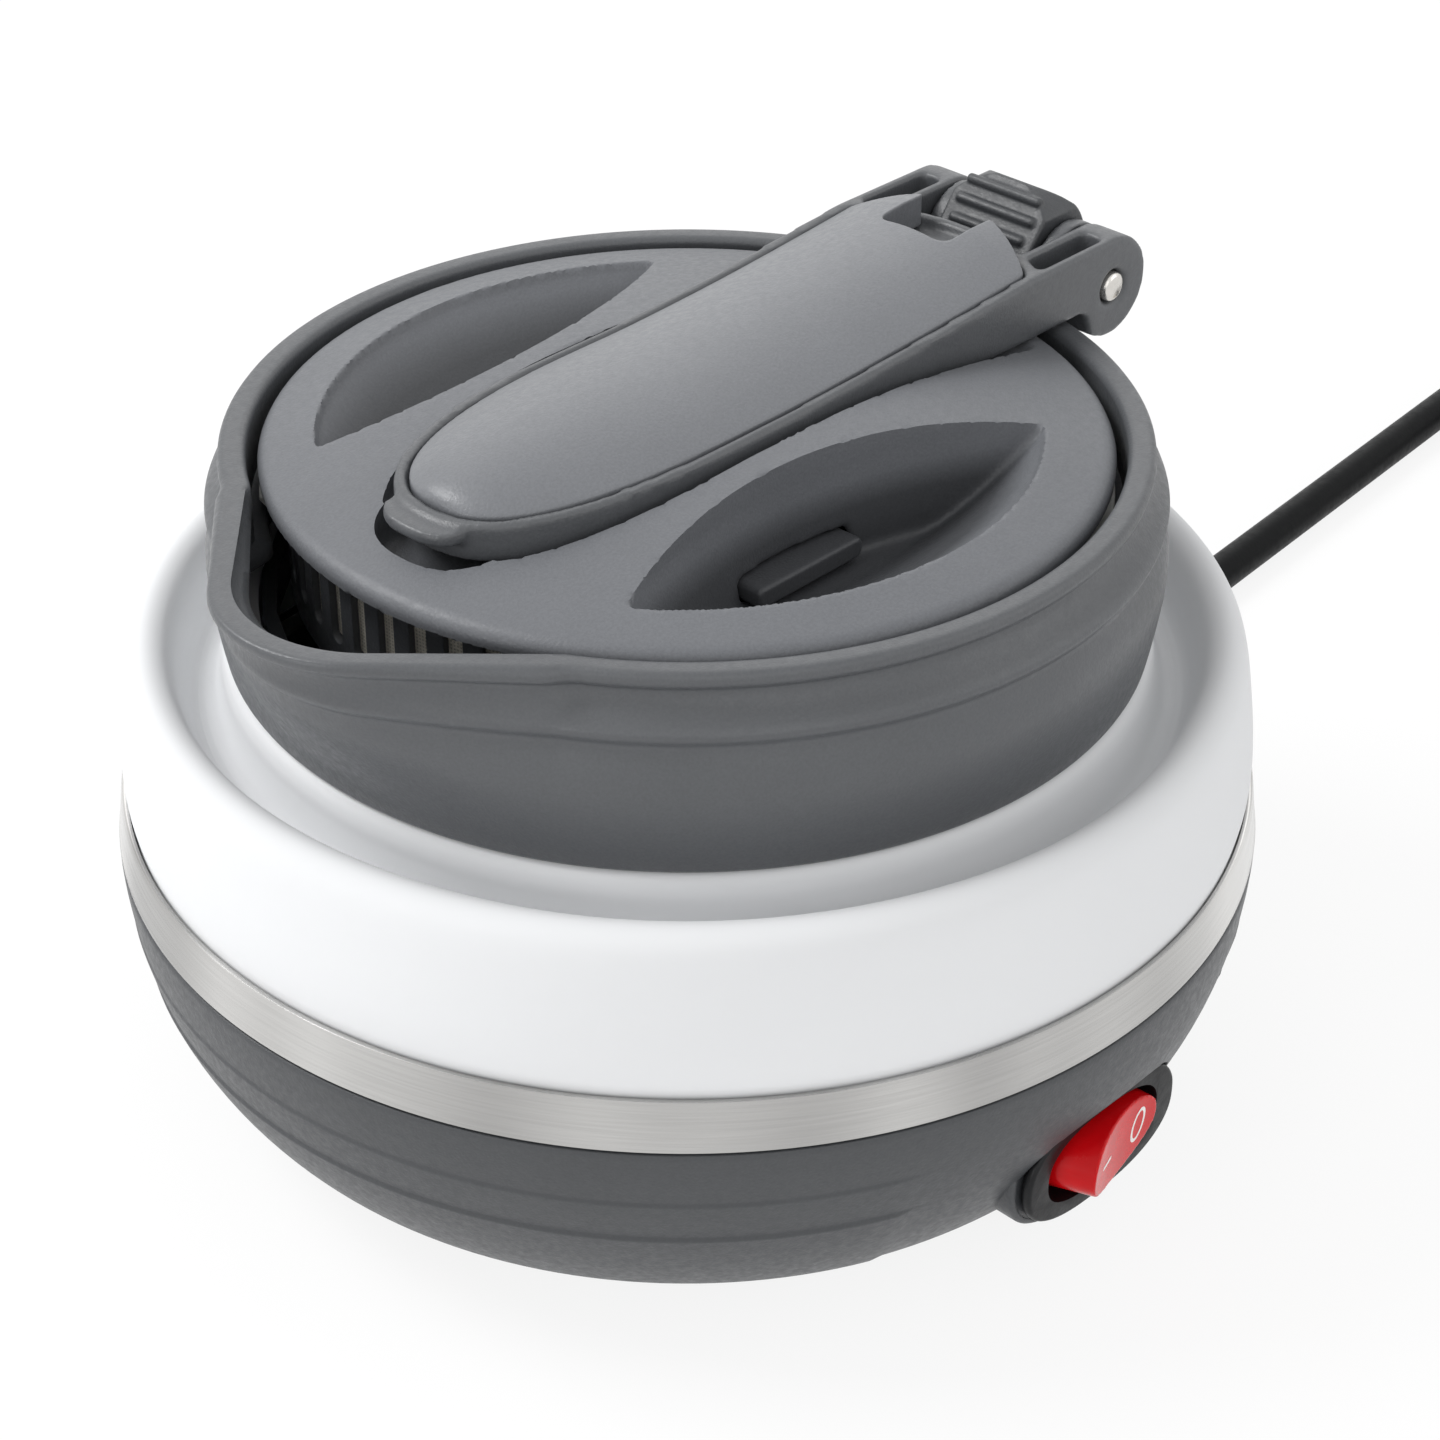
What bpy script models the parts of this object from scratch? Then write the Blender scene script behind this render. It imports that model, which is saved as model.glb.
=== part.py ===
# Collapsible travel kettle, folded for storage.
# Metres, +Z up. The origin is on the vessel's axis, on the surface that the kettle stands on.
# The spout points to -X, the handle's hinge is at +X, and the switch faces -Y.

import bpy
import bmesh
import numpy as np
from math import pi, sin, cos, tan, sqrt, radians, atan2, asin, ceil
from mathutils import Matrix, Vector

# Shared clearances
SEAT_GAP = 0.0003
CUT_OVERRUN = 0.002
MERGE_DISTANCE = 0.000002

# Smoothness of the turned shapes, in steps for a full turn
SHELL_STEPS = 48
RING_STEPS = 32
SMALL_STEPS = 14
TINY_STEPS = 10
SMOOTH_ANGLE = radians(32)
SPRING_STEPS = 8

# Base: bowl shaped shell, bottom cover and feet
BOWL_RADIUS = 0.0816
BOWL_UNDERCUT = 0.0238
BOWL_WALL = 0.0022
BOWL_TOP_Z = 0.0400
BOWL_ARC_STEPS = 6
BOWL_ROUNDNESS = 1.85
BOWL_WALL_STEPS = 5
FOOT_STAND = 0.0010
COVER_THICKNESS = 0.0020
COVER_RIM_HEIGHT = 0.0050
COVER_RIM_WALL = 0.0018
BASE_CHIN = 0.0004
FOOT_RADIUS = 0.0055
FOOT_THICKNESS = 0.0022
FOOT_INSET = 0.0148
FOOT_COUNT = 4
VENT_LENGTH = 0.0120
VENT_WIDTH = 0.0020
VENT_COUNT = 5
VENT_PITCH = 0.0048
SCREW_INSET = 0.0090
SCREW_COUNT = 3
SCREW_HEAD_RADIUS = 0.0030
SCREW_HEAD_HEIGHT = 0.0018
SCREW_SHANK_RADIUS = 0.0014
SCREW_LENGTH = 0.0110
SCREW_WELL_WALL = 0.0016
SCREW_WELL_DEPTH = 0.0028

# Grip belt: a low swelling round the bowl, left out beside the switch and the cord
BELT_RISE = 0.0006
BELT_LOW_Z = 0.0070
BELT_HIGH_Z = 0.0234
BELT_EDGE = 0.0025
BELT_GAP_HALF_ANGLE = radians(24)
BELT_GAP_FADE = radians(7)

# Steel band round the joint of bowl and silicone
BAND_HEIGHT = 0.0075
BAND_DRAW_IN = 0.0010
BAND_WALL = 0.0008

# Heating plate, element and thermostat
PLATE_WALL = 0.0012
PLATE_FLOOR_INSET = 0.0176
PLATE_FLOOR_Z = 0.0275
PLATE_FLANGE_INSET = 0.0040
PLATE_FLANGE_Z = 0.0412
PLATE_FLANGE_WIDTH = 0.0034
PLATE_KNEE_INSET = 0.0061
PLATE_KNEE_Z = 0.0335
ELEMENT_INSET = 0.0210
ELEMENT_TUBE_RADIUS = 0.0034
ELEMENT_GAP_ANGLE = radians(50)
ELEMENT_LEG_LENGTH = 0.0080
THERMOSTAT_RADIUS = 0.0085
THERMOSTAT_HEIGHT = 0.0075
THERMOSTAT_TAB_WIDTH = 0.0060
THERMOSTAT_TAB_REACH = 0.0130
THERMOSTAT_TAB_THICKNESS = 0.0010
BASE_SEAL_WIDTH = 0.0016
BASE_SEAL_HEIGHT = 0.0024

# Silicone wall, folded down on itself
SILICONE_WALL = 0.0020
SILICONE_BULGE_INSET = 0.0006
SILICONE_BULGE_Z = 0.0525
SILICONE_SHOULDER_INSET = 0.0017
SILICONE_CREST_Z = 0.0709
SILICONE_CREST_INSET = 0.0031
SILICONE_CREST_WIDTH = 0.0040
SILICONE_VALLEY_Z = 0.0374
SILICONE_VALLEY_WIDTH = 0.0028
SILICONE_FOLD_GAP = 0.0008
SILICONE_LIP_HEIGHT = 0.0048

# Collar: the rigid upper ring with the spout
COLLAR_BOTTOM_Z = 0.0706
COLLAR_TOP_Z = 0.0988
COLLAR_INSET = 0.0187
COLLAR_BOTTOM_FLARE = 0.0013
COLLAR_BULGE = 0.0028
COLLAR_BULGE_Z = 0.0845
COLLAR_SWELL_SHARE = 0.75
COLLAR_RIM_BEAD = 0.0030
COLLAR_GROOVE = 0.0009
COLLAR_WALL = 0.0026
COLLAR_STEPS = 60
LID_SEAT_INSET = 0.0036
CATCH_BEAD_REACH = 0.0023
CATCH_BEAD_TOP_Z = 0.0890
CATCH_BEAD_HEIGHT = 0.0022
SPOUT_OVERHANG = 0.0136
SPOUT_TIP_RADIUS = 0.0150
SPOUT_HALF_ANGLE = radians(30)
SPOUT_ROOT_Z = 0.0735
SPOUT_SWEEP = 1.35
SPOUT_OPEN_FADE = radians(5)
SPOUT_OPEN_MARGIN = radians(1)
CLAMP_RING_WALL = 0.0020
CLAMP_RING_HEIGHT = 0.0060

# Lid
LID_GAP = 0.0015
LID_EDGE_Z = 0.0981
LID_EDGE_ROUND = 0.0012
LID_DOME_RISE = 0.0075
LID_EDGE_DEPTH = 0.0026
LID_WALL = 0.0020
LID_ARC_STEPS = 7
SKIRT_INSET = 0.0032
SKIRT_WALL = 0.0018
SKIRT_BOTTOM_Z = 0.0785
STRAINER_SLOT_WIDTH = 0.0029
STRAINER_SLOT_PITCH = radians(6)
STRAINER_SLOT_COUNT = 11
STRAINER_SLOT_LOW_Z = 0.0830
STRAINER_SLOT_HIGH_Z = 0.0945
INNER_COVER_THICKNESS = 0.0018
SEAL_WIDTH = 0.0016
SEAL_HEIGHT = 0.0026

# Finger recesses on each side of the handle
RECESS_EDGE_INSET = 0.0083
RECESS_HANDLE_GAP = 0.0041
RECESS_FRONT_TIP = (-0.716, 0.210)
RECESS_REAR_TIP = (0.540, 0.506)
RECESS_DEPTH_Z = 0.0872
RECESS_FLOOR_SHARE = 0.28
RECESS_FLOOR_INSET = 0.0014
RECESS_FLOOR_FRONT_TIP = (-0.455, 0.700)
RECESS_FLOOR_REAR_TIP = (0.290, 0.780)
RECESS_WALL = 0.0014
RECESS_EDGE_STEPS = 7

# Lid latches: a button in each recess, pinched towards the handle
LATCH_CENTRE_X = -0.0060
BUTTON_LENGTH = 0.0200
BUTTON_HEIGHT = 0.0030
BUTTON_CENTRE_Z = 0.0896
BUTTON_PROUD = 0.0036
BUTTON_STROKE = 0.0024
BUTTON_ROUND = 0.0010
LATCH_WIDTH = 0.0110
LATCH_THICKNESS = 0.0020
LATCH_BITE = 0.0022
LATCH_STEM_DEPTH = 0.0030
LATCH_SPRING_RADIUS = 0.0020
LATCH_SPRING_WIRE = 0.0005
LATCH_SPRING_TURNS = 3
SPRING_POST_HALF_WIDTH = 0.0030
SPRING_POST_HEIGHT = 0.0055

# Handle, folded over the lid
PIN_OVERHANG = 0.0064
PIN_Z = 0.1014
PIN_RADIUS = 0.0022
PIN_HEAD_PROUD = 0.0003
EAR_RADIUS = 0.0076
EAR_OUTER_Y = 0.0186
EAR_INNER_Y = 0.0116
EAR_POCKET_WALL = 0.0017
EAR_POCKET_FLOOR = 0.0012
EAR_POCKET_DEEP_SETBACK = 0.0061
EAR_LOBE_START = radians(90)
EAR_LOBE_END = radians(-118)
EAR_POCKET_REAR_SETBACK = 0.0013
HANDLE_NOSE_INSET = 0.0103
HANDLE_NOSE_LENGTH = 0.0415
HANDLE_REAR_SETBACK = 0.0183
HANDLE_HOLLOW_SETBACK = 0.0233
HANDLE_HALF_WIDTH = 0.0181
HANDLE_FLOOR_Z = 0.0994
HANDLE_FLOOR = 0.0016
HANDLE_WALL = 0.0030
HANDLE_RIM = 0.0017
HANDLE_RIM_Z = 0.1060
HANDLE_RIM_FRONT_DROP = 0.0013
HANDLE_RIM_REAR_RISE = 0.0030
HANDLE_RISE_POWER = 1.5
HANDLE_NOSE_SPACING = 2.2
HANDLE_REAR_STATIONS = 6
HANDLE_FRONT_POWER = 2.5
HANDLE_STATIONS = 14
HANDLE_FLARE_SETBACK = 0.0493
HANDLE_END_RADIUS = 0.0300
HANDLE_END_SETBACK = 0.0111
GRIP_COVER_DEPTH = 0.0016
GRIP_COVER_CROWN = 0.0044
GRIP_COVER_FLARE_SHARE = 0.45
GRIP_COVER_BORDER = 0.0018
GRIP_COVER_NOTCH_SETBACK = 0.0243
GRIP_COVER_NOTCH_HALF_WIDTH = 0.0062
GRIP_COVER_ACROSS = 8
LIP_REACH = 0.0034
LIP_ROOT_DEPTH = 0.0068
LIP_HALF_WIDTH = 0.0085
LIP_THICKNESS = 0.0018
LIP_Z = 0.1008
LIP_STEPS = 8
TROUGH_GAP = 0.0016
TROUGH_FLOOR_Z = 0.0984
DIP_HALF_LENGTH = 0.0104
DIP_HALF_WIDTH = 0.0098
DIP_SETBACK = 0.0075
DIP_FLOOR_Z = 0.0958

# Hinge bracket and lock lever
BRACKET_EAR_INNER_Y = 0.0089
BRACKET_EAR_OUTER_Y = 0.0112
BRACKET_EAR_RADIUS = 0.0074
BRACKET_EAR_BACK_ANGLE = radians(-65)
BRACKET_EAR_FOOT_Z = 0.0940
BRACKET_BLOCK_SETBACK = 0.0003
BRACKET_BLOCK_TOP_Z = 0.0985
BRACKET_BLOCK_BOTTOM_Z = 0.0800
BRACKET_FLANGE_HALF_WIDTH = 0.0165
BRACKET_FLANGE_TOP_Z = 0.0935
BRACKET_FLANGE_SETBACK = 0.0023
LEVER_HALF_WIDTH = 0.0086
LEVER_SWING_GAP = 0.0005
LEVER_HUB_HALF_WIDTH = 0.0056
LEVER_HUB_RADIUS = 0.0044
LEVER_TOP_RADIUS = 0.0117
LEVER_PAD_LOW_RADIUS = 0.0088
LEVER_PAD_LOW_ANGLE = radians(155)
LEVER_PAD_TOP_ANGLE = radians(98)
LEVER_BACK_ANGLE = radians(12)
LEVER_BACK_RADIUS = 0.0056
LEVER_BACK_POWER = 0.75
LEVER_CROWN_RADIUS = 0.0150
LEVER_ARC_STEPS = 6
LEVER_RIB_COUNT = 3
LEVER_RIB_PITCH = 0.0031
LEVER_RIB_RADIUS = 0.0006
LEVER_RIB_HALF_LENGTH = 0.0076
LEVER_RIB_STEPS = 6
LOCK_SPRING_WIRE = 0.0005
LOCK_SPRING_TURNS = 2

# Rocker switch on the side of the bowl
SWITCH_Z = 0.0182
SWITCH_INSET = 0.0055
BEZEL_HALF_LENGTH = 0.0158
BEZEL_HALF_HEIGHT = 0.0088
BEZEL_FLANGE = 0.0016
BOSS_MARGIN = 0.0013
BOSS_DEPTH = 0.0120
BOSS_FACE_THICKNESS = 0.0030
BEZEL_SEAT_MARGIN = 0.0005
WINDOW_HALF_LENGTH = 0.0118
WINDOW_HALF_HEIGHT = 0.0062
WINDOW_CORNER = 0.0030
HOUSING_WALL = 0.0012
HOUSING_DEPTH = 0.0165
ROCKER_RADIUS = 0.0113
ROCKER_HALF_HEIGHT = 0.0057
ROCKER_CORNER = 0.0050
ROCKER_PIVOT_DEPTH = 0.0027
ROCKER_FACE_HEIGHT = 0.0073
ROCKER_EDGE = 0.0007
ROCKER_HOLLOW = 0.0004
ROCKER_TILT = radians(12)
ROCKER_END_LEAN = radians(20)
ROCKER_BODY_DEPTH = 0.0030
ROCKER_TRUNNION_RADIUS = 0.0011
OVAL_STEPS = 24
OVAL_POWER = 2.4
BLADE_LENGTH = 0.0065
BLADE_WIDTH = 0.0048
BLADE_THICKNESS = 0.0008
BLADE_PITCH = 0.0075
BLADE_COUNT = 3

# Cord, strain relief and plug
CORD_RADIUS = 0.0034
CORD_ANGLE = radians(5.3)
CORD_SPACING_SHARE = 5
RELIEF_LENGTH = 0.0240
CORD_EXIT_Z = 0.0110
RELIEF_FLANGE_RADIUS = 0.0068
RELIEF_FLANGE_WIDTH = 0.0024
RELIEF_START_SETBACK = 0.0025
RELIEF_BASE_RADIUS = 0.0056
RELIEF_TIP_RADIUS = 0.0045
RELIEF_RIB_COUNT = 4
RELIEF_RIB_SHARE = 0.55
RELIEF_RIB_DEPTH = 0.0007
RELIEF_BOSS_RADIUS = 0.0092
RELIEF_BOSS_INSET = 0.0046
RELIEF_BOSS_DEPTH = 0.0120
COIL_CENTRE = (0.3000, -0.0158)
COIL_OUTER_RADIUS = 0.0405
COIL_PITCH = 0.0074
COIL_LAYER = 0.0074
COIL_START_ANGLE = radians(94)
COIL_TURNS_IN = 1.30
COIL_TURNS_OUT = 1.20
COIL_STEPS = 22
COIL_CLIMB_TURNS = 0.5
RUN_SHARES = (0.14, 0.30, 0.50, 0.70, 0.88)
ROUTE_STEPS = 24
TAIL_SHARES = (0.40, 0.58, 0.74)
TAIL_HEIGHTS = (0.0, 0.0, 0.0060)
CORD_LIFT = 0.0001
PLUG_BODY_RADIUS = 0.0150
PLUG_FACE_RADIUS = 0.0184
PLUG_LENGTH = 0.0340
PLUG_NECK_RADIUS = 0.0062
PLUG_NECK_LENGTH = 0.0130
PLUG_SHOULDER_LENGTH = 0.0046
PLUG_FLARE_START = 0.0245
PLUG_FLARE_END = 0.0272
PLUG_PIN_RADIUS = 0.0024
PLUG_PIN_LENGTH = 0.0190
PLUG_PIN_PITCH = 0.0190
PLUG_X = 0.2150
PLUG_Y = -0.0600
PLUG_HEADING = radians(180)

# Radii that follow the bowl: base, band, plate and silicone's outside
BOWL_FLOOR_RADIUS = BOWL_RADIUS - BOWL_UNDERCUT
FOOT_CIRCLE_RADIUS = BOWL_FLOOR_RADIUS - FOOT_INSET
SCREW_CIRCLE_RADIUS = FOOT_CIRCLE_RADIUS - SCREW_INSET
BAND_TOP_RADIUS = BOWL_RADIUS - BAND_DRAW_IN
PLATE_FLANGE_RADIUS = BAND_TOP_RADIUS - PLATE_FLANGE_INSET
PLATE_KNEE_RADIUS = PLATE_FLANGE_RADIUS - PLATE_KNEE_INSET
PLATE_FLOOR_RADIUS = PLATE_FLANGE_RADIUS - PLATE_FLOOR_INSET
ELEMENT_RING_RADIUS = PLATE_FLOOR_RADIUS - ELEMENT_INSET
SILICONE_BULGE_RADIUS = BAND_TOP_RADIUS - SILICONE_BULGE_INSET
SILICONE_SHOULDER_RADIUS = SILICONE_BULGE_RADIUS - SILICONE_SHOULDER_INSET
SILICONE_CREST_RADIUS = SILICONE_SHOULDER_RADIUS - SILICONE_CREST_INSET
SILICONE_CREST_INNER_RADIUS = SILICONE_CREST_RADIUS - SILICONE_CREST_WIDTH

# Radii that follow the collar's rim: collar, silicone's inside, lid and skirt
COLLAR_RIM_RADIUS = BOWL_RADIUS - COLLAR_INSET
COLLAR_BOTTOM_RADIUS = COLLAR_RIM_RADIUS + COLLAR_BOTTOM_FLARE
COLLAR_BULGE_RADIUS = COLLAR_RIM_RADIUS + COLLAR_BULGE
SPOUT_TIP_REACH = COLLAR_RIM_RADIUS + SPOUT_OVERHANG
SILICONE_INNER_RADIUS = COLLAR_BOTTOM_RADIUS + SILICONE_FOLD_GAP
SILICONE_VALLEY_RADIUS = SILICONE_INNER_RADIUS + SILICONE_VALLEY_WIDTH
LID_SEAT_RADIUS = COLLAR_RIM_RADIUS - LID_SEAT_INSET
CATCH_BEAD_RADIUS = LID_SEAT_RADIUS - CATCH_BEAD_REACH
LATCH_REACH = CATCH_BEAD_RADIUS + LATCH_BITE
LID_RADIUS = LID_SEAT_RADIUS - LID_GAP
SKIRT_RADIUS = LID_RADIUS - SKIRT_INSET

# Places along the handle, counted back from its pin and from the lid's front edge
PIN_X = COLLAR_RIM_RADIUS + PIN_OVERHANG
EAR_POCKET_DEEP_X = PIN_X - EAR_POCKET_DEEP_SETBACK
EAR_POCKET_REAR_X = PIN_X - EAR_POCKET_REAR_SETBACK
HANDLE_FRONT_X = HANDLE_NOSE_INSET - LID_RADIUS
HANDLE_FULL_WIDTH_X = HANDLE_FRONT_X + HANDLE_NOSE_LENGTH
HANDLE_REAR_X = PIN_X - HANDLE_REAR_SETBACK
HANDLE_HOLLOW_REAR_X = PIN_X - HANDLE_HOLLOW_SETBACK
HANDLE_FLARE_X = PIN_X - HANDLE_FLARE_SETBACK
HANDLE_END_X = PIN_X - HANDLE_END_SETBACK
GRIP_COVER_NOTCH_X = PIN_X - GRIP_COVER_NOTCH_SETBACK
DIP_CENTRE_X = HANDLE_FRONT_X + DIP_SETBACK
BRACKET_BLOCK_REAR_X = PIN_X - BRACKET_BLOCK_SETBACK
BRACKET_FLANGE_REAR_X = PIN_X - BRACKET_FLANGE_SETBACK

# The finger recesses lie between the handle's trough and the lid's edge
RECESS_OUTER_Y = LID_RADIUS - RECESS_EDGE_INSET
RECESS_INNER_Y = HANDLE_HALF_WIDTH + TROUGH_GAP + RECESS_HANDLE_GAP
RECESS_FLOOR_INNER_Y = RECESS_INNER_Y + RECESS_FLOOR_INSET
RECESS_FLOOR_OUTER_Y = RECESS_INNER_Y + (RECESS_OUTER_Y - RECESS_INNER_Y) * RECESS_FLOOR_SHARE

# Places worked out from the sizes above
SWITCH_FACE_Y = SWITCH_INSET - BOWL_RADIUS
RELIEF_BOSS_REAR_X = BOWL_RADIUS - RELIEF_BOSS_INSET
RELIEF_START_X = RELIEF_BOSS_REAR_X - RELIEF_START_SETBACK
CORD_EXIT_X = RELIEF_BOSS_REAR_X + RELIEF_LENGTH
BAND_BOTTOM_Z = BOWL_TOP_Z + SEAT_GAP
BAND_TOP_Z = BAND_BOTTOM_Z + BAND_HEIGHT
SILICONE_START_Z = BAND_TOP_Z + SEAT_GAP
BOWL_BOTTOM_Z = FOOT_STAND + BASE_CHIN
LID_DOME_Z = LID_EDGE_Z + LID_DOME_RISE
CATCH_BEAD_BOTTOM_Z = CATCH_BEAD_TOP_Z - CATCH_BEAD_HEIGHT
COVER_TOP_Z = FOOT_STAND + COVER_THICKNESS
SKIRT_TOP_Z = LID_EDGE_Z - LID_EDGE_DEPTH - SEAT_GAP
LATCH_TOP_Z = RECESS_DEPTH_Z - RECESS_WALL - SEAT_GAP
LATCH_BOTTOM_Z = LATCH_TOP_Z - LATCH_THICKNESS
INNER_COVER_TOP_Z = LATCH_BOTTOM_Z - SEAT_GAP
PIN_BORE_RADIUS = PIN_RADIUS + SEAT_GAP
PIVOT_Y = SWITCH_FACE_Y + ROCKER_PIVOT_DEPTH
FACE_OUTER_Y = SWITCH_FACE_Y - SEAT_GAP - BEZEL_FLANGE

# Colours, roughness and metallic share of each material
FINISHES = {
    "grey_plastic": ((0.131, 0.136, 0.142, 1.0), 0.42, 0.0),
    "dark_grey_plastic": ((0.102, 0.105, 0.109, 1.0), 0.48, 0.0),
    "black_plastic": ((0.020, 0.022, 0.024, 1.0), 0.50, 0.0),
    "white_silicone": ((0.740, 0.750, 0.760, 1.0), 0.40, 0.0),
    "clear_grey_silicone": ((0.500, 0.500, 0.490, 1.0), 0.45, 0.0),
    "steel": ((0.560, 0.550, 0.540, 1.0), 0.25, 1.0),
    "spring_steel": ((0.420, 0.420, 0.430, 1.0), 0.35, 1.0),
    "red_plastic": ((0.600, 0.006, 0.010, 1.0), 0.12, 0.0),
    "black_rubber": ((0.012, 0.012, 0.013, 1.0), 0.60, 0.0),
    "brass": ((0.600, 0.430, 0.180, 1.0), 0.30, 1.0),
}


# Scene and material helpers

def clear_scene():
    for item in list(bpy.data.objects):
        bpy.data.objects.remove(item, do_unlink=True)


def finish(name):
    """Return the material of this name, made once."""
    material = bpy.data.materials.get(name)
    if material is None:
        colour, roughness, metallic = FINISHES[name]
        material = bpy.data.materials.new(name)
        material.use_nodes = True
        shader = material.node_tree.nodes["Principled BSDF"]
        shader.inputs["Base Color"].default_value = colour
        shader.inputs["Roughness"].default_value = roughness
        shader.inputs["Metallic"].default_value = metallic
        material.diffuse_color = colour
    return material


def new_object(name, bm):
    """Make an object from a bmesh whose faces are turned outwards."""
    bmesh.ops.remove_doubles(bm, verts=bm.verts, dist=MERGE_DISTANCE)
    bmesh.ops.recalc_face_normals(bm, faces=bm.faces)
    mesh = bpy.data.meshes.new(name)
    bm.to_mesh(mesh)
    bm.free()
    item = bpy.data.objects.new(name, mesh)
    bpy.context.collection.objects.link(item)
    return item


def dress(item, material):
    """Give a piece its own copy of a finish, and smooth its round faces."""
    own = finish(material).copy()
    own.name = item.name + "_" + material
    item.data.materials.clear()
    item.data.materials.append(own)
    item.data.shade_smooth()
    item.data.set_sharp_from_angle(angle=SMOOTH_ANGLE)
    return item


def combine(target, tool, operation):
    """Join, cut or intersect the target with a tool, and remove the tool."""
    modifier = target.modifiers.new(operation.lower(), "BOOLEAN")
    modifier.operation = operation
    modifier.solver = "EXACT"
    modifier.object = tool
    bpy.context.view_layer.update()
    shaped = bpy.data.meshes.new_from_object(
        target.evaluated_get(bpy.context.evaluated_depsgraph_get()))
    target.modifiers.clear()
    old_mesh = target.data
    target.data = shaped
    bpy.data.meshes.remove(old_mesh)
    bpy.data.objects.remove(tool, do_unlink=True)
    return target


def cut(target, *tools):
    for tool in tools:
        combine(target, tool, "DIFFERENCE")
    return target


def join(target, *tools):
    for tool in tools:
        combine(target, tool, "UNION")
    return target


def move_origin(item, place):
    """Put an object's origin on its joint without moving its shape."""
    offset = Vector(place)
    item.data.transform(Matrix.Translation(-offset))
    item.location = offset
    return item


# Shape helpers

def turned(name, profile, steps=RING_STEPS, shape=None):
    """Spin a closed (radius, height) profile round Z. shape can move each point afterwards."""
    bm = bmesh.new()
    corners = [bm.verts.new((radius, 0.0, height)) for radius, height in profile]
    edges = [bm.edges.new((a, b)) for a, b in zip(corners, corners[1:])]
    if profile[0][0] > 0.0 or profile[-1][0] > 0.0:
        edges.append(bm.edges.new((corners[-1], corners[0])))
    bmesh.ops.spin(bm, geom=corners + edges, cent=(0, 0, 0), axis=(0, 0, 1),
                   angle=2 * pi, steps=steps, use_merge=True)
    bmesh.ops.remove_doubles(bm, verts=bm.verts, dist=MERGE_DISTANCE)
    if shape is not None:
        for vert in bm.verts:
            vert.co = shape(vert.co)
    return new_object(name, bm)


def prism(name, outline, low, high, axis="Z"):
    """Extrude an outline from low to high along an axis.

    The outline's two numbers are (x, y) along Z, (x, z) along Y and (y, z) along X.
    """
    place = {"Z": lambda u, v, w: (u, v, w),
             "Y": lambda u, v, w: (u, w, v),
             "X": lambda u, v, w: (w, u, v)}[axis]
    bm = bmesh.new()
    face = bm.faces.new([bm.verts.new(place(u, v, low)) for u, v in outline])
    grown = bmesh.ops.extrude_face_region(bm, geom=[face])
    moved = [item for item in grown["geom"] if isinstance(item, bmesh.types.BMVert)]
    bmesh.ops.translate(bm, verts=moved, vec=place(0.0, 0.0, high - low))
    return new_object(name, bm)


def block(name, low, high, rounding=0.0, segments=2):
    """Make a box between two corners, with rounded edges where asked."""
    low, high = Vector(low), Vector(high)
    bm = bmesh.new()
    bmesh.ops.create_cube(bm, size=1.0)
    bmesh.ops.scale(bm, vec=high - low, verts=bm.verts)
    bmesh.ops.translate(bm, vec=(low + high) / 2, verts=bm.verts)
    if rounding > 0.0:
        bmesh.ops.bevel(bm, geom=bm.edges[:], offset=rounding, segments=segments, affect="EDGES")
    return new_object(name, bm)


def rod(name, radius, start, end, steps=SMALL_STEPS, end_radius=None):
    """Make a round bar or cone between two points."""
    start, end = Vector(start), Vector(end)
    along = end - start
    bm = bmesh.new()
    bmesh.ops.create_cone(bm, cap_ends=True, segments=steps, radius1=radius,
                          radius2=radius if end_radius is None else end_radius,
                          depth=along.length)
    turn = along.to_track_quat("Z", "Y").to_matrix().to_4x4()
    bm.transform(Matrix.Translation((start + end) / 2) @ turn)
    return new_object(name, bm)


def arc(centre, radius, start, end, steps):
    """Points on an arc, both ends included."""
    return [(centre[0] + radius * cos(angle), centre[1] + radius * sin(angle))
            for angle in np.linspace(start, end, steps + 1)]


def rounded_box_outline(half_width, half_height, corner, steps=4):
    """Outline of a rectangle with round corners, centred on zero."""
    outline = []
    for quarter, (sx, sy) in enumerate(((1, 1), (-1, 1), (-1, -1), (1, -1))):
        centre = (sx * (half_width - corner), sy * (half_height - corner))
        outline += arc(centre, corner, quarter * pi / 2, (quarter + 1) * pi / 2, steps)
    return outline


def oval_outline(half_width, half_height, power=OVAL_POWER, steps=OVAL_STEPS):
    """Outline of a full oval, a little squarer than an ellipse."""
    outline = []
    for angle in np.linspace(0, 2 * pi, steps, endpoint=False):
        c, s = cos(angle), sin(angle)
        outline.append((half_width * np.sign(c) * abs(c) ** (2 / power),
                        half_height * np.sign(s) * abs(s) ** (2 / power)))
    return outline


def shifted(outline, du, dv):
    return [(u + du, v + dv) for u, v in outline]


def tube(name, points, radius, resolution=2):
    """Make a round tube along points, as a mesh with filled ends."""
    curve = bpy.data.curves.new(name + "_path", "CURVE")
    curve.dimensions = "3D"
    curve.bevel_depth = radius
    curve.bevel_resolution = resolution
    curve.use_fill_caps = True
    spline = curve.splines.new("POLY")
    spline.points.add(len(points) - 1)
    for target, point in zip(spline.points, points):
        target.co = (*point, 1.0)
    item = bpy.data.objects.new(name, curve)
    bpy.context.collection.objects.link(item)
    return item


def as_mesh(item):
    """Turn a curve object into a mesh object of the same name."""
    bpy.context.view_layer.update()
    mesh = bpy.data.meshes.new_from_object(
        item.evaluated_get(bpy.context.evaluated_depsgraph_get()))
    name = item.name
    bpy.data.objects.remove(item, do_unlink=True)
    bm = bmesh.new()
    bm.from_mesh(mesh)
    return new_object(name, bm)


def smoothstep(value, low, high):
    share = min(max((value - low) / (high - low), 0.0), 1.0)
    return share * share * (3 - 2 * share)


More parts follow.
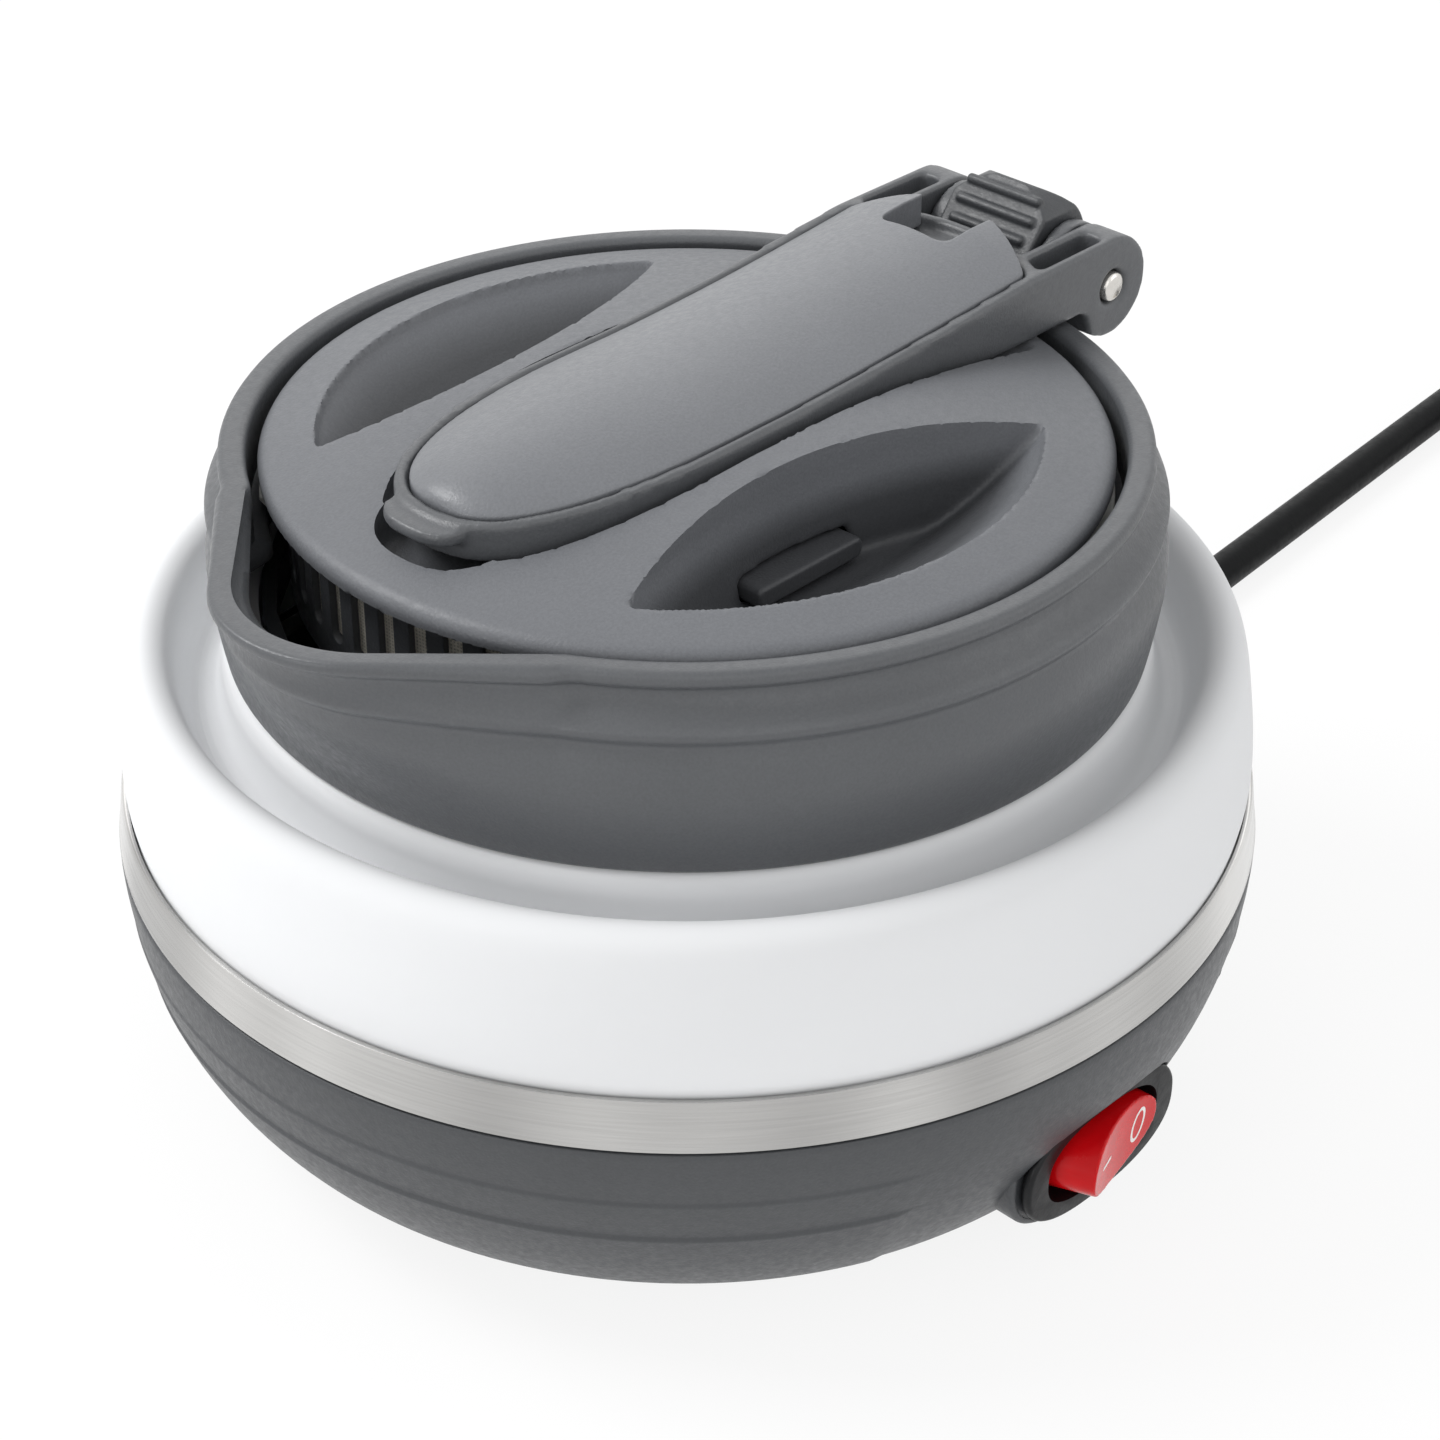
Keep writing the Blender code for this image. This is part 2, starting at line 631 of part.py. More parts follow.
def helix(centre, axis, radius, turns, length, steps=SPRING_STEPS):
    """Points of a coil spring round an axis."""
    axis = Vector(axis)
    side = axis.orthogonal().normalized()
    other = axis.cross(side)
    count = int(turns * steps)
    return [Vector(centre) + axis * (length * i / count)
            + side * (radius * cos(2 * pi * i / steps))
            + other * (radius * sin(2 * pi * i / steps)) for i in range(count + 1)]


# Base

def bowl_radius(height, inset=0.0):
    """Outer radius of the bowl at a height: a full quarter oval, drawn in by inset."""
    depth = BOWL_TOP_Z - BOWL_BOTTOM_Z
    share = min(max((BOWL_TOP_Z - height) / depth, 0.0), 1.0)
    bulge = (BOWL_RADIUS - BOWL_FLOOR_RADIUS) * (1 - share ** BOWL_ROUNDNESS) ** (1 / BOWL_ROUNDNESS)
    return BOWL_FLOOR_RADIUS + bulge - inset


def belt_rise(place):
    """How far the grip belt stands out at a place on the bowl."""
    angle = atan2(place.y, place.x)
    nearest = min(abs(angle + pi / 2), abs(angle - CORD_ANGLE))
    round_share = smoothstep(nearest, BELT_GAP_HALF_ANGLE, BELT_GAP_HALF_ANGLE + BELT_GAP_FADE)
    up_share = (smoothstep(place.z, BELT_LOW_Z, BELT_LOW_Z + BELT_EDGE)
                * (1 - smoothstep(place.z, BELT_HIGH_Z, BELT_HIGH_Z + BELT_EDGE)))
    return BELT_RISE * round_share * up_share


def belted(place):
    """Push a point of the bowl's outside out by the grip belt."""
    radius = sqrt(place.x ** 2 + place.y ** 2)
    if radius < bowl_radius(place.z) - SEAT_GAP:
        return place
    grown = (radius + belt_rise(place)) / radius
    return Vector((place.x * grown, place.y * grown, place.z))


def bowl_hollow():
    """The room inside the bowl, as a cutting tool."""
    heights = np.linspace(BOWL_BOTTOM_Z + CUT_OVERRUN, BOWL_TOP_Z, BOWL_WALL_STEPS + 1)
    line = [(bowl_radius(z, BOWL_WALL), z) for z in heights]
    return turned("hollow", [(0.0, BOWL_BOTTOM_Z)] + line + [(0.0, BOWL_TOP_Z)], SHELL_STEPS)


def switch_outline(margin=0.0):
    oval = oval_outline(BEZEL_HALF_LENGTH + margin, BEZEL_HALF_HEIGHT + margin)
    return shifted(oval, 0.0, SWITCH_Z)


def box_outline(margin=0.0):
    """Outline of the switch's box, or of the window it goes through."""
    return shifted(rounded_box_outline(WINDOW_HALF_LENGTH + margin, WINDOW_HALF_HEIGHT + margin,
                                       WINDOW_CORNER), 0.0, SWITCH_Z)


def switch_boss():
    """Flat oval seat for the bezel: proud of the bowl below, and sunk into it above."""
    rear = SWITCH_FACE_Y + BOSS_DEPTH
    boss = prism("boss", switch_outline(BOSS_MARGIN), SWITCH_FACE_Y, rear, "Y")
    hollow = bowl_hollow()
    cut(hollow, block("face_room", (-BOWL_RADIUS, -BOWL_RADIUS, 0.0),
                      (BOWL_RADIUS, SWITCH_FACE_Y + BOSS_FACE_THICKNESS, BOWL_TOP_Z)))
    return cut(boss, hollow)


def relief_rod(name, radius, start, end):
    """A round bar along the cord's way out, through the bowl's wall."""
    item = rod(name, radius, (start, 0, CORD_EXIT_Z), (end, 0, CORD_EXIT_Z))
    item.data.transform(Matrix.Rotation(CORD_ANGLE, 4, "Z"))
    return item


def base_shell():
    depth = BOWL_TOP_Z - BOWL_BOTTOM_Z
    heights = [BOWL_TOP_Z - depth * sin(a) for a in np.linspace(pi / 2, 0, BOWL_ARC_STEPS + 1)]
    heights += [BELT_HIGH_Z, BELT_HIGH_Z + BELT_EDGE]
    outer = [(bowl_radius(z), z) for z in sorted(heights)]
    rim_top = BOWL_BOTTOM_Z + COVER_RIM_HEIGHT
    inner = [(bowl_radius(z, BOWL_WALL), z)
             for z in np.linspace(BOWL_TOP_Z, rim_top, BOWL_WALL_STEPS)]
    ledge = BOWL_FLOOR_RADIUS - BOWL_WALL
    inner += [(ledge, rim_top), (ledge, BOWL_BOTTOM_Z)]
    shell = turned("base_shell", outer + inner, SHELL_STEPS, belted)
    join(shell, switch_boss())
    front = -BOWL_RADIUS - CUT_OVERRUN
    cut(shell, prism("bezel_seat", switch_outline(BEZEL_SEAT_MARGIN), front, SWITCH_FACE_Y, "Y"))
    cut(shell, prism("window", box_outline(HOUSING_WALL + SEAT_GAP), front,
                     SWITCH_FACE_Y + BOSS_DEPTH + CUT_OVERRUN, "Y"))
    boss_front = RELIEF_BOSS_REAR_X - RELIEF_BOSS_DEPTH
    relief_boss = relief_rod("relief_boss", RELIEF_BOSS_RADIUS, boss_front, RELIEF_BOSS_REAR_X)
    join(shell, cut(relief_boss, bowl_hollow()))
    cut(shell, relief_rod("relief_hole", RELIEF_BASE_RADIUS + SEAT_GAP, boss_front,
                          RELIEF_BOSS_REAR_X + CUT_OVERRUN))
    return dress(shell, "dark_grey_plastic")


def around(count, radius, start=0.0):
    """Places on a circle round the vessel's axis."""
    return [(radius * cos(start + 2 * pi * i / count), radius * sin(start + 2 * pi * i / count))
            for i in range(count)]


def foot_places():
    return around(FOOT_COUNT, FOOT_CIRCLE_RADIUS, pi / FOOT_COUNT)


def screw_places():
    return around(SCREW_COUNT, SCREW_CIRCLE_RADIUS, pi)


def bottom_cover():
    radius = BOWL_FLOOR_RADIUS - BOWL_WALL - SEAT_GAP
    rim_top = FOOT_STAND + COVER_RIM_HEIGHT
    cover = turned("bottom_cover", [
        (0.0, FOOT_STAND), (radius - BASE_CHIN, FOOT_STAND), (radius, FOOT_STAND + BASE_CHIN),
        (radius, rim_top), (radius - COVER_RIM_WALL, rim_top),
        (radius - COVER_RIM_WALL, COVER_TOP_Z), (0.0, COVER_TOP_Z)])
    for x, y in foot_places():
        pad = rod("pad", FOOT_RADIUS + COVER_RIM_WALL, (x, y, COVER_TOP_Z - SEAT_GAP),
                  (x, y, FOOT_THICKNESS + COVER_THICKNESS), TINY_STEPS)
        join(cover, pad)
        cut(cover, rod("seat", FOOT_RADIUS + SEAT_GAP, (x, y, FOOT_STAND - CUT_OVERRUN),
                       (x, y, FOOT_THICKNESS + SEAT_GAP), TINY_STEPS))
    well_top = FOOT_STAND + SCREW_WELL_DEPTH + SCREW_HEAD_HEIGHT
    for x, y in screw_places():
        head_hole = SCREW_HEAD_RADIUS + SEAT_GAP
        well = rod("well", head_hole + SCREW_WELL_WALL, (x, y, COVER_TOP_Z - SEAT_GAP),
                   (x, y, well_top + SCREW_WELL_WALL), TINY_STEPS)
        join(cover, well)
        cut(cover, rod("head_hole", head_hole, (x, y, FOOT_STAND - CUT_OVERRUN),
                       (x, y, well_top + SEAT_GAP), TINY_STEPS))
        cut(cover, rod("shank_hole", SCREW_SHANK_RADIUS + SEAT_GAP, (x, y, well_top),
                       (x, y, well_top + SCREW_WELL_WALL + CUT_OVERRUN), TINY_STEPS))
    for i in range(VENT_COUNT):
        y = (i - (VENT_COUNT - 1) / 2) * VENT_PITCH
        cut(cover, block("vent", (-VENT_LENGTH / 2, y - VENT_WIDTH / 2, FOOT_STAND - CUT_OVERRUN),
                         (VENT_LENGTH / 2, y + VENT_WIDTH / 2, COVER_TOP_Z + CUT_OVERRUN)))
    return dress(cover, "dark_grey_plastic")


def feet():
    made = []
    for number, (x, y) in enumerate(foot_places(), start=1):
        foot = turned("foot_%d" % number, [
            (0.0, 0.0), (FOOT_RADIUS - BASE_CHIN, 0.0), (FOOT_RADIUS, BASE_CHIN),
            (FOOT_RADIUS, FOOT_THICKNESS), (0.0, FOOT_THICKNESS)], TINY_STEPS)
        foot.data.transform(Matrix.Translation((x, y, 0.0)))
        made.append(dress(foot, "black_rubber"))
    return made


def cover_screws():
    made = []
    head_top = FOOT_STAND + SCREW_WELL_DEPTH + SCREW_HEAD_HEIGHT
    for number, (x, y) in enumerate(screw_places(), start=1):
        screw = turned("cover_screw_%d" % number, [
            (0.0, head_top - SCREW_HEAD_HEIGHT), (SCREW_HEAD_RADIUS, head_top - SCREW_HEAD_HEIGHT),
            (SCREW_HEAD_RADIUS, head_top), (SCREW_SHANK_RADIUS, head_top),
            (SCREW_SHANK_RADIUS, head_top + SCREW_LENGTH), (0.0, head_top + SCREW_LENGTH)],
            TINY_STEPS)
        screw.data.transform(Matrix.Translation((x, y, 0.0)))
        made.append(dress(screw, "steel"))
    return made


def steel_band():
    band = turned("steel_band", [
        (BOWL_RADIUS, BAND_BOTTOM_Z), (BAND_TOP_RADIUS, BAND_TOP_Z),
        (BAND_TOP_RADIUS - BAND_WALL, BAND_TOP_Z), (BOWL_RADIUS - BAND_WALL, BAND_BOTTOM_Z)],
        SHELL_STEPS)
    return dress(band, "steel")


def heating_plate():
    wall = PLATE_WALL
    flange_inner = PLATE_FLANGE_RADIUS - PLATE_FLANGE_WIDTH
    plate = turned("heating_plate", [
        (0.0, PLATE_FLOOR_Z - wall), (PLATE_FLOOR_RADIUS, PLATE_FLOOR_Z - wall),
        (PLATE_KNEE_RADIUS + wall, PLATE_KNEE_Z - wall), (flange_inner + wall, PLATE_FLANGE_Z - wall),
        (PLATE_FLANGE_RADIUS, PLATE_FLANGE_Z - wall), (PLATE_FLANGE_RADIUS, PLATE_FLANGE_Z),
        (flange_inner, PLATE_FLANGE_Z), (PLATE_KNEE_RADIUS, PLATE_KNEE_Z),
        (PLATE_FLOOR_RADIUS, PLATE_FLOOR_Z), (0.0, PLATE_FLOOR_Z)])
    return dress(plate, "steel")


def heating_element():
    """A C shaped tube under the plate, with its two cold legs turned down."""
    top = PLATE_FLOOR_Z - PLATE_WALL - SEAT_GAP
    z = top - ELEMENT_TUBE_RADIUS
    start, end = ELEMENT_GAP_ANGLE / 2, 2 * pi - ELEMENT_GAP_ANGLE / 2
    ring = [Vector((x, y, z)) for x, y in arc((0, 0), ELEMENT_RING_RADIUS, start, end,
                                              RING_STEPS // 2)]
    bend = ELEMENT_TUBE_RADIUS
    legs = []
    for point in (ring[0], ring[-1]):
        inward = -point.copy()
        inward.z = 0.0
        legs.append([point + inward.normalized() * bend - Vector((0, 0, bend)),
                     point + inward.normalized() * bend - Vector((0, 0, ELEMENT_LEG_LENGTH))])
    path = [legs[0][1], legs[0][0]] + ring + [legs[1][0], legs[1][1]]
    return dress(as_mesh(tube("heating_element", path, ELEMENT_TUBE_RADIUS)), "steel")


def thermostat():
    top = PLATE_FLOOR_Z - PLATE_WALL - SEAT_GAP
    cap = rod("thermostat", THERMOSTAT_RADIUS, (0, 0, top - THERMOSTAT_HEIGHT), (0, 0, top))
    tab_low = top - THERMOSTAT_HEIGHT / 2
    for side in (-1, 1):
        near, far = sorted((side * THERMOSTAT_RADIUS / 2, side * THERMOSTAT_TAB_REACH))
        join(cap, block("tab", (near, -THERMOSTAT_TAB_WIDTH / 2, tab_low),
                        (far, THERMOSTAT_TAB_WIDTH / 2, tab_low + THERMOSTAT_TAB_THICKNESS)))
    return dress(cap, "black_plastic")


def base_seal():
    """Ring between the bowl's rim and the flange of the heating plate."""
    top = PLATE_FLANGE_Z - PLATE_WALL - SEAT_GAP
    outer = PLATE_FLANGE_RADIUS
    seal = turned("base_seal", [
        (outer - BASE_SEAL_WIDTH, top - BASE_SEAL_HEIGHT), (outer, top - BASE_SEAL_HEIGHT),
        (outer, top), (outer - BASE_SEAL_WIDTH, top)])
    return dress(seal, "clear_grey_silicone")


# Silicone wall

def silicone_body():
    """The soft wall folded once: up the outside, over the crest, down and up again inside."""
    wall = SILICONE_WALL
    foot_outer = BAND_TOP_RADIUS - BAND_WALL - SEAT_GAP
    foot_low = PLATE_FLANGE_Z + SEAT_GAP
    foot_inner = PLATE_FLANGE_RADIUS - wall
    lip_outer = COLLAR_BOTTOM_RADIUS - COLLAR_WALL - SEAT_GAP
    lip_top = COLLAR_BOTTOM_Z + SILICONE_LIP_HEIGHT
    under_collar = COLLAR_BOTTOM_Z - SEAT_GAP
    crest_round = (SILICONE_CREST_RADIUS - SILICONE_CREST_INNER_RADIUS) / 2
    shoulder_z = SILICONE_CREST_Z - crest_round * 2
    valley_top = SILICONE_VALLEY_Z + wall
    outer = [
        (foot_outer, foot_low),
        (foot_outer, BAND_TOP_Z + SEAT_GAP),
        (BAND_TOP_RADIUS - SEAT_GAP, SILICONE_START_Z + SEAT_GAP),
        (SILICONE_BULGE_RADIUS, SILICONE_BULGE_Z),
        (SILICONE_SHOULDER_RADIUS, shoulder_z),
        (SILICONE_CREST_RADIUS + wall, SILICONE_CREST_Z - crest_round / 2),
        (SILICONE_CREST_RADIUS, SILICONE_CREST_Z),
        (SILICONE_CREST_INNER_RADIUS, SILICONE_CREST_Z - crest_round),
        (SILICONE_VALLEY_RADIUS + wall, valley_top + crest_round),
        (SILICONE_VALLEY_RADIUS, valley_top),
        (SILICONE_INNER_RADIUS, valley_top + crest_round),
        (SILICONE_INNER_RADIUS, under_collar),
        (lip_outer, under_collar),
        (lip_outer, lip_top),
    ]
    inner = [
        (lip_outer - wall, lip_top),
        (lip_outer - wall, under_collar - wall),
        (SILICONE_INNER_RADIUS - wall, under_collar - wall * 2),
        (SILICONE_INNER_RADIUS - wall, valley_top),
        (SILICONE_VALLEY_RADIUS, SILICONE_VALLEY_Z),
        (SILICONE_VALLEY_RADIUS + wall * 2, valley_top + crest_round),
        (SILICONE_CREST_INNER_RADIUS + wall, SILICONE_CREST_Z - crest_round - wall),
        (SILICONE_CREST_RADIUS, SILICONE_CREST_Z - wall),
        (SILICONE_SHOULDER_RADIUS - wall, shoulder_z - wall / 2),
        (SILICONE_BULGE_RADIUS - wall, SILICONE_BULGE_Z),
        (foot_outer - wall, SILICONE_START_Z + wall),
        (foot_inner, SILICONE_START_Z - wall),
        (foot_inner, foot_low),
    ]
    return dress(turned("silicone_body", outer + inner, SHELL_STEPS), "white_silicone")


# Collar with spout

def spout_reach(angle, radius):
    """Distance from the axis to the outline of rim and spout, where the rim has this radius."""
    off = abs(abs(angle) - pi)
    if off >= SPOUT_HALF_ANGLE:
        return radius
    centre = SPOUT_TIP_REACH - SPOUT_TIP_RADIUS
    corner = Vector((COLLAR_RIM_RADIUS * cos(SPOUT_HALF_ANGLE),
                     COLLAR_RIM_RADIUS * sin(SPOUT_HALF_ANGLE)))
    to_centre = Vector((centre, 0.0)) - corner
    lean = asin(SPOUT_TIP_RADIUS / to_centre.length)
    heading = atan2(to_centre.y, to_centre.x) + lean
    ray = Vector((cos(off), sin(off)))
    edge = Vector((cos(heading), sin(heading)))
    on_edge = (corner.x * edge.y - corner.y * edge.x) / (ray.x * edge.y - ray.y * edge.x)
    across = centre * sin(off)
    on_tip = centre * cos(off) + sqrt(max(SPOUT_TIP_RADIUS ** 2 - across ** 2, 0.0))
    touch = corner + edge * (to_centre.length * cos(lean))
    tip_angle = atan2(touch.y, touch.x)
    reach = on_tip if off < tip_angle else on_edge
    return radius + max(reach - COLLAR_RIM_RADIUS, 0.0)


def spout_share(height):
    """How much of the spout's reach is there at a height: none at its root, all at the rim."""
    share = (height - SPOUT_ROOT_Z) / (COLLAR_TOP_Z - SPOUT_ROOT_Z)
    return min(max(share, 0.0), 1.0) ** SPOUT_SWEEP


def spouted(place):
    """Carry a point of the round collar out to the spout."""
    radius = sqrt(place.x ** 2 + place.y ** 2)
    angle = atan2(place.y, place.x)
    reach = spout_reach(angle, COLLAR_RIM_RADIUS) - COLLAR_RIM_RADIUS
    moved = radius + reach * spout_share(place.z)
    off = abs(abs(angle) - pi)
    open_end = SPOUT_HALF_ANGLE + SPOUT_OPEN_MARGIN
    if off < open_end:
        open_share = 1 - smoothstep(off, SPOUT_HALF_ANGLE - SPOUT_OPEN_FADE, open_end)
        wall_inside = collar_outer_radius(place.z) - COLLAR_WALL + reach * spout_share(place.z)
        if radius < wall_inside and place.z > SPOUT_ROOT_Z:
            moved = max(moved, moved + (wall_inside - moved) * open_share)
    return Vector((moved * cos(angle), moved * sin(angle), place.z))


def collar_profile_outer():
    """The collar's outside, from its bottom edge up to the rim."""
    groove_z = COLLAR_TOP_Z - COLLAR_RIM_BEAD
    return [
        (COLLAR_BOTTOM_RADIUS, COLLAR_BOTTOM_Z),
        (COLLAR_BOTTOM_RADIUS + (COLLAR_BULGE_RADIUS - COLLAR_BOTTOM_RADIUS) * COLLAR_SWELL_SHARE,
         COLLAR_BOTTOM_Z + (COLLAR_BULGE_Z - COLLAR_BOTTOM_Z) / 2),
        (COLLAR_BULGE_RADIUS, COLLAR_BULGE_Z),
        (COLLAR_BULGE_RADIUS - COLLAR_GROOVE / 2, COLLAR_BULGE_Z + (groove_z - COLLAR_BULGE_Z) / 2),
        (COLLAR_RIM_RADIUS, groove_z - COLLAR_GROOVE),
        (COLLAR_RIM_RADIUS - COLLAR_GROOVE, groove_z),
        (COLLAR_RIM_RADIUS, groove_z + COLLAR_GROOVE),
        (COLLAR_RIM_RADIUS, COLLAR_TOP_Z - COLLAR_GROOVE),
    ]


def collar_outer_radius(height):
    """Outer radius of the round collar at a height."""
    radii, heights = zip(*collar_profile_outer())
    return float(np.interp(height, heights, radii))


def collar_shell():
    rim_round = COLLAR_GROOVE
    step_radius = COLLAR_BOTTOM_RADIUS - COLLAR_WALL
    lip_room = COLLAR_BOTTOM_Z + SILICONE_LIP_HEIGHT + SEAT_GAP
    inner = [
        (COLLAR_RIM_RADIUS - rim_round, COLLAR_TOP_Z),
        (LID_SEAT_RADIUS + rim_round, COLLAR_TOP_Z),
        (LID_SEAT_RADIUS, COLLAR_TOP_Z - rim_round),
        (LID_SEAT_RADIUS, CATCH_BEAD_TOP_Z + rim_round),
        (CATCH_BEAD_RADIUS, CATCH_BEAD_TOP_Z),
        (CATCH_BEAD_RADIUS, CATCH_BEAD_BOTTOM_Z),
        (COLLAR_BULGE_RADIUS - COLLAR_WALL, CATCH_BEAD_BOTTOM_Z - rim_round),
        (step_radius, lip_room + COLLAR_WALL),
        (step_radius, COLLAR_BOTTOM_Z),
    ]
    collar = turned("collar_shell", collar_profile_outer() + inner, COLLAR_STEPS, spouted)
    return dress(collar, "dark_grey_plastic")


def collar_clamp_ring():
    outer = COLLAR_BOTTOM_RADIUS - COLLAR_WALL - SEAT_GAP - SILICONE_WALL - SEAT_GAP
    low = COLLAR_BOTTOM_Z - SEAT_GAP
    ring = turned("collar_clamp_ring", [
        (outer - CLAMP_RING_WALL, low), (outer, low),
        (outer, low + CLAMP_RING_HEIGHT), (outer - CLAMP_RING_WALL, low + CLAMP_RING_HEIGHT)])
    return dress(ring, "dark_grey_plastic")


# Lid

def lid_height(radius):
    """Height of the domed lid at a distance from the axis."""
    return LID_DOME_Z - LID_DOME_RISE * (radius / LID_RADIUS) ** 2


def dome_solid(name, drop, low, radius, edge=0.0):
    """A solid filled from a low plane up to the dome, lowered by drop, with its edge broken."""
    side = [(0.0, low), (radius, low)]
    if edge > 0.0:
        side.append((radius, lid_height(radius) - edge))
    top = [(r, lid_height(r) - drop) for r in np.linspace(radius - edge, 0.0, LID_ARC_STEPS + 1)]
    return turned(name, side + top, SHELL_STEPS)


def bowed(start, end, middle_y, steps):
    """Arc between two points that bows out to a height above or below their middle."""
    start, end = Vector(start), Vector(end)
    chord = end - start
    middle = (start + end) / 2
    bow = middle_y - middle.y
    radius = (chord.length ** 2 / 4 + bow ** 2) / (2 * abs(bow))
    up = Vector((-chord.y, chord.x)).normalized() * np.sign(bow)
    centre = middle + up * (abs(bow) - radius)
    half = asin(chord.length / 2 / radius)
    along = chord.normalized()
    return [tuple(centre + up * (radius * cos(a)) + along * (radius * sin(a)))
            for a in np.linspace(-half, half, steps + 1)]


def recess_tip(share, inner_y, outer_y):
    """A tip's place: a share of the lid's radius along X, and between the two edges along Y."""
    return (LID_RADIUS * share[0], inner_y + (outer_y - inner_y) * share[1])


def lens(front, rear, inner_y, outer_y, side):
    """Outline of two arcs that meet in two tips."""
    outer = bowed(front, rear, outer_y, RECESS_EDGE_STEPS)
    inner = bowed(front, rear, inner_y, RECESS_EDGE_STEPS)
    return [(x, side * y) for x, y in outer + inner[::-1][1:-1]]


def recess_solid(side, grow=0.0):
    """A finger recess: straight sides through the lid, drawn in below to a narrow floor."""

    def level(front_share, rear_share, inner_y, outer_y):
        front = recess_tip(front_share, inner_y, outer_y)
        rear = recess_tip(rear_share, inner_y, outer_y)
        return lens((front[0] - grow, front[1]), (rear[0] + grow, rear[1]), inner_y - grow,
                    outer_y + grow, side)

    wide = level(RECESS_FRONT_TIP, RECESS_REAR_TIP, RECESS_INNER_Y, RECESS_OUTER_Y)
    narrow = level(RECESS_FLOOR_FRONT_TIP, RECESS_FLOOR_REAR_TIP, RECESS_FLOOR_INNER_Y,
                   RECESS_FLOOR_OUTER_Y)
    levels = [(narrow, RECESS_DEPTH_Z - grow), (wide, lid_height(RECESS_OUTER_Y)),
              (wide, LID_DOME_Z + CUT_OVERRUN)]
    bm = bmesh.new()
    rings = [[bm.verts.new((x, y, z)) for x, y in outline] for outline, z in levels]
    bm.faces.new(rings[0])
    bm.faces.new(rings[-1])
    for low, high in zip(rings, rings[1:]):
        for i in range(len(low)):
            j = (i + 1) % len(low)
            bm.faces.new((low[i], low[j], high[j], high[i]))
    return new_object("recess", bm)


def handle_half_width(x, inset=0.0):
    """Half the grip's width at a place along it: a round nose, then parallel sides."""
    front = HANDLE_FRONT_X + inset
    span = HANDLE_FULL_WIDTH_X - front
    share = min(max((HANDLE_FULL_WIDTH_X - x) / span, 0.0), 1.0)
    nose = (1 - share ** HANDLE_FRONT_POWER) ** (1 / HANDLE_FRONT_POWER)
    return (HANDLE_HALF_WIDTH - inset) * nose


def handle_flare(x):
    """How much wider the frame gets towards the hinge ears."""
    return smoothstep(x, HANDLE_FLARE_X, HANDLE_REAR_X) * (EAR_OUTER_Y - HANDLE_HALF_WIDTH)


def frame_half_width(x, inset=0.0):
    return handle_half_width(x, inset) + handle_flare(x)


def cover_half_width(x, inset=0.0):
    return handle_half_width(x, inset) + handle_flare(x) * GRIP_COVER_FLARE_SHARE


def end_arc_x(y, inset=0.0):
    """Where the rounded rear end of the grip lies at a distance from the middle plane."""
    radius = HANDLE_END_RADIUS - inset
    return HANDLE_END_X - HANDLE_END_RADIUS + sqrt(radius ** 2 - y ** 2)


def end_outline(inset=0.0):
    """Outline that rounds off the rear end of anything built along the grip."""
    half = EAR_OUTER_Y + CUT_OVERRUN
    across = np.linspace(-half, half, SMALL_STEPS + 1)
    return [(HANDLE_FRONT_X * 2, -half)] + [(end_arc_x(y, inset), y) for y in across] + [
        (HANDLE_FRONT_X * 2, half)]


def handle_stations(front, rear):
    """Places along the handle, closer together round the nose."""
    shares = np.linspace(0, 1, HANDLE_STATIONS + 1) ** HANDLE_NOSE_SPACING
    nose = [front + (HANDLE_FULL_WIDTH_X - front) * share for share in shares[1:]]
    return nose + list(np.linspace(HANDLE_FULL_WIDTH_X, rear, HANDLE_REAR_STATIONS + 1)[1:])


def handle_strip(name, inset, front_gap, rear, low, high, width=handle_half_width):
    """A solid with the handle's outline: low and high give its bottom and top at each place."""
    bm = bmesh.new()
    rows = []
    for x in handle_stations(HANDLE_FRONT_X + front_gap, rear):
        half = width(x, inset)
        rows.append([bm.verts.new((x, y, z)) for y, z in (
            (-half, low(x)), (half, low(x)), (half, high(x)), (-half, high(x)))])
    for a, b in zip(rows, rows[1:]):
        for i in range(4):
            j = (i + 1) % 4
            bm.faces.new((a[i], a[j], b[j], b[i]))
    bm.faces.new(rows[0])
    bm.faces.new(rows[-1])
    return new_object(name, bm)


def rim_height(x):
    """Height of the handle's top rim: low at the nose, rising to the hinge, level over it."""
    if x < 0:
        return HANDLE_RIM_Z - HANDLE_RIM_FRONT_DROP * (x / HANDLE_FRONT_X) ** 2
    return HANDLE_RIM_Z + HANDLE_RIM_REAR_RISE * min(x / HANDLE_REAR_X, 1.0) ** HANDLE_RISE_POWER


def dip_outline(grow=0.0):
    """The rounded dip in front of the handle's lip, where a fingertip gets under it."""
    return shifted(oval_outline(DIP_HALF_LENGTH + grow, DIP_HALF_WIDTH + grow), DIP_CENTRE_X, 0.0)


def lid_walls():
    """The walls of trough, dip and finger recesses, kept just under the lid's dome."""
    gap = -TROUGH_GAP - RECESS_WALL
    inner_edge = SKIRT_RADIUS - SKIRT_WALL - SEAT_GAP
    low = TROUGH_FLOOR_Z - RECESS_WALL
    walls = handle_strip("walls", gap, gap, inner_edge - BASE_CHIN, lambda x: low,
                         lambda x: LID_DOME_Z, frame_half_width)
    join(walls, prism("dip_wall", dip_outline(RECESS_WALL), DIP_FLOOR_Z - RECESS_WALL, LID_DOME_Z))
    for side in (-1, 1):
        join(walls, recess_solid(side, RECESS_WALL))
    return combine(walls, dome_solid("limit", LID_WALL / 2, RECESS_DEPTH_Z - RECESS_WALL * 2,
                                     inner_edge), "INTERSECT")


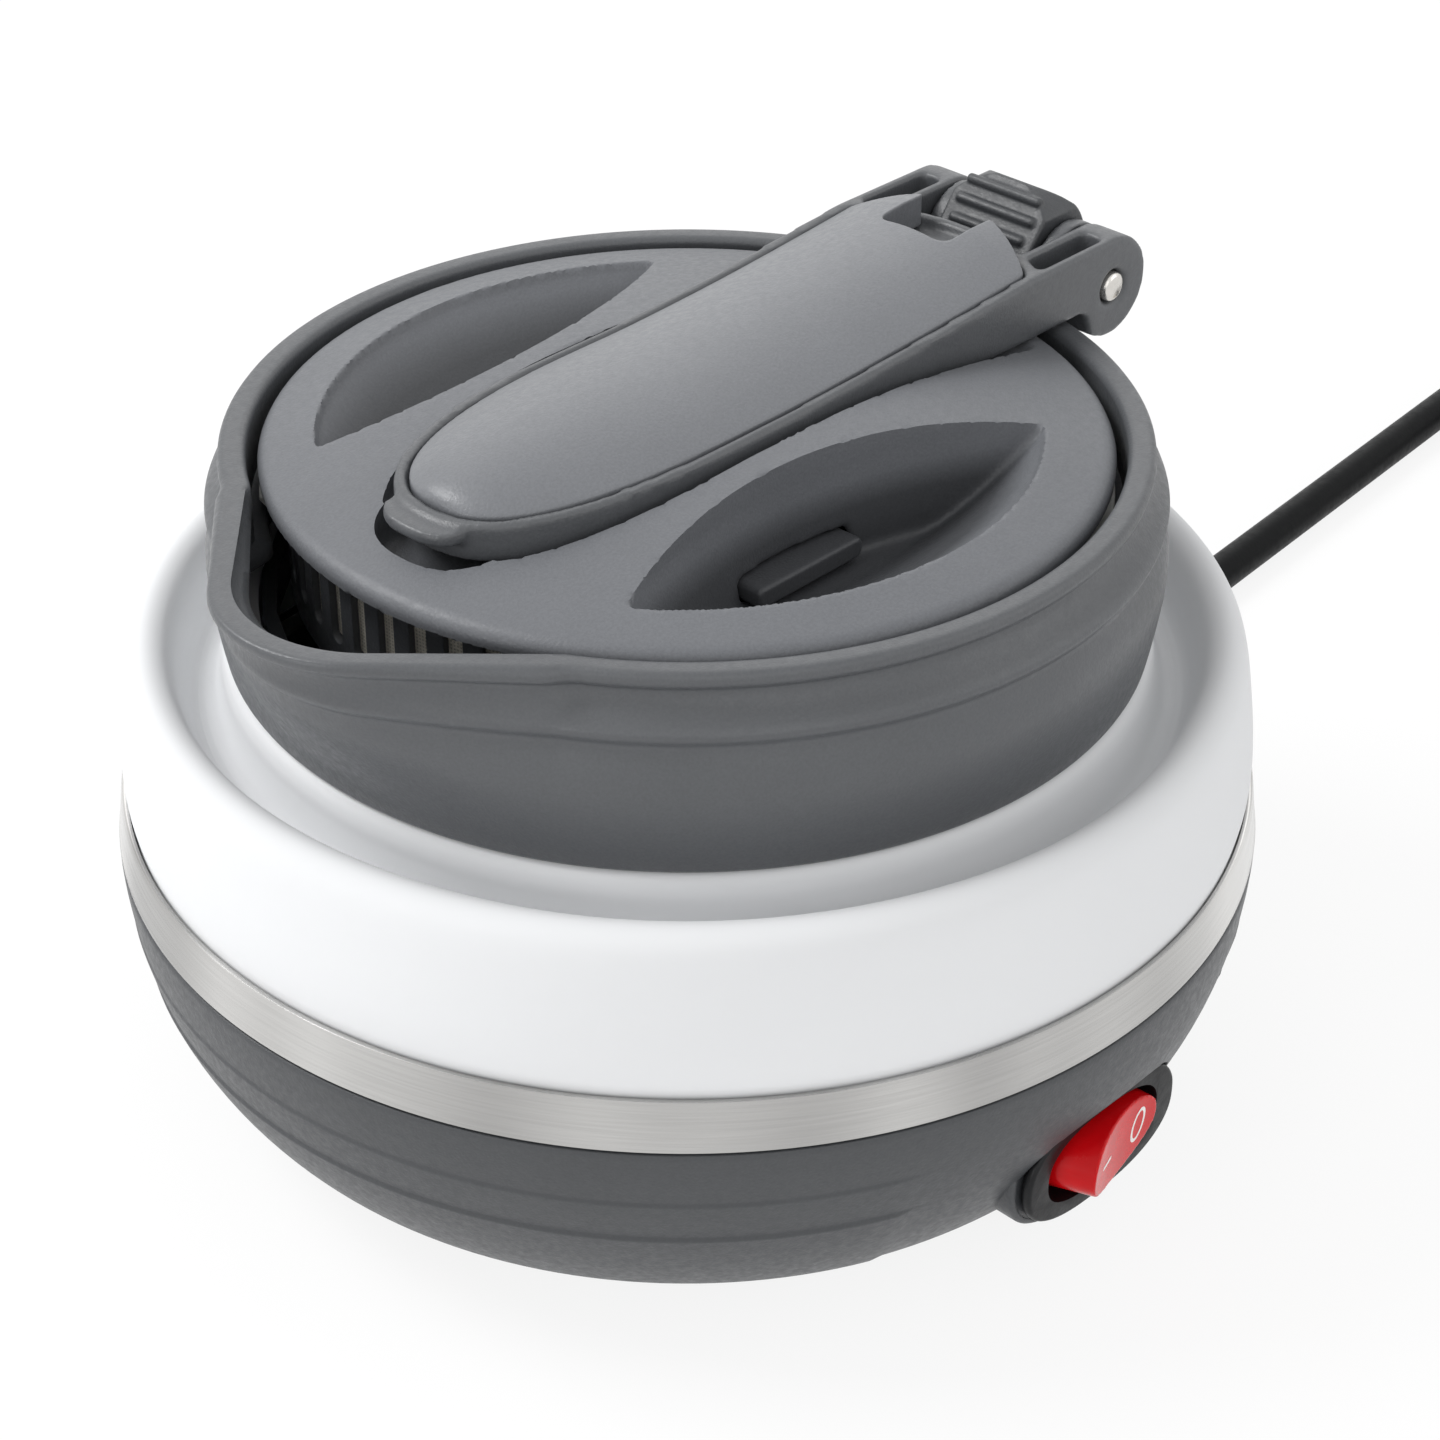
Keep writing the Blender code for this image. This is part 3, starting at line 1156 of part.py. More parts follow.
def lid_top():
    low = LID_EDGE_Z - LID_EDGE_DEPTH
    inner_edge = SKIRT_RADIUS - SKIRT_WALL
    lid = dome_solid("lid_top", 0.0, low, LID_RADIUS, LID_EDGE_ROUND)
    under = [(r, lid_height(r) - LID_WALL) for r in np.linspace(inner_edge, 0.0, LID_ARC_STEPS)]
    cut(lid, turned("under", [(0.0, low - CUT_OVERRUN), (inner_edge, low - CUT_OVERRUN)] + under))
    join(lid, lid_walls())
    gap = -TROUGH_GAP
    cut(lid, handle_strip("trough", gap, gap, LID_RADIUS + CUT_OVERRUN, lambda x: TROUGH_FLOOR_Z,
                          lambda x: LID_DOME_Z + CUT_OVERRUN, frame_half_width))
    cut(lid, prism("dip", dip_outline(), DIP_FLOOR_Z, LID_DOME_Z + CUT_OVERRUN))
    for side in (-1, 1):
        cut(lid, recess_solid(side))
        window = shifted(rounded_box_outline(
            BUTTON_LENGTH / 2 + SEAT_GAP, BUTTON_HEIGHT / 2 + SEAT_GAP, BUTTON_ROUND, 2),
            LATCH_CENTRE_X, BUTTON_CENTRE_Z)
        near, far = sorted((side * RECESS_INNER_Y / 2, side * (button_wall_y() + BUTTON_PROUD)))
        cut(lid, prism("button_window", window, near, far, "Y"))
    return dress(lid, "grey_plastic")


def lid_skirt():
    """The strainer ring under the lid, with slots towards the spout."""
    skirt = turned("lid_skirt", [
        (SKIRT_RADIUS - SKIRT_WALL, SKIRT_BOTTOM_Z), (SKIRT_RADIUS, SKIRT_BOTTOM_Z),
        (SKIRT_RADIUS, SKIRT_TOP_Z), (SKIRT_RADIUS - SKIRT_WALL, SKIRT_TOP_Z)], SHELL_STEPS)
    for i in range(STRAINER_SLOT_COUNT):
        angle = pi + (i - (STRAINER_SLOT_COUNT - 1) / 2) * STRAINER_SLOT_PITCH
        half = STRAINER_SLOT_WIDTH / 2
        slot = block("slot", (SKIRT_RADIUS - SKIRT_WALL * 2, -half, STRAINER_SLOT_LOW_Z),
                     (SKIRT_RADIUS + SKIRT_WALL, half, STRAINER_SLOT_HIGH_Z))
        slot.data.transform(Matrix.Rotation(angle, 4, "Z"))
        cut(skirt, slot)
    for side in (-1, 1):
        near, far = sorted((side * SKIRT_RADIUS / 2, side * (SKIRT_RADIUS + CUT_OVERRUN)))
        half = LATCH_WIDTH / 2 + SEAT_GAP
        cut(skirt, block("latch_window", (LATCH_CENTRE_X - half, near, LATCH_BOTTOM_Z - SEAT_GAP),
                         (LATCH_CENTRE_X + half, far, LATCH_TOP_Z + SEAT_GAP)))
    return dress(skirt, "dark_grey_plastic")


def lid_inner_cover():
    """Plate that closes the lid from below, with the post that both latch springs push on."""
    radius = SKIRT_RADIUS - SKIRT_WALL - SEAT_GAP
    top = INNER_COVER_TOP_Z
    cover = turned("lid_inner_cover", [
        (0.0, top - INNER_COVER_THICKNESS), (radius, top - INNER_COVER_THICKNESS),
        (radius, top), (0.0, top)])
    half = spring_start() - LATCH_SPRING_WIRE - SEAT_GAP
    join(cover, block("spring_post", (LATCH_CENTRE_X - SPRING_POST_HALF_WIDTH, -half, top - SEAT_GAP),
                      (LATCH_CENTRE_X + SPRING_POST_HALF_WIDTH, half, top + SPRING_POST_HEIGHT)))
    return dress(cover, "dark_grey_plastic")


def lid_seal():
    """Soft ring round the skirt, sitting on the collar's catch bead."""
    low = CATCH_BEAD_TOP_Z + SEAT_GAP
    inner = SKIRT_RADIUS + SEAT_GAP
    seal = turned("lid_seal", [
        (inner, low), (inner + SEAL_WIDTH, low),
        (inner + SEAL_WIDTH * 2, low + SEAL_HEIGHT), (inner, low + SEAL_HEIGHT)])
    return dress(seal, "clear_grey_silicone")


def button_wall_y():
    """Distance from the middle plane to the recess's inner wall at the button's height."""
    top = lid_height(RECESS_OUTER_Y)
    share = (top - BUTTON_CENTRE_Z) / (top - RECESS_DEPTH_Z)
    return RECESS_INNER_Y + (RECESS_FLOOR_INNER_Y - RECESS_INNER_Y) * share


def latch_button(name, side):
    """A button with its stem and the flat tongue that reaches under the collar's catch bead."""
    face = button_wall_y() + BUTTON_PROUD
    stem_face = button_wall_y() - RECESS_WALL * 2
    back = stem_face - LATCH_STEM_DEPTH
    half_height = BUTTON_HEIGHT / 2

    def span(near, far):
        return sorted((side * near, side * far))

    near, far = span(back, face)
    front, rear = LATCH_CENTRE_X - BUTTON_LENGTH / 2, LATCH_CENTRE_X + BUTTON_LENGTH / 2
    button = block(name, (front, near, BUTTON_CENTRE_Z - half_height),
                   (rear, far, BUTTON_CENTRE_Z + half_height), BUTTON_ROUND)
    front, rear = LATCH_CENTRE_X - LATCH_WIDTH / 2, LATCH_CENTRE_X + LATCH_WIDTH / 2
    near, far = span(back, stem_face)
    stem = block("stem", (front, near, LATCH_BOTTOM_Z), (rear, far, BUTTON_CENTRE_Z))
    near, far = span(back, LATCH_REACH)
    tongue = block("tongue", (front, near, LATCH_BOTTOM_Z), (rear, far, LATCH_TOP_Z))
    join(button, stem, tongue)
    return dress(button, "grey_plastic")


def spring_start():
    """Distance from the middle plane to the inner end of a latch spring."""
    return BUTTON_STROKE * 2


def latch_spring(name, side):
    """Compression spring behind a latch, drawn at the length it keeps when pressed."""
    z = INNER_COVER_TOP_Z + SEAT_GAP + LATCH_SPRING_WIRE + LATCH_SPRING_RADIUS
    stem_back = button_wall_y() - RECESS_WALL * 2 - LATCH_STEM_DEPTH
    length = stem_back - SEAT_GAP - LATCH_SPRING_WIRE - BUTTON_STROKE - spring_start()
    path = helix((LATCH_CENTRE_X, side * spring_start(), z), (0, side, 0), LATCH_SPRING_RADIUS,
                 LATCH_SPRING_TURNS, length)
    return dress(as_mesh(tube(name, path, LATCH_SPRING_WIRE, 0)), "spring_steel")


# Handle

def ear_outline():
    """Side view of a hinge ear: the lobe round the pin, drawn into the frame."""
    lobe = arc((PIN_X, PIN_Z), EAR_RADIUS, EAR_LOBE_START, EAR_LOBE_END, SMALL_STEPS)
    return lobe + [(lobe[-1][0] - SEAT_GAP, HANDLE_FLOOR_Z), (HANDLE_HOLLOW_REAR_X, HANDLE_FLOOR_Z),
                   (HANDLE_HOLLOW_REAR_X, rim_height(HANDLE_HOLLOW_REAR_X) - SEAT_GAP),
                   (HANDLE_REAR_X, rim_height(HANDLE_REAR_X))]


def lip_outline():
    """The small finger lip on the handle's nose, seen from above."""
    front = HANDLE_FRONT_X - LIP_REACH
    root = HANDLE_FRONT_X + LIP_ROOT_DEPTH
    edge = [(front + LIP_REACH * (1 - sin(a)), -LIP_HALF_WIDTH * cos(a))
            for a in np.linspace(0, pi, LIP_STEPS)]
    return [(root, -LIP_HALF_WIDTH)] + edge + [(root, LIP_HALF_WIDTH)]


def ear_pocket(side):
    """The open pocket in the top of an ear: deep in front, shallow over the pin."""
    near, far = EAR_INNER_Y + EAR_POCKET_WALL, EAR_OUTER_Y - EAR_POCKET_WALL
    top = PIN_Z + EAR_RADIUS + CUT_OVERRUN
    floors = ((EAR_POCKET_DEEP_X, PIN_Z - PIN_RADIUS),
              (EAR_POCKET_REAR_X, PIN_Z + PIN_BORE_RADIUS + EAR_POCKET_FLOOR))
    pocket = None
    for rear, floor in floors:
        outline = [(end_arc_x(near) + BASE_CHIN, side * near),
                   (end_arc_x(far) + BASE_CHIN, side * far), (rear, side * far), (rear, side * near)]
        step = prism("ear_pocket", outline, floor, top)
        pocket = step if pocket is None else join(pocket, step)
    return pocket


def handle_frame():
    end = HANDLE_END_X + CUT_OVERRUN
    above = PIN_Z + EAR_RADIUS + CUT_OVERRUN
    frame = handle_strip("handle_frame", 0.0, 0.0, end, lambda x: HANDLE_FLOOR_Z, rim_height,
                         frame_half_width)
    combine(frame, prism("end", end_outline(), HANDLE_FLOOR_Z - CUT_OVERRUN, above), "INTERSECT")
    for side in (-1, 1):
        near, far = sorted((side * EAR_INNER_Y, side * EAR_OUTER_Y))
        join(frame, prism("ear", ear_outline(), near, far, "Y"))
    join(frame, prism("lip", lip_outline(), LIP_Z, LIP_Z + LIP_THICKNESS))
    cut(frame, handle_strip("hollow", HANDLE_WALL, HANDLE_WALL, HANDLE_HOLLOW_REAR_X,
                            lambda x: HANDLE_FLOOR_Z + HANDLE_FLOOR, lambda x: above))
    seat = handle_strip("cover_seat", HANDLE_RIM, HANDLE_RIM, end,
                        lambda x: rim_height(x) - GRIP_COVER_DEPTH, lambda x: above, cover_half_width)
    seat_end = prism("seat_end", end_outline(GRIP_COVER_BORDER), HANDLE_FLOOR_Z, above + CUT_OVERRUN)
    cut(frame, combine(seat, seat_end, "INTERSECT"))
    for side in (-1, 1):
        cut(frame, ear_pocket(side))
    lever_room = LEVER_HALF_WIDTH + LEVER_SWING_GAP
    cut(frame, rod("lever_room", LEVER_TOP_RADIUS + LEVER_SWING_GAP, (PIN_X, -lever_room, PIN_Z),
                   (PIN_X, lever_room, PIN_Z), RING_STEPS))
    cut(frame, rod("pin_bore", PIN_BORE_RADIUS, (PIN_X, -EAR_OUTER_Y - CUT_OVERRUN, PIN_Z),
                   (PIN_X, EAR_OUTER_Y + CUT_OVERRUN, PIN_Z)))
    move_origin(frame, (PIN_X, 0, PIN_Z))
    return dress(frame, "dark_grey_plastic")


def handle_cover():
    """Crowned cover let into the frame, with a notch in front of the lock lever."""
    inset = HANDLE_RIM + SEAT_GAP
    end = HANDLE_END_X + CUT_OVERRUN
    widest = HANDLE_HALF_WIDTH - inset
    shares = np.linspace(-1, 1, GRIP_COVER_ACROSS + 1)
    bm = bmesh.new()
    rows = []
    for x in handle_stations(HANDLE_FRONT_X + inset, end):
        half = cover_half_width(x, inset)
        low = rim_height(x) - GRIP_COVER_DEPTH + SEAT_GAP
        crown = GRIP_COVER_CROWN * min(half / widest, 1.0)
        top = [bm.verts.new((x, half * s, rim_height(x) + crown * (1 - s * s))) for s in shares]
        rows.append(top + [bm.verts.new((x, half, low)), bm.verts.new((x, -half, low))])
    count = len(rows[0])
    for a, b in zip(rows, rows[1:]):
        for i in range(count):
            j = (i + 1) % count
            bm.faces.new((a[i], a[j], b[j], b[i]))
    bm.faces.new(rows[0])
    bm.faces.new(rows[-1])
    cover = new_object("handle_cover", bm)
    low, high = HANDLE_FLOOR_Z, PIN_Z + LEVER_CROWN_RADIUS
    rear = prism("rear", end_outline(GRIP_COVER_BORDER + SEAT_GAP), low, high)
    combine(cover, rear, "INTERSECT")
    cut(cover, block("notch", (GRIP_COVER_NOTCH_X, -GRIP_COVER_NOTCH_HALF_WIDTH, low),
                     (end, GRIP_COVER_NOTCH_HALF_WIDTH, high)))
    return dress(cover, "grey_plastic")


def hinge_pin():
    end = EAR_OUTER_Y + PIN_HEAD_PROUD
    pin = rod("hinge_pin", PIN_RADIUS, (PIN_X, -end, PIN_Z), (PIN_X, end, PIN_Z))
    return dress(pin, "steel")


# Hinge bracket and lock lever

def hinge_bracket():
    """Block on the collar's back with two cheeks that hold the pin between the handle's ears."""
    front = COLLAR_RIM_RADIUS - COLLAR_WALL
    body = block("hinge_bracket", (front, -BRACKET_EAR_OUTER_Y, BRACKET_BLOCK_BOTTOM_Z),
                 (BRACKET_BLOCK_REAR_X, BRACKET_EAR_OUTER_Y, BRACKET_BLOCK_TOP_Z), COLLAR_GROOVE)
    flange = block("flange", (front - COLLAR_WALL, -BRACKET_FLANGE_HALF_WIDTH, BRACKET_BLOCK_BOTTOM_Z),
                   (BRACKET_FLANGE_REAR_X, BRACKET_FLANGE_HALF_WIDTH, BRACKET_FLANGE_TOP_Z),
                   COLLAR_GROOVE)
    join(body, flange)
    knuckle = arc((PIN_X, PIN_Z), BRACKET_EAR_RADIUS, pi, BRACKET_EAR_BACK_ANGLE, SMALL_STEPS)
    cheek_outline = knuckle + [(BRACKET_BLOCK_REAR_X - COLLAR_GROOVE, BRACKET_EAR_FOOT_Z),
                               (COLLAR_RIM_RADIUS, BRACKET_EAR_FOOT_Z)]
    for side in (-1, 1):
        near, far = sorted((side * BRACKET_EAR_INNER_Y, side * BRACKET_EAR_OUTER_Y))
        join(body, prism("cheek", cheek_outline, near, far, "Y"))
    collar_room = [(radius + SEAT_GAP, height) for radius, height in collar_profile_outer()]
    room_top = COLLAR_TOP_Z + SEAT_GAP
    room = turned("room", [(0.0, COLLAR_BOTTOM_Z)] + collar_room + [
        (collar_room[-1][0], room_top), (0.0, room_top)], COLLAR_STEPS)
    cut(body, room)
    cut(body, rod("lever_room", LEVER_HUB_RADIUS + LEVER_SWING_GAP * 2,
                  (PIN_X, -BRACKET_EAR_INNER_Y, PIN_Z), (PIN_X, BRACKET_EAR_INNER_Y, PIN_Z)))
    cut(body, rod("pin_bore", PIN_BORE_RADIUS, (PIN_X, -BRACKET_EAR_OUTER_Y - CUT_OVERRUN, PIN_Z),
                  (PIN_X, BRACKET_EAR_OUTER_Y + CUT_OVERRUN, PIN_Z)))
    return dress(body, "dark_grey_plastic")


def around_pin(radius, angle):
    """A point in side view at an angle round the hinge pin."""
    return (PIN_X + radius * cos(angle), PIN_Z + radius * sin(angle))


def lock_lever():
    """Thumb lever on the pin: a ribbed pad facing the grip and a crowned back."""
    pad_low = around_pin(LEVER_PAD_LOW_RADIUS, LEVER_PAD_LOW_ANGLE)
    pad_top = around_pin(LEVER_TOP_RADIUS, LEVER_PAD_TOP_ANGLE)
    back = []
    for share in np.linspace(0, 1, LEVER_ARC_STEPS)[1:]:
        radius = LEVER_TOP_RADIUS + (LEVER_BACK_RADIUS - LEVER_TOP_RADIUS) * share ** LEVER_BACK_POWER
        angle = LEVER_PAD_TOP_ANGLE + (LEVER_BACK_ANGLE - LEVER_PAD_TOP_ANGLE) * share
        back.append(around_pin(radius, angle))
    saddle = arc((PIN_X, PIN_Z), LEVER_HUB_RADIUS, LEVER_BACK_ANGLE, LEVER_PAD_LOW_ANGLE,
                 LEVER_ARC_STEPS)
    head = prism("lock_lever", [pad_low, pad_top] + back + saddle, -LEVER_HALF_WIDTH,
                 LEVER_HALF_WIDTH, "Y")
    crown_z = PIN_Z + LEVER_TOP_RADIUS - LEVER_CROWN_RADIUS
    combine(head, rod("crown", LEVER_CROWN_RADIUS, (PIN_X - LEVER_CROWN_RADIUS, 0, crown_z),
                      (PIN_X + LEVER_CROWN_RADIUS, 0, crown_z), RING_STEPS), "INTERSECT")
    join(head, rod("hub", LEVER_HUB_RADIUS + BASE_CHIN, (PIN_X, -LEVER_HUB_HALF_WIDTH, PIN_Z),
                   (PIN_X, LEVER_HUB_HALF_WIDTH, PIN_Z)))
    low, top = Vector((pad_low[0], 0, pad_low[1])), Vector((pad_top[0], 0, pad_top[1]))
    up_pad = (top - low).normalized()
    middle = (low + top) / 2
    end = Vector((0, LEVER_RIB_HALF_LENGTH, 0))
    for i in range(LEVER_RIB_COUNT):
        place = middle + up_pad * ((i - (LEVER_RIB_COUNT - 1) / 2) * LEVER_RIB_PITCH)
        join(head, rod("rib", LEVER_RIB_RADIUS, place - end, place + end, LEVER_RIB_STEPS))
    cut(head, rod("pin_bore", PIN_BORE_RADIUS, (PIN_X, -LEVER_HALF_WIDTH, PIN_Z),
                  (PIN_X, LEVER_HALF_WIDTH, PIN_Z)))
    move_origin(head, (PIN_X, 0, PIN_Z))
    return dress(head, "dark_grey_plastic")


def lock_spring():
    """Torsion spring round the pin, between the lever's hub and a cheek."""
    start = LEVER_HUB_HALF_WIDTH + SEAT_GAP + LOCK_SPRING_WIRE
    length = BRACKET_EAR_INNER_Y - SEAT_GAP - LOCK_SPRING_WIRE - start
    path = helix((PIN_X, start, PIN_Z), (0, 1, 0), PIN_RADIUS + SEAT_GAP * 2 + LOCK_SPRING_WIRE,
                 LOCK_SPRING_TURNS, length)
    return dress(as_mesh(tube("lock_spring", path, LOCK_SPRING_WIRE, 0)), "spring_steel")


# Switch

def switch_housing():
    """Black oval bezel with the hollow box behind it, and three blades at the back."""
    housing = prism("switch_housing", switch_outline(), FACE_OUTER_Y, SWITCH_FACE_Y - SEAT_GAP, "Y")
    rear = SWITCH_FACE_Y + HOUSING_DEPTH
    join(housing, prism("box", box_outline(HOUSING_WALL), SWITCH_FACE_Y - SEAT_GAP * 2, rear, "Y"))
    cut(housing, prism("window", box_outline(), FACE_OUTER_Y - CUT_OVERRUN, rear - HOUSING_WALL, "Y"))
    reach = WINDOW_HALF_HEIGHT + HOUSING_WALL / 2
    cut(housing, rod("trunnion_bore", ROCKER_TRUNNION_RADIUS + SEAT_GAP, (0, PIVOT_Y, SWITCH_Z - reach),
                     (0, PIVOT_Y, SWITCH_Z + reach), TINY_STEPS))
    for i in range(BLADE_COUNT):
        x = (i - (BLADE_COUNT - 1) / 2) * BLADE_PITCH
        join(housing, block("blade", (x - BLADE_THICKNESS / 2, rear - HOUSING_WALL / 2,
                                      SWITCH_Z - BLADE_WIDTH / 2),
                            (x + BLADE_THICKNESS / 2, rear + BLADE_LENGTH, SWITCH_Z + BLADE_WIDTH / 2)))
    return dress(housing, "black_plastic")


def switch_rocker():
    """Red rocker, tipped so that the end marked O is pressed in."""
    radius, face = ROCKER_RADIUS, ROCKER_FACE_HEIGHT
    lean = (face - ROCKER_TRUNNION_RADIUS) * tan(ROCKER_END_LEAN)
    right = [(radius, ROCKER_TRUNNION_RADIUS), (radius - lean + ROCKER_EDGE / 2, face - ROCKER_EDGE),
             (radius - lean - ROCKER_EDGE, face)]
    left = [(-x, y) for x, y in reversed(right)]
    outline = right + [(0.0, face - ROCKER_HOLLOW)] + left
    outline += [(-radius, 0.0), (-radius / 2, -ROCKER_BODY_DEPTH), (radius / 2, -ROCKER_BODY_DEPTH),
                (radius, 0.0)]
    rocker = prism("switch_rocker", [(x, -y) for x, y in outline], -ROCKER_HALF_HEIGHT,
                   ROCKER_HALF_HEIGHT)
    rounding = rounded_box_outline(radius, ROCKER_HALF_HEIGHT, ROCKER_CORNER)
    combine(rocker, prism("rounding", rounding, -radius, radius, "Y"), "INTERSECT")
    reach = WINDOW_HALF_HEIGHT + HOUSING_WALL / 2 - SEAT_GAP
    join(rocker, rod("trunnion", ROCKER_TRUNNION_RADIUS, (0, 0, -reach), (0, 0, reach), TINY_STEPS))
    rocker.data.transform(Matrix.Rotation(ROCKER_TILT, 4, "Z"))
    rocker.location = (0, PIVOT_Y, SWITCH_Z)
    return dress(rocker, "red_plastic")


# Cord

def strain_relief():
    """Ribbed sleeve through the bowl's wall, with a collar outside and a taper behind it."""
    flange_rear = RELIEF_BOSS_REAR_X + SEAT_GAP
    start = flange_rear + RELIEF_FLANGE_WIDTH
    profile = [(0.0, RELIEF_START_X), (RELIEF_BASE_RADIUS, RELIEF_START_X),
               (RELIEF_BASE_RADIUS, flange_rear), (RELIEF_FLANGE_RADIUS, flange_rear),
               (RELIEF_FLANGE_RADIUS, start)]
    pitch = (CORD_EXIT_X - start) / RELIEF_RIB_COUNT
    groove = pitch * (1 - RELIEF_RIB_SHARE)
    for i in range(RELIEF_RIB_COUNT):
        share = i / (RELIEF_RIB_COUNT - 1)
        radius = RELIEF_BASE_RADIUS + (RELIEF_TIP_RADIUS - RELIEF_BASE_RADIUS) * share
        x = start + i * pitch
        profile += [(radius - RELIEF_RIB_DEPTH, x), (radius - RELIEF_RIB_DEPTH, x + groove),
                    (radius, x + groove), (radius, x + pitch)]
    profile.append((0.0, CORD_EXIT_X))
    relief = turned("strain_relief", profile, TINY_STEPS)
    lift = Matrix.Translation((0, 0, CORD_EXIT_Z))
    relief.data.transform(Matrix.Rotation(CORD_ANGLE, 4, "Z") @ lift @ Matrix.Rotation(pi / 2, 4, "Y"))
    return dress(relief, "black_rubber")


def coil_point(share):
    """Middle of the cord at a share of the coil: in on the floor, up, and out on top."""
    run = share * (COIL_TURNS_IN + COIL_TURNS_OUT)
    angle = COIL_START_ANGLE - 2 * pi * run
    radius = COIL_OUTER_RADIUS - COIL_PITCH * (COIL_TURNS_IN - abs(run - COIL_TURNS_IN))
    climb_start = COIL_TURNS_IN - COIL_CLIMB_TURNS / 2
    climb = min(max((run - climb_start) / COIL_CLIMB_TURNS, 0.0), 1.0)
    z = CORD_RADIUS + CORD_LIFT + COIL_LAYER * climb
    return Vector((COIL_CENTRE[0] + radius * cos(angle), COIL_CENTRE[1] + radius * sin(angle), z))


def coil_points():
    count = int(ceil((COIL_TURNS_IN + COIL_TURNS_OUT) * COIL_STEPS))
    return [coil_point(i / count) for i in range(count + 1)]


def smooth_route(knots, spacing):
    """Even points on a smooth curve through the knots, nowhere under the surface."""
    ends = [2 * knots[0] - knots[1]] + knots + [2 * knots[-1] - knots[-2]]
    fine = []
    for p0, p1, p2, p3 in zip(ends, ends[1:], ends[2:], ends[3:]):
        for t in np.linspace(0, 1, ROUTE_STEPS, endpoint=False):
            fine.append((2 * p1 + (p2 - p0) * t + (2 * p0 - 5 * p1 + 4 * p2 - p3) * t * t
                         + (3 * p1 - p0 - 3 * p2 + p3) * t ** 3) / 2)
    fine.append(knots[-1])
    steps = [(b - a).length for a, b in zip(fine, fine[1:])]
    run = np.concatenate([[0.0], np.cumsum(steps)])
    count = max(int(round(run[-1] / spacing)), 2)
    wanted = np.linspace(0, run[-1], count + 1)
    x, y, z = (np.interp(wanted, run, [point[k] for point in fine]) for k in range(3))
    return [Vector(place) for place in zip(x, y, np.maximum(z, CORD_RADIUS + CORD_LIFT))]


def with_leads(start, start_heading, knots, end, end_heading):
    """A smooth route whose first and last steps are straight and square to what they meet."""
    lead = CORD_RADIUS * 2
    first = start + start_heading * lead
    last = end - end_heading * lead
    points = smooth_route([first, first + start_heading * lead] + knots
                          + [last - end_heading * lead, last], CORD_RADIUS * CORD_SPACING_SHARE)
    return [start] + points + [end]


def cord_run():
    """The free run from the strain relief to the start of the coil."""
    floor = CORD_RADIUS + CORD_LIFT
    heading = Vector((cos(CORD_ANGLE), sin(CORD_ANGLE), 0))
    start = heading * (CORD_EXIT_X + SEAT_GAP) + Vector((0, 0, CORD_EXIT_Z))
    first, second = coil_points()[:2]
    into = (second - first).normalized()
    end = first - into * SEAT_GAP
    knots = []
    for share in RUN_SHARES:
        place = start.lerp(end, share)
        place.z = floor
        knots.append(place)
    return with_leads(start, heading, knots, end, into)


def power_cord():
    points = cord_run()
    return tube("power_cord", points, CORD_RADIUS, 2), points


def cord_coil():
    points = coil_points()
    gap = min((a - b).length for i, a in enumerate(points)
              for j, b in enumerate(points) if abs(i - j) > COIL_STEPS // 2) - 2 * CORD_RADIUS
    print("cord coil: least gap to itself %.2f mm" % (gap * 1000))
    return tube("cord_coil", points, CORD_RADIUS, 1), points


def plug_end():
    """Place and heading of the plug's cord end."""
    heading = Vector((cos(PLUG_HEADING), sin(PLUG_HEADING), 0))
    return Vector((PLUG_X, PLUG_Y, PLUG_FACE_RADIUS)), heading


def cord_tail():
    """From the top of the coil down to the floor and up again into the plug."""
    points = coil_points()
    out = (points[-1] - points[-2]).normalized()
    start = points[-1] + out * SEAT_GAP
    place, heading = plug_end()
    end = place - heading * SEAT_GAP
    knots = []
    for share, height in zip(TAIL_SHARES, TAIL_HEIGHTS):
        knot = start.lerp(end, share)
        knot.z = CORD_RADIUS + CORD_LIFT + height
        knots.append(knot)
    route = with_leads(start, out, knots, end, heading)
    return tube("cord_tail", route, CORD_RADIUS, 2), route


def plug():
    """Generic moulded plug, lying on its side."""
    body = turned("plug_body", [
        (0.0, 0.0), (PLUG_NECK_RADIUS, 0.0), (PLUG_NECK_RADIUS, PLUG_NECK_LENGTH),
        (PLUG_BODY_RADIUS, PLUG_NECK_LENGTH + PLUG_SHOULDER_LENGTH),
        (PLUG_BODY_RADIUS, PLUG_FLARE_START), (PLUG_FACE_RADIUS, PLUG_FLARE_END),
        (PLUG_FACE_RADIUS, PLUG_LENGTH), (0.0, PLUG_LENGTH)], SMALL_STEPS)
    place, heading = plug_end()
    turn = Matrix.Translation(place) @ heading.to_track_quat("Z", "Y").to_matrix().to_4x4()
    body.data.transform(turn)
    pins = []
    side = heading.cross(Vector((0, 0, 1)))
    for number, sign in enumerate((-1, 1), start=1):
        start = place + heading * (PLUG_LENGTH + SEAT_GAP) + side * (sign * PLUG_PIN_PITCH / 2)
        pin = rod("plug_pin_%d" % number, PLUG_PIN_RADIUS, start,
                  start + heading * PLUG_PIN_LENGTH, TINY_STEPS)
        pins.append(dress(pin, "brass"))
    return [dress(body, "black_rubber")] + pins


def report_cord(parts):
    total = sum((b - a).length for points in parts for a, b in zip(points, points[1:]))
    print("cord length %.3f m" % total)


def dress_curve(item, material):
    own = finish(material).copy()
    own.name = item.name + "_" + material
    item.data.materials.append(own)
    return item


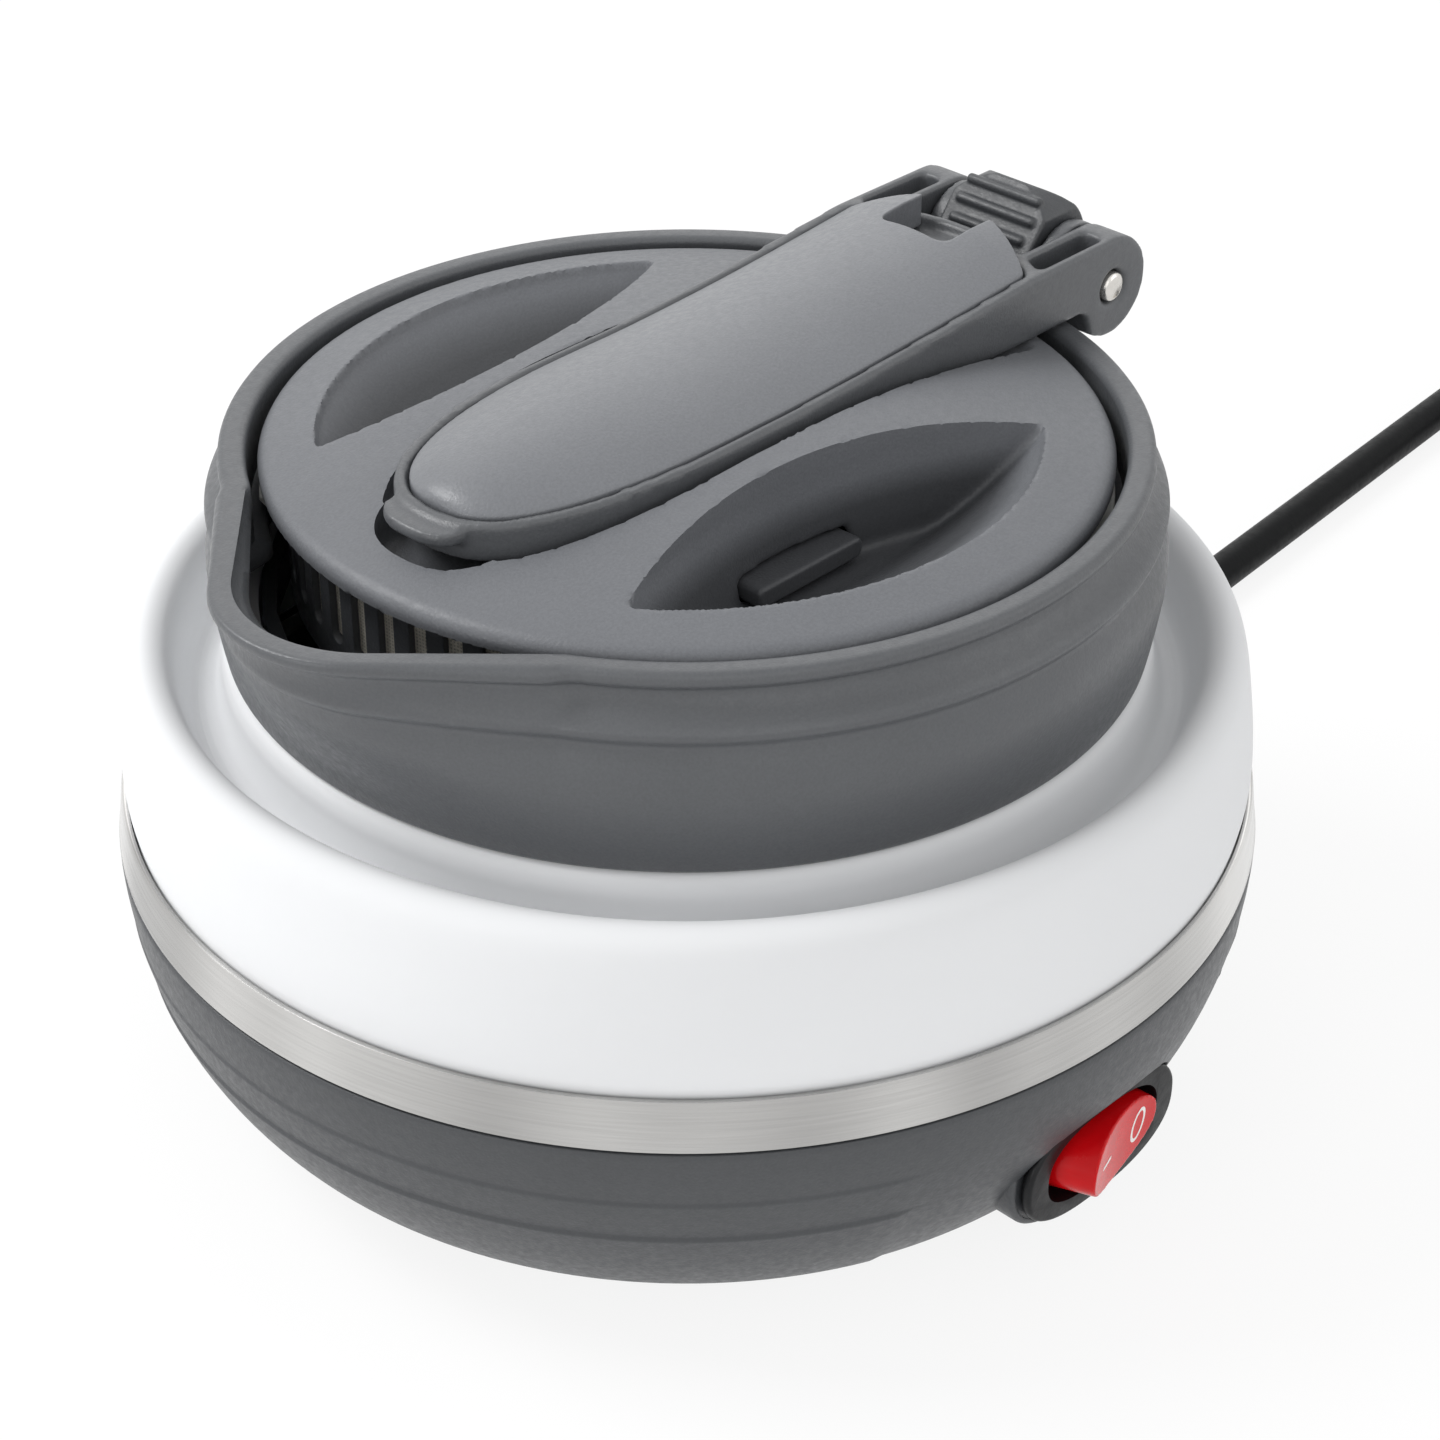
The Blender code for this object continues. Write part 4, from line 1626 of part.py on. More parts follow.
def build():
    clear_scene()
    base_shell()
    bottom_cover()
    feet()
    cover_screws()
    steel_band()
    heating_plate()
    heating_element()
    thermostat()
    base_seal()
    silicone_body()
    collar_shell()
    collar_clamp_ring()
    lid_top()
    lid_skirt()
    lid_inner_cover()
    lid_seal()
    latch_button("latch_button_left", 1)
    latch_button("latch_button_right", -1)
    latch_spring("latch_spring_left", 1)
    latch_spring("latch_spring_right", -1)
    frame = handle_frame()
    cover = handle_cover()
    pin = hinge_pin()
    for rider in (cover, pin):
        rider.parent = frame
        rider.matrix_parent_inverse = Matrix.Translation(-frame.location)
    hinge_bracket()
    lock_lever()
    lock_spring()
    switch_housing()
    switch_rocker()
    strain_relief()
    run, run_points = power_cord()
    coil, turns = cord_coil()
    tail, tail_points = cord_tail()
    for item in (run, coil, tail):
        dress_curve(item, "black_rubber")
    plug()
    report_cord([run_points, turns, tail_points])


build()
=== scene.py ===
from math import asin, atan2, ceil, cos, pi, radians, sin, sqrt, tan

import bpy
import numpy as np
from bpy.props import FloatProperty, FloatVectorProperty, PointerProperty
from mathutils import Matrix, Vector


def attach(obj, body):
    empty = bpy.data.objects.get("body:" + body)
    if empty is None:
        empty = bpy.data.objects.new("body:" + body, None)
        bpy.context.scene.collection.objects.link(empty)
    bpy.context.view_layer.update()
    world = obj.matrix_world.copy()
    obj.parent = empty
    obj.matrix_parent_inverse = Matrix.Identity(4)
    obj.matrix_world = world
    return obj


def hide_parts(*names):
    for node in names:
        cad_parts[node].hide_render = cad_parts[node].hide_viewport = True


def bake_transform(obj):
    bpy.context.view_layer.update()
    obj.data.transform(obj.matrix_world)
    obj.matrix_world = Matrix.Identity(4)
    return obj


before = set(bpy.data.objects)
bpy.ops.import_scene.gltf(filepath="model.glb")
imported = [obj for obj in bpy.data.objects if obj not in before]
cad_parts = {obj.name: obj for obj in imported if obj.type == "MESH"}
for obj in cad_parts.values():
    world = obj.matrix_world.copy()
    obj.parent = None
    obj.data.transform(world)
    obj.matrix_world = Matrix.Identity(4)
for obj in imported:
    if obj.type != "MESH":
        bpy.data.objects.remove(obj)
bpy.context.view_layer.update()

bl_info = {
    "name": "Folding Travel Kettle",
    "version": (1, 0, 0),
    "blender": (4, 5, 0),
    "location": "3D View > Sidebar > Kettle",
    "description": "Models a folding travel kettle on its packed frame",
    "category": "Object",
}


# Settings

def linear(code):
    """Turn an sRGB hex colour into a linear colour with full alpha."""
    shares = [int(code[i:i + 2], 16) / 255 for i in (1, 3, 5)]
    straight = [c / 12.92 if c <= 0.04045 else ((c + 0.055) / 1.055) ** 2.4 for c in shares]
    return (*straight, 1.0)


def length(name, default, description):
    return FloatProperty(name=name, description=description, default=default, unit="LENGTH",
                         subtype="DISTANCE", precision=5)


def turn(name, default, description):
    return FloatProperty(name=name, description=description, default=radians(default),
                         unit="ROTATION", subtype="ANGLE")


def colour(name, code, description):
    return FloatVectorProperty(name=name, description=description, default=linear(code), size=4,
                               subtype="COLOR", min=0.0, max=1.0)


class KettleBaseSizes(bpy.types.PropertyGroup):
    bowl_radius: length("Bowl radius", 0.0816, "Largest radius of the bowl")
    bowl_floor: length("Bowl floor radius", 0.0578, "Radius where the bowl meets its bottom cover")
    bowl_wall: length("Bowl wall", 0.0022, "Thickness of the bowl's wall")
    bowl_low: length("Bowl bottom", 0.0014, "Height of the bowl's lowest edge")
    bowl_top: length("Bowl top", 0.0400, "Height of the bowl's upper edge")
    belt_rise: length("Belt rise", 0.0006, "How far the grip belt stands out")
    belt_low: length("Belt bottom", 0.0070, "Height where the grip belt starts")
    belt_high: length("Belt top", 0.0234, "Height of the belt's step; a finer one lies above")
    band_low: length("Band bottom", 0.0403, "Height of the steel band's lower edge")
    band_high: length("Band top", 0.0478, "Height of the steel band's upper edge")
    band_draw: length("Band draw", 0.0010, "How much narrower the band is at its top")
    silicone_wall: length("Silicone wall", 0.0020, "Thickness of the silicone")


class KettleCollarSizes(bpy.types.PropertyGroup):
    low: length("Collar bottom", 0.0706, "Height of the collar's lower edge")
    top: length("Collar top", 0.0988, "Height of the collar's rim")
    rim: length("Rim radius", 0.0629, "Outer radius of the rim")
    wall: length("Collar wall", 0.0026, "Thickness of the collar's wall")
    seat: length("Lid seat radius", 0.0593, "Inner radius that the lid sits in")
    bead: length("Catch bead radius", 0.0570,
                 "Inner radius of the bead that the latches bite under")
    tip_reach: length("Spout reach", 0.0765, "Distance from the axis to the spout's tip")
    tip_radius: length("Spout tip radius", 0.0195,
                       "Radius of the spout's round tip, seen from above")
    half_angle: turn("Spout half angle", 30.0, "Angle from the spout's middle to its root")
    root: length("Spout root", 0.0735, "Height where the spout starts to lean out")


class KettleLidSizes(bpy.types.PropertyGroup):
    radius: length("Lid radius", 0.0578, "Radius of the lid")
    edge: length("Lid edge height", 0.0981, "Height of the lid's edge")
    rise: length("Dome rise", 0.0075, "How much higher the lid's middle is than its edge")
    wall: length("Lid wall", 0.0020, "Thickness of the lid")
    trough_floor: length("Trough floor", 0.0984, "Height of the trough under the handle")
    trough_gap: length("Trough gap", 0.0016, "Gap between the handle and the trough's walls")
    dip_floor: length("Dip floor", 0.0958, "Height of the finger dip's floor")
    recess_floor: length("Recess floor", 0.0872, "Height of the finger recesses' floors")
    skirt: length("Skirt radius", 0.0546, "Outer radius of the strainer ring")
    slot: length("Slot width", 0.0029, "Width of each strainer slot")


class KettleHandleSizes(bpy.types.PropertyGroup):
    pin_x: length("Pin place", 0.0693, "Distance from the axis to the hinge pin")
    pin_z: length("Pin height", 0.1014, "Height of the hinge pin")
    pin_radius: length("Pin radius", 0.0022, "Radius of the hinge pin")
    front: length("Handle front", -0.0475, "Where the handle's nose ends")
    half_width: length("Half width", 0.0181, "Half the handle's width")
    floor: length("Handle floor", 0.0994, "Height of the handle's underside")
    rim: length("Rim height", 0.1060, "Height of the handle's rim over the lid's middle")
    rim_width: length("Rim width", 0.0017, "Width of the rim beside the cover")
    crown: length("Cover crown", 0.0044, "How high the cover is crowned over its edges")
    ear_radius: length("Ear radius", 0.0076, "Radius of the hinge ears")
    lever_radius: length("Lever radius", 0.0117, "Reach of the lock lever from the pin")
    lever_half: length("Lever half width", 0.0086, "Half the lock lever's width")


class KettleSwitchSizes(bpy.types.PropertyGroup):
    height: length("Switch height", 0.0182, "Height of the switch's middle")
    face: length("Switch face", -0.0761, "Where the bezel's seat lies along Y")
    half_length: length("Bezel half length", 0.0158, "Half the bezel's length")
    half_height: length("Bezel half height", 0.0088, "Half the bezel's height")
    tilt: turn("Rocker tilt", 12.0, "How far the rocker is tipped to its O end")


class KettleCordSizes(bpy.types.PropertyGroup):
    radius: length("Cord radius", 0.0034, "Radius of the cord")
    angle: turn("Cord direction", 5.3, "Direction of the cord's exit from +X")
    exit_radius: length("Cord exit", 0.1010, "Distance from the axis to the strain relief's end")
    exit_height: length("Exit height", 0.0110, "Height of the cord's exit")
    total: length("Cord length", 0.846, "Real length of the free cord")


class KettleColours(bpy.types.PropertyGroup):
    dark: colour("Dark shell", "#515356", "Collar, handle frame and hidden covers")
    bowl: colour("Bowl", "#3C3E41", "Bowl, lock lever and strainer ring")
    # The lid is painted lighter than the collar, though probably of the same plastic: painted light
    # on the kettle's top.
    lid: colour("Lid", "#6A6C70", "Lid and latch buttons")
    light: colour("Handle cover", "#6F7175", "Cover of the handle")
    black: colour("Black parts", "#121315", "Switch bezel, strain relief and plug")
    cord: colour("Cord", "#0E0F10", "Cord's outer skin")
    silicone: colour("Silicone", "#FBFBFB", "Soft folding wall")
    steel: colour("Band steel", "#D2D1CF", "Brushed band")
    red: colour("Rocker", "#CF0A12", "Rocker of the switch")
    print: colour("Print", "#F2F2EF", "Marks on the rocker")
    rubber: colour("Feet", "#2B2C2E", "Rubber feet")
    floor: colour("Floor", "#FFFFFF", "Studio floor")


class KettleStageSizes(bpy.types.PropertyGroup):
    lens: FloatProperty(name="Lens", description="Camera focal length in millimetres",
                        default=78.41, subtype="DISTANCE_CAMERA")
    roll: turn("Camera roll", 0.28, "Turn of the camera round its own line of sight")
    key: FloatProperty(name="Key light", description="Power of the large soft light", default=8.5,
                       unit="POWER")
    low: FloatProperty(name="Low light", description="Power of the small light low on the left",
                       default=1.1, unit="POWER")
    fill: FloatProperty(name="Fill light", description="Power of the weaker lights", default=1.6,
                        unit="POWER")


def group(name):
    """One of the kettle's groups of settings."""
    return getattr(bpy.context.scene, "kettle_" + name)


# Modelling helpers

def deselect_all():
    if bpy.context.object and bpy.context.object.mode != "OBJECT":
        bpy.ops.object.mode_set(mode="OBJECT")
    bpy.ops.object.select_all(action="DESELECT")


def only(*items):
    """Select these objects alone; the last one is active."""
    deselect_all()
    for item in items:
        item.select_set(True)
    bpy.context.view_layer.objects.active = items[-1]


def edit(item, kind="VERT"):
    only(item)
    bpy.ops.object.mode_set(mode="EDIT")
    bpy.ops.mesh.select_mode(type=kind)
    bpy.ops.mesh.select_all(action="SELECT")


def leave(item):
    bpy.ops.object.mode_set(mode="OBJECT")
    return item


def settle(item, matrix=None):
    """Give an object a place and apply it, so that its place is in its mesh."""
    only(item)
    if matrix is not None:
        item.matrix_world = matrix
        bpy.context.view_layer.update()
    bpy.ops.object.transform_apply(location=True, rotation=True, scale=True)
    return item


def draw_line(name, points, closed=False):
    """Draw a line of edges by extruding one point from place to place."""
    deselect_all()
    first = Vector(points[0])
    bpy.ops.mesh.primitive_plane_add(size=0.001, location=first)
    item = bpy.context.object
    item.name = item.data.name = name
    edit(item)
    bpy.ops.mesh.merge(type="CENTER")
    here = first
    for point in points[1:]:
        bpy.ops.mesh.extrude_region_move(TRANSFORM_OT_translate={"value": Vector(point) - here})
        here = Vector(point)
    if closed:
        bpy.ops.mesh.select_all(action="SELECT")
        bpy.ops.mesh.edge_face_add()
    leave(item)
    return settle(item)


def clean(item, distance=0.000002):
    """Merge doubles and turn the faces outwards."""
    edit(item)
    bpy.ops.mesh.remove_doubles(threshold=distance)
    bpy.ops.mesh.normals_make_consistent(inside=False)
    return leave(item)


def turned(name, profile, steps, closed=True):
    """Spin a profile of radius and height round the Z axis.

    A closed profile joins up with its start."""
    line = [(radius, 0.0, height) for radius, height in profile]
    item = draw_line(name, line + line[:1] if closed else line)
    edit(item)
    bpy.ops.mesh.spin(steps=steps, angle=2 * pi, center=(0, 0, 0), axis=(0, 0, 1))
    leave(item)
    return clean(item)


def extruded(name, outline, low, high, axis="Z"):
    """Extrude an outline along an axis. For Y the outline gives X and Z."""
    if axis == "Z":
        line, way = [(u, v, low) for u, v in outline], Vector((0, 0, high - low))
    else:
        line, way = [(u, low, v) for u, v in outline], Vector((0, high - low, 0))
    item = draw_line(name, line, closed=True)
    edit(item, "FACE")
    bpy.ops.mesh.extrude_region_move(TRANSFORM_OT_translate={"value": way})
    leave(item)
    return clean(item)


def box(name, low, high):
    """A block between two corners, drawn as an outline and extruded."""
    outline = [(low[0], low[1]), (high[0], low[1]), (high[0], high[1]), (low[0], high[1])]
    return extruded(name, outline, low[2], high[2])


def facing(way):
    """The turn that brings the Z axis onto a direction."""
    return way.to_track_quat("Z", "Y").to_matrix().to_4x4()


def bar(name, radius, start, end, steps=64):
    """A round bar between two points."""
    start, end = Vector(start), Vector(end)
    away = end - start
    item = turned(name, [(0.0, 0.0), (radius, 0.0), (radius, away.length), (0.0, away.length)],
                  steps, closed=False)
    return settle(item, Matrix.Translation(start) @ facing(away))


def span(side, near, far):
    """Both ends of a stretch that lies on one side of the middle plane, the lower one first."""
    return sorted((side * near, side * far))


def modified(item, kind, **settings):
    """Give an object a modifier with its settings and apply it."""
    only(item)
    modifier = item.modifiers.new(kind.lower(), kind)
    for key, value in settings.items():
        setattr(modifier, key, value)
    bpy.ops.object.modifier_apply(modifier=modifier.name)
    return item


def change(target, tool, operation):
    """Apply a Boolean with another object, which is used up."""
    modified(target, "BOOLEAN", operation=operation, solver="EXACT", object=tool)
    bpy.data.objects.remove(tool, do_unlink=True)
    if not target.data.polygons:
        raise RuntimeError(target.name + " is empty after " + operation)
    return target


def cut(target, *tools):
    for tool in tools:
        change(target, tool, "DIFFERENCE")
    return target


def join(target, *tools):
    for tool in tools:
        change(target, tool, "UNION")
    return target


def round_edges(item, offset, segments=4, angle=radians(40)):
    """Round every sharp edge with an applied Bevel."""
    return modified(item, "BEVEL", width=offset, segments=segments, limit_method="ANGLE",
                    angle_limit=angle, use_clamp_overlap=True)


def relax(item, passes):
    """Smooth a mesh a number of times by half."""
    return modified(item, "SMOOTH", factor=0.5, iterations=passes)


def soften(item, voxel, passes):
    """Give a cut shape the soft moulded edges of an injection moulding."""
    modified(item, "REMESH", mode="VOXEL", voxel_size=voxel, adaptivity=0.0)
    return relax(item, passes)


def carried(item, move):
    """Move each point of a mesh by a rule that no modelling tool gives."""
    for vertex in item.data.vertices:
        vertex.co = move(vertex.co)
    item.data.update()
    return item


HOLD_SHARE, EASE_SHARE = 0.55, 0.45
# How many points are compared with the line at a time.
BATCH = 4000


def pressed(item, outline, low, high, reach=0.00055):
    """Press the points near an upright wall back onto the exact line of that wall.

    Within HOLD_SHARE of the reach they go all the way, over the last EASE_SHARE less and less."""
    mesh = item.data
    points = np.empty(len(mesh.vertices) * 3)
    mesh.vertices.foreach_get("co", points)
    points = points.reshape(-1, 3)
    line = np.array([tuple(point)[:2] for point in outline])
    way = np.roll(line, -1, axis=0) - line
    long = np.maximum((way ** 2).sum(axis=1), 1e-12)
    level = np.flatnonzero((points[:, 2] > low) & (points[:, 2] < high))
    for part in np.array_split(level, max(1, len(level) // BATCH)):
        place = points[part][:, None, :2]
        share = np.clip(((place - line) * way).sum(axis=2) / long, 0.0, 1.0)
        foot = line + share[..., None] * way
        away = np.sqrt(((place - foot) ** 2).sum(axis=2))
        near = away.argmin(axis=1)
        rows = np.arange(len(part))
        ease = np.clip((away[rows, near] / reach - HOLD_SHARE) / EASE_SHARE, 0.0, 1.0)
        hold = 1 - ease * ease * (3 - 2 * ease)
        points[part, :2] += (foot[rows, near] - points[part, :2]) * hold[:, None]
    mesh.vertices.foreach_set("co", points.ravel())
    mesh.update()
    return item


def smooth_line(points, steps):
    """A smooth line through the points, with a number of steps between each two."""
    points = [Vector(point) for point in points]
    ends = [2 * points[0] - points[1]] + points + [2 * points[-1] - points[-2]]
    line = []
    for p0, p1, p2, p3 in zip(ends, ends[1:], ends[2:], ends[3:]):
        for t in np.linspace(0, 1, steps, endpoint=False):
            line.append((2 * p1 + (p2 - p0) * t + (2 * p0 - 5 * p1 + 4 * p2 - p3) * t * t
                         + (3 * p1 - p0 - 3 * p2 + p3) * t ** 3) / 2)
    return line + [points[-1]]


def arc(centre, radius, start, end, steps):
    return [(centre[0] + radius * cos(a), centre[1] + radius * sin(a))
            for a in np.linspace(start, end, steps + 1)]


def rounded_box(half_width, half_height, corner, steps=8):
    """Outline of a rectangle with round corners, centred on zero."""
    outline = []
    for quarter, (sx, sy) in enumerate(((1, 1), (-1, 1), (-1, -1), (1, -1))):
        centre = (sx * (half_width - corner), sy * (half_height - corner))
        outline += arc(centre, corner, quarter * pi / 2, (quarter + 1) * pi / 2, steps)
    return outline


def oval(half_width, half_height, power=2.4, steps=96):
    """Outline of a full oval, a little squarer than an ellipse."""
    outline = []
    for angle in np.linspace(0, 2 * pi, steps, endpoint=False):
        c, s = cos(angle), sin(angle)
        outline.append((half_width * np.sign(c) * abs(c) ** (2 / power),
                        half_height * np.sign(s) * abs(s) ** (2 / power)))
    return outline


def shifted(outline, du, dv):
    return [(u + du, v + dv) for u, v in outline]


def smoothstep(value, low, high):
    share = min(max((value - low) / (high - low), 0.0), 1.0)
    return share * share * (3 - 2 * share)


def finish_piece(item, body, material, slot, *nodes, angle=None):
    """Dress a piece, let it ride on its body and let it stand for its CAD nodes."""
    item.data.materials.clear()
    item.data.materials.append(finish_of(material))
    if item.type == "MESH":
        only(item)
        if angle is None:
            bpy.ops.object.shade_smooth()
        else:
            bpy.ops.object.shade_smooth_by_angle(angle=radians(angle))
    if body:
        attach(item, body)
    if nodes:
        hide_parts(*nodes)
    return item


def dress_node(name, material):
    """Give a CAD node that stays its detailed material."""
    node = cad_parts[name]
    node.data.materials.clear()
    node.data.materials.append(finish_of(material))


# Materials

def add_node(tree, kind, inputs=None, **settings):
    """Add a node with its own settings; each input is a value or a socket to link."""
    node = tree.nodes.new(kind)
    for key, value in settings.items():
        setattr(node, key, value)
    for key, value in (inputs or {}).items():
        if isinstance(value, bpy.types.NodeSocket):
            tree.links.new(value, node.inputs[key])
        else:
            node.inputs[key].default_value = value
    return node


def bare_material(name):
    """A material without nodes, and the tree that they go into."""
    material = bpy.data.materials.new(name)
    material.use_nodes = True
    material.node_tree.nodes.clear()
    return material, material.node_tree


def new_material(name, **shader_values):
    """A material with its shader, and the piece's own coordinates for patterns."""
    material, tree = bare_material(name)
    values = {key.replace("_", " "): value for key, value in shader_values.items()}
    shader = add_node(tree, "ShaderNodeBsdfPrincipled", values)
    add_node(tree, "ShaderNodeOutputMaterial", {"Surface": shader.outputs[0]})
    place = add_node(tree, "ShaderNodeTexCoord").outputs["Object"]
    return material, tree, shader, place


def pattern(tree, place, size, low, high, detail=2.0, stretch=(1, 1, 1)):
    """Soft noise whose lumps are about size metres across, between two values."""
    spread = add_node(tree, "ShaderNodeMapping", {"Vector": place, "Scale": stretch}).outputs[0]
    noise = add_node(tree, "ShaderNodeTexNoise", {"Vector": spread, "Scale": 1 / size,
                                                  "Detail": detail, "Roughness": 0.55})
    return add_node(tree, "ShaderNodeMapRange", {
        "Value": noise.outputs[0], "From Min": 0.3, "From Max": 0.7, "To Min": low,
        "To Max": high}).outputs[0]


def dressed(tree, shader, paint, tone, gloss, relief=None, under=None):
    """Give a shader its paint, brightened by a tone, its gloss and its relief.

    A relief is a height pattern, its depth and its strength, on top of the normal under it."""
    tint = add_node(tree, "ShaderNodeHueSaturation", {"Color": tuple(paint), "Value": tone})
    tree.links.new(tint.outputs[0], shader.inputs["Base Color"])
    tree.links.new(gloss, shader.inputs["Roughness"])
    if relief:
        inputs = dict(zip(("Height", "Distance", "Strength"), relief))
        if under is not None:
            inputs["Normal"] = under
        bump = add_node(tree, "ShaderNodeBump", inputs)
        tree.links.new(bump.outputs[0], shader.inputs["Normal"])


# Tuned, and not the real materials' values: these indices of refraction are lower than
# the real ones, because the white surroundings mirror more strongly here than in the photo.
LID_GLEAM, NYLON_GLEAM, ROCKER_GLEAM, CORD_GLEAM = 1.40, 1.32, 1.24, 1.18
# Painted shade: the lid's recesses, and the latch buttons in them, are painted darker.
# The lid's paint darkens below this height, because its recesses came out lighter than the
# photo's. It reaches its darkest share at the depth below that.
LID_PAINTED_SHADE_TOP, PAINTED_SHADE_DEPTH, PAINTED_SHADE_DARKEST = 0.0980, 0.0040, 0.46


def spark_eroded_abs(name, paint, roughness, eased=0.0, gleam=1.54, painted_shade_top=None):
    """Moulded ABS from a spark-eroded tool: a fine even grain that scatters small glints.

    Real grain is about 0.15 mm; it is drawn as coarse as it needs to show, 0.4 mm."""
    material, tree, shader, place = new_material(name, IOR=gleam)
    speckle = pattern(tree, place, 0.0004, 0.94, 1.06, 1.0)
    cloud = pattern(tree, place, 0.014, 0.975, 1.025)
    both = add_node(tree, "ShaderNodeMath", {0: speckle, 1: cloud}, operation="MULTIPLY").outputs[0]
    # Painted shade: below this height the paint darkens, down to its darkest share.
    if painted_shade_top:
        height = add_node(tree, "ShaderNodeSeparateXYZ", {0: place}).outputs["Z"]
        shade = add_node(tree, "ShaderNodeMapRange", {
            "Value": height, "From Min": painted_shade_top - PAINTED_SHADE_DEPTH, "From Max": painted_shade_top,
            "To Min": PAINTED_SHADE_DARKEST, "To Max": 1.0}).outputs[0]
        both = add_node(tree, "ShaderNodeMath", {0: both, 1: shade},
                        operation="MULTIPLY").outputs[0]
    grain = pattern(tree, place, 0.0004, 0.0, 1.0, 3.0)
    soft = None
    if eased > 0.0:
        soft = add_node(tree, "ShaderNodeBevel", {"Radius": eased}, samples=4).outputs[0]
    gloss = pattern(tree, place, 0.0011, roughness - 0.07, roughness + 0.07)
    dressed(tree, shader, paint, both, gloss, (grain, 0.00005, 0.45), soft)
    return material


def liquid_silicone(name, paint):
    """Moulded liquid silicone: matt satin, faintly see-through, with a dusty skin."""
    material, tree, shader, place = new_material(
        name, IOR=1.41, Subsurface_Weight=0.08, Subsurface_Radius=(0.003, 0.0029, 0.0028),
        Subsurface_Scale=1.0, Sheen_Weight=0.12, Sheen_Roughness=0.5)
    dust = pattern(tree, place, 0.006, 0.982, 1.01, 3.0)
    skin = pattern(tree, place, 0.0006, 0.0, 1.0)
    gloss = pattern(tree, place, 0.003, 0.40, 0.52)
    dressed(tree, shader, paint, dust, gloss, (skin, 0.00002, 0.35))
    return material


def brushed_stainless(name, paint):
    """Stainless strip brushed along its length: fine level lines that stretch highlights.

    Real lines are about 0.05 mm apart; they are drawn 0.2 mm apart so that they show."""
    material, tree, shader, place = new_material(name, Metallic=1.0)
    lines = pattern(tree, place, 0.0002, 0.0, 1.0, 3.0, (0.012, 0.012, 1.0))
    tone = pattern(tree, place, 0.0003, 0.95, 1.04, 2.0, (0.02, 0.02, 1.0))
    # Broad blotches in the steel's tone: partly uneven polish, partly painted reflections of the
    # studio round the band.
    polish_and_painted_reflections = pattern(tree, place, 0.030, 0.60, 1.05, 1.0, (1.0, 1.0, 0.1))
    both = add_node(tree, "ShaderNodeMath", {0: tone, 1: polish_and_painted_reflections}, operation="MULTIPLY").outputs[0]
    gloss = pattern(tree, place, 0.0004, 0.16, 0.26, 2.0, (0.02, 0.02, 1.0))
    dressed(tree, shader, paint, both, gloss, (lines, 0.00001, 0.25))
    return material


def turned_metal(name, paint, roughness, streak=(1, 1, 1)):
    """Plain worked metal: small uneven gloss, with streaks where a tool or roller ran."""
    material, tree, shader, place = new_material(name, Metallic=1.0)
    tone = pattern(tree, place, 0.0012, 0.93, 1.03, 3.0, streak)
    gloss = pattern(tree, place, 0.0008, roughness * 0.8, roughness * 1.25, 2.0, streak)
    marks = pattern(tree, place, 0.0003, 0.0, 1.0, 2.0, streak)
    dressed(tree, shader, paint, tone, gloss, (marks, 0.00001, 0.3))
    return material


def lit_polycarbonate(name, paint):
    """Glossy red polycarbonate, as on lit rockers, under a thin clear skin."""
    material, tree, shader, place = new_material(
        name, IOR=ROCKER_GLEAM, Coat_Weight=0.12, Coat_Roughness=0.05)
    depth = pattern(tree, place, 0.004, 0.92, 1.06)
    gloss = pattern(tree, place, 0.002, 0.18, 0.28)
    ripple = pattern(tree, place, 0.0030, 0.0, 1.0)
    dressed(tree, shader, paint, depth, gloss, (ripple, 0.00001, 0.25))
    return material


def pad_print(name, paint):
    """Pad-printed ink: flat white with slightly uneven cover."""
    material, tree, shader, place = new_material(name, IOR=1.5)
    cover = pattern(tree, place, 0.0005, 0.96, 1.02, 3.0)
    gloss = pattern(tree, place, 0.0004, 0.42, 0.58)
    dressed(tree, shader, paint, cover, gloss)
    return material


def satin_nylon(name, paint, roughness, grain=0.0005, gleam=NYLON_GLEAM):
    """Moulded nylon or PVC: dark, a little waxy, with a soft grain."""
    material, tree, shader, place = new_material(name, IOR=gleam)
    tone = pattern(tree, place, 0.003, 0.9, 1.12)
    skin = pattern(tree, place, grain, 0.0, 1.0, 3.0)
    gloss = pattern(tree, place, 0.0015, roughness - 0.06, roughness + 0.08)
    dressed(tree, shader, paint, tone, gloss, (skin, 0.00003, 0.4))
    return material


def clear_seal(name, paint):
    """Translucent silicone seal: milky and soft."""
    material, tree, shader, place = new_material(
        name, IOR=1.41, Subsurface_Weight=0.3, Subsurface_Radius=(0.002, 0.002, 0.002),
        Subsurface_Scale=0.5)
    milk = pattern(tree, place, 0.002, 0.95, 1.04)
    gloss = pattern(tree, place, 0.001, 0.38, 0.5)
    skin = pattern(tree, place, 0.0005, 0.0, 1.0)
    dressed(tree, shader, paint, milk, gloss, (skin, 0.00002, 0.3))
    return material


def woven_gauze(name, paint):
    """Fine woven filter gauze.

    Real wires are about 0.1 mm apart; they are drawn 0.5 mm apart so that they show."""
    material, tree, shader, place = new_material(name, Metallic=0.4)
    rows = add_node(tree, "ShaderNodeTexWave", {"Vector": place, "Scale": 620.0},
                    bands_direction="Z").outputs[1]
    posts = add_node(tree, "ShaderNodeTexWave", {"Vector": place, "Scale": 620.0},
                     bands_direction="Y").outputs[1]
    wires = add_node(tree, "ShaderNodeMath", {0: rows, 1: posts}, operation="MAXIMUM").outputs[0]
    tone = add_node(tree, "ShaderNodeMapRange", {"Value": wires, "To Min": 0.55,
                                                 "To Max": 1.0}).outputs[0]
    gloss = pattern(tree, place, 0.001, 0.4, 0.55)
    dressed(tree, shader, paint, tone, gloss, (wires, 0.00008, 0.6))
    return material


# Near the object the floor is seen partly by its own glow, from FLOOR_FAR on wholly.
FLOOR_NEAR, FLOOR_FAR, GLOW_SHARE = 0.35, 1.1, 0.86


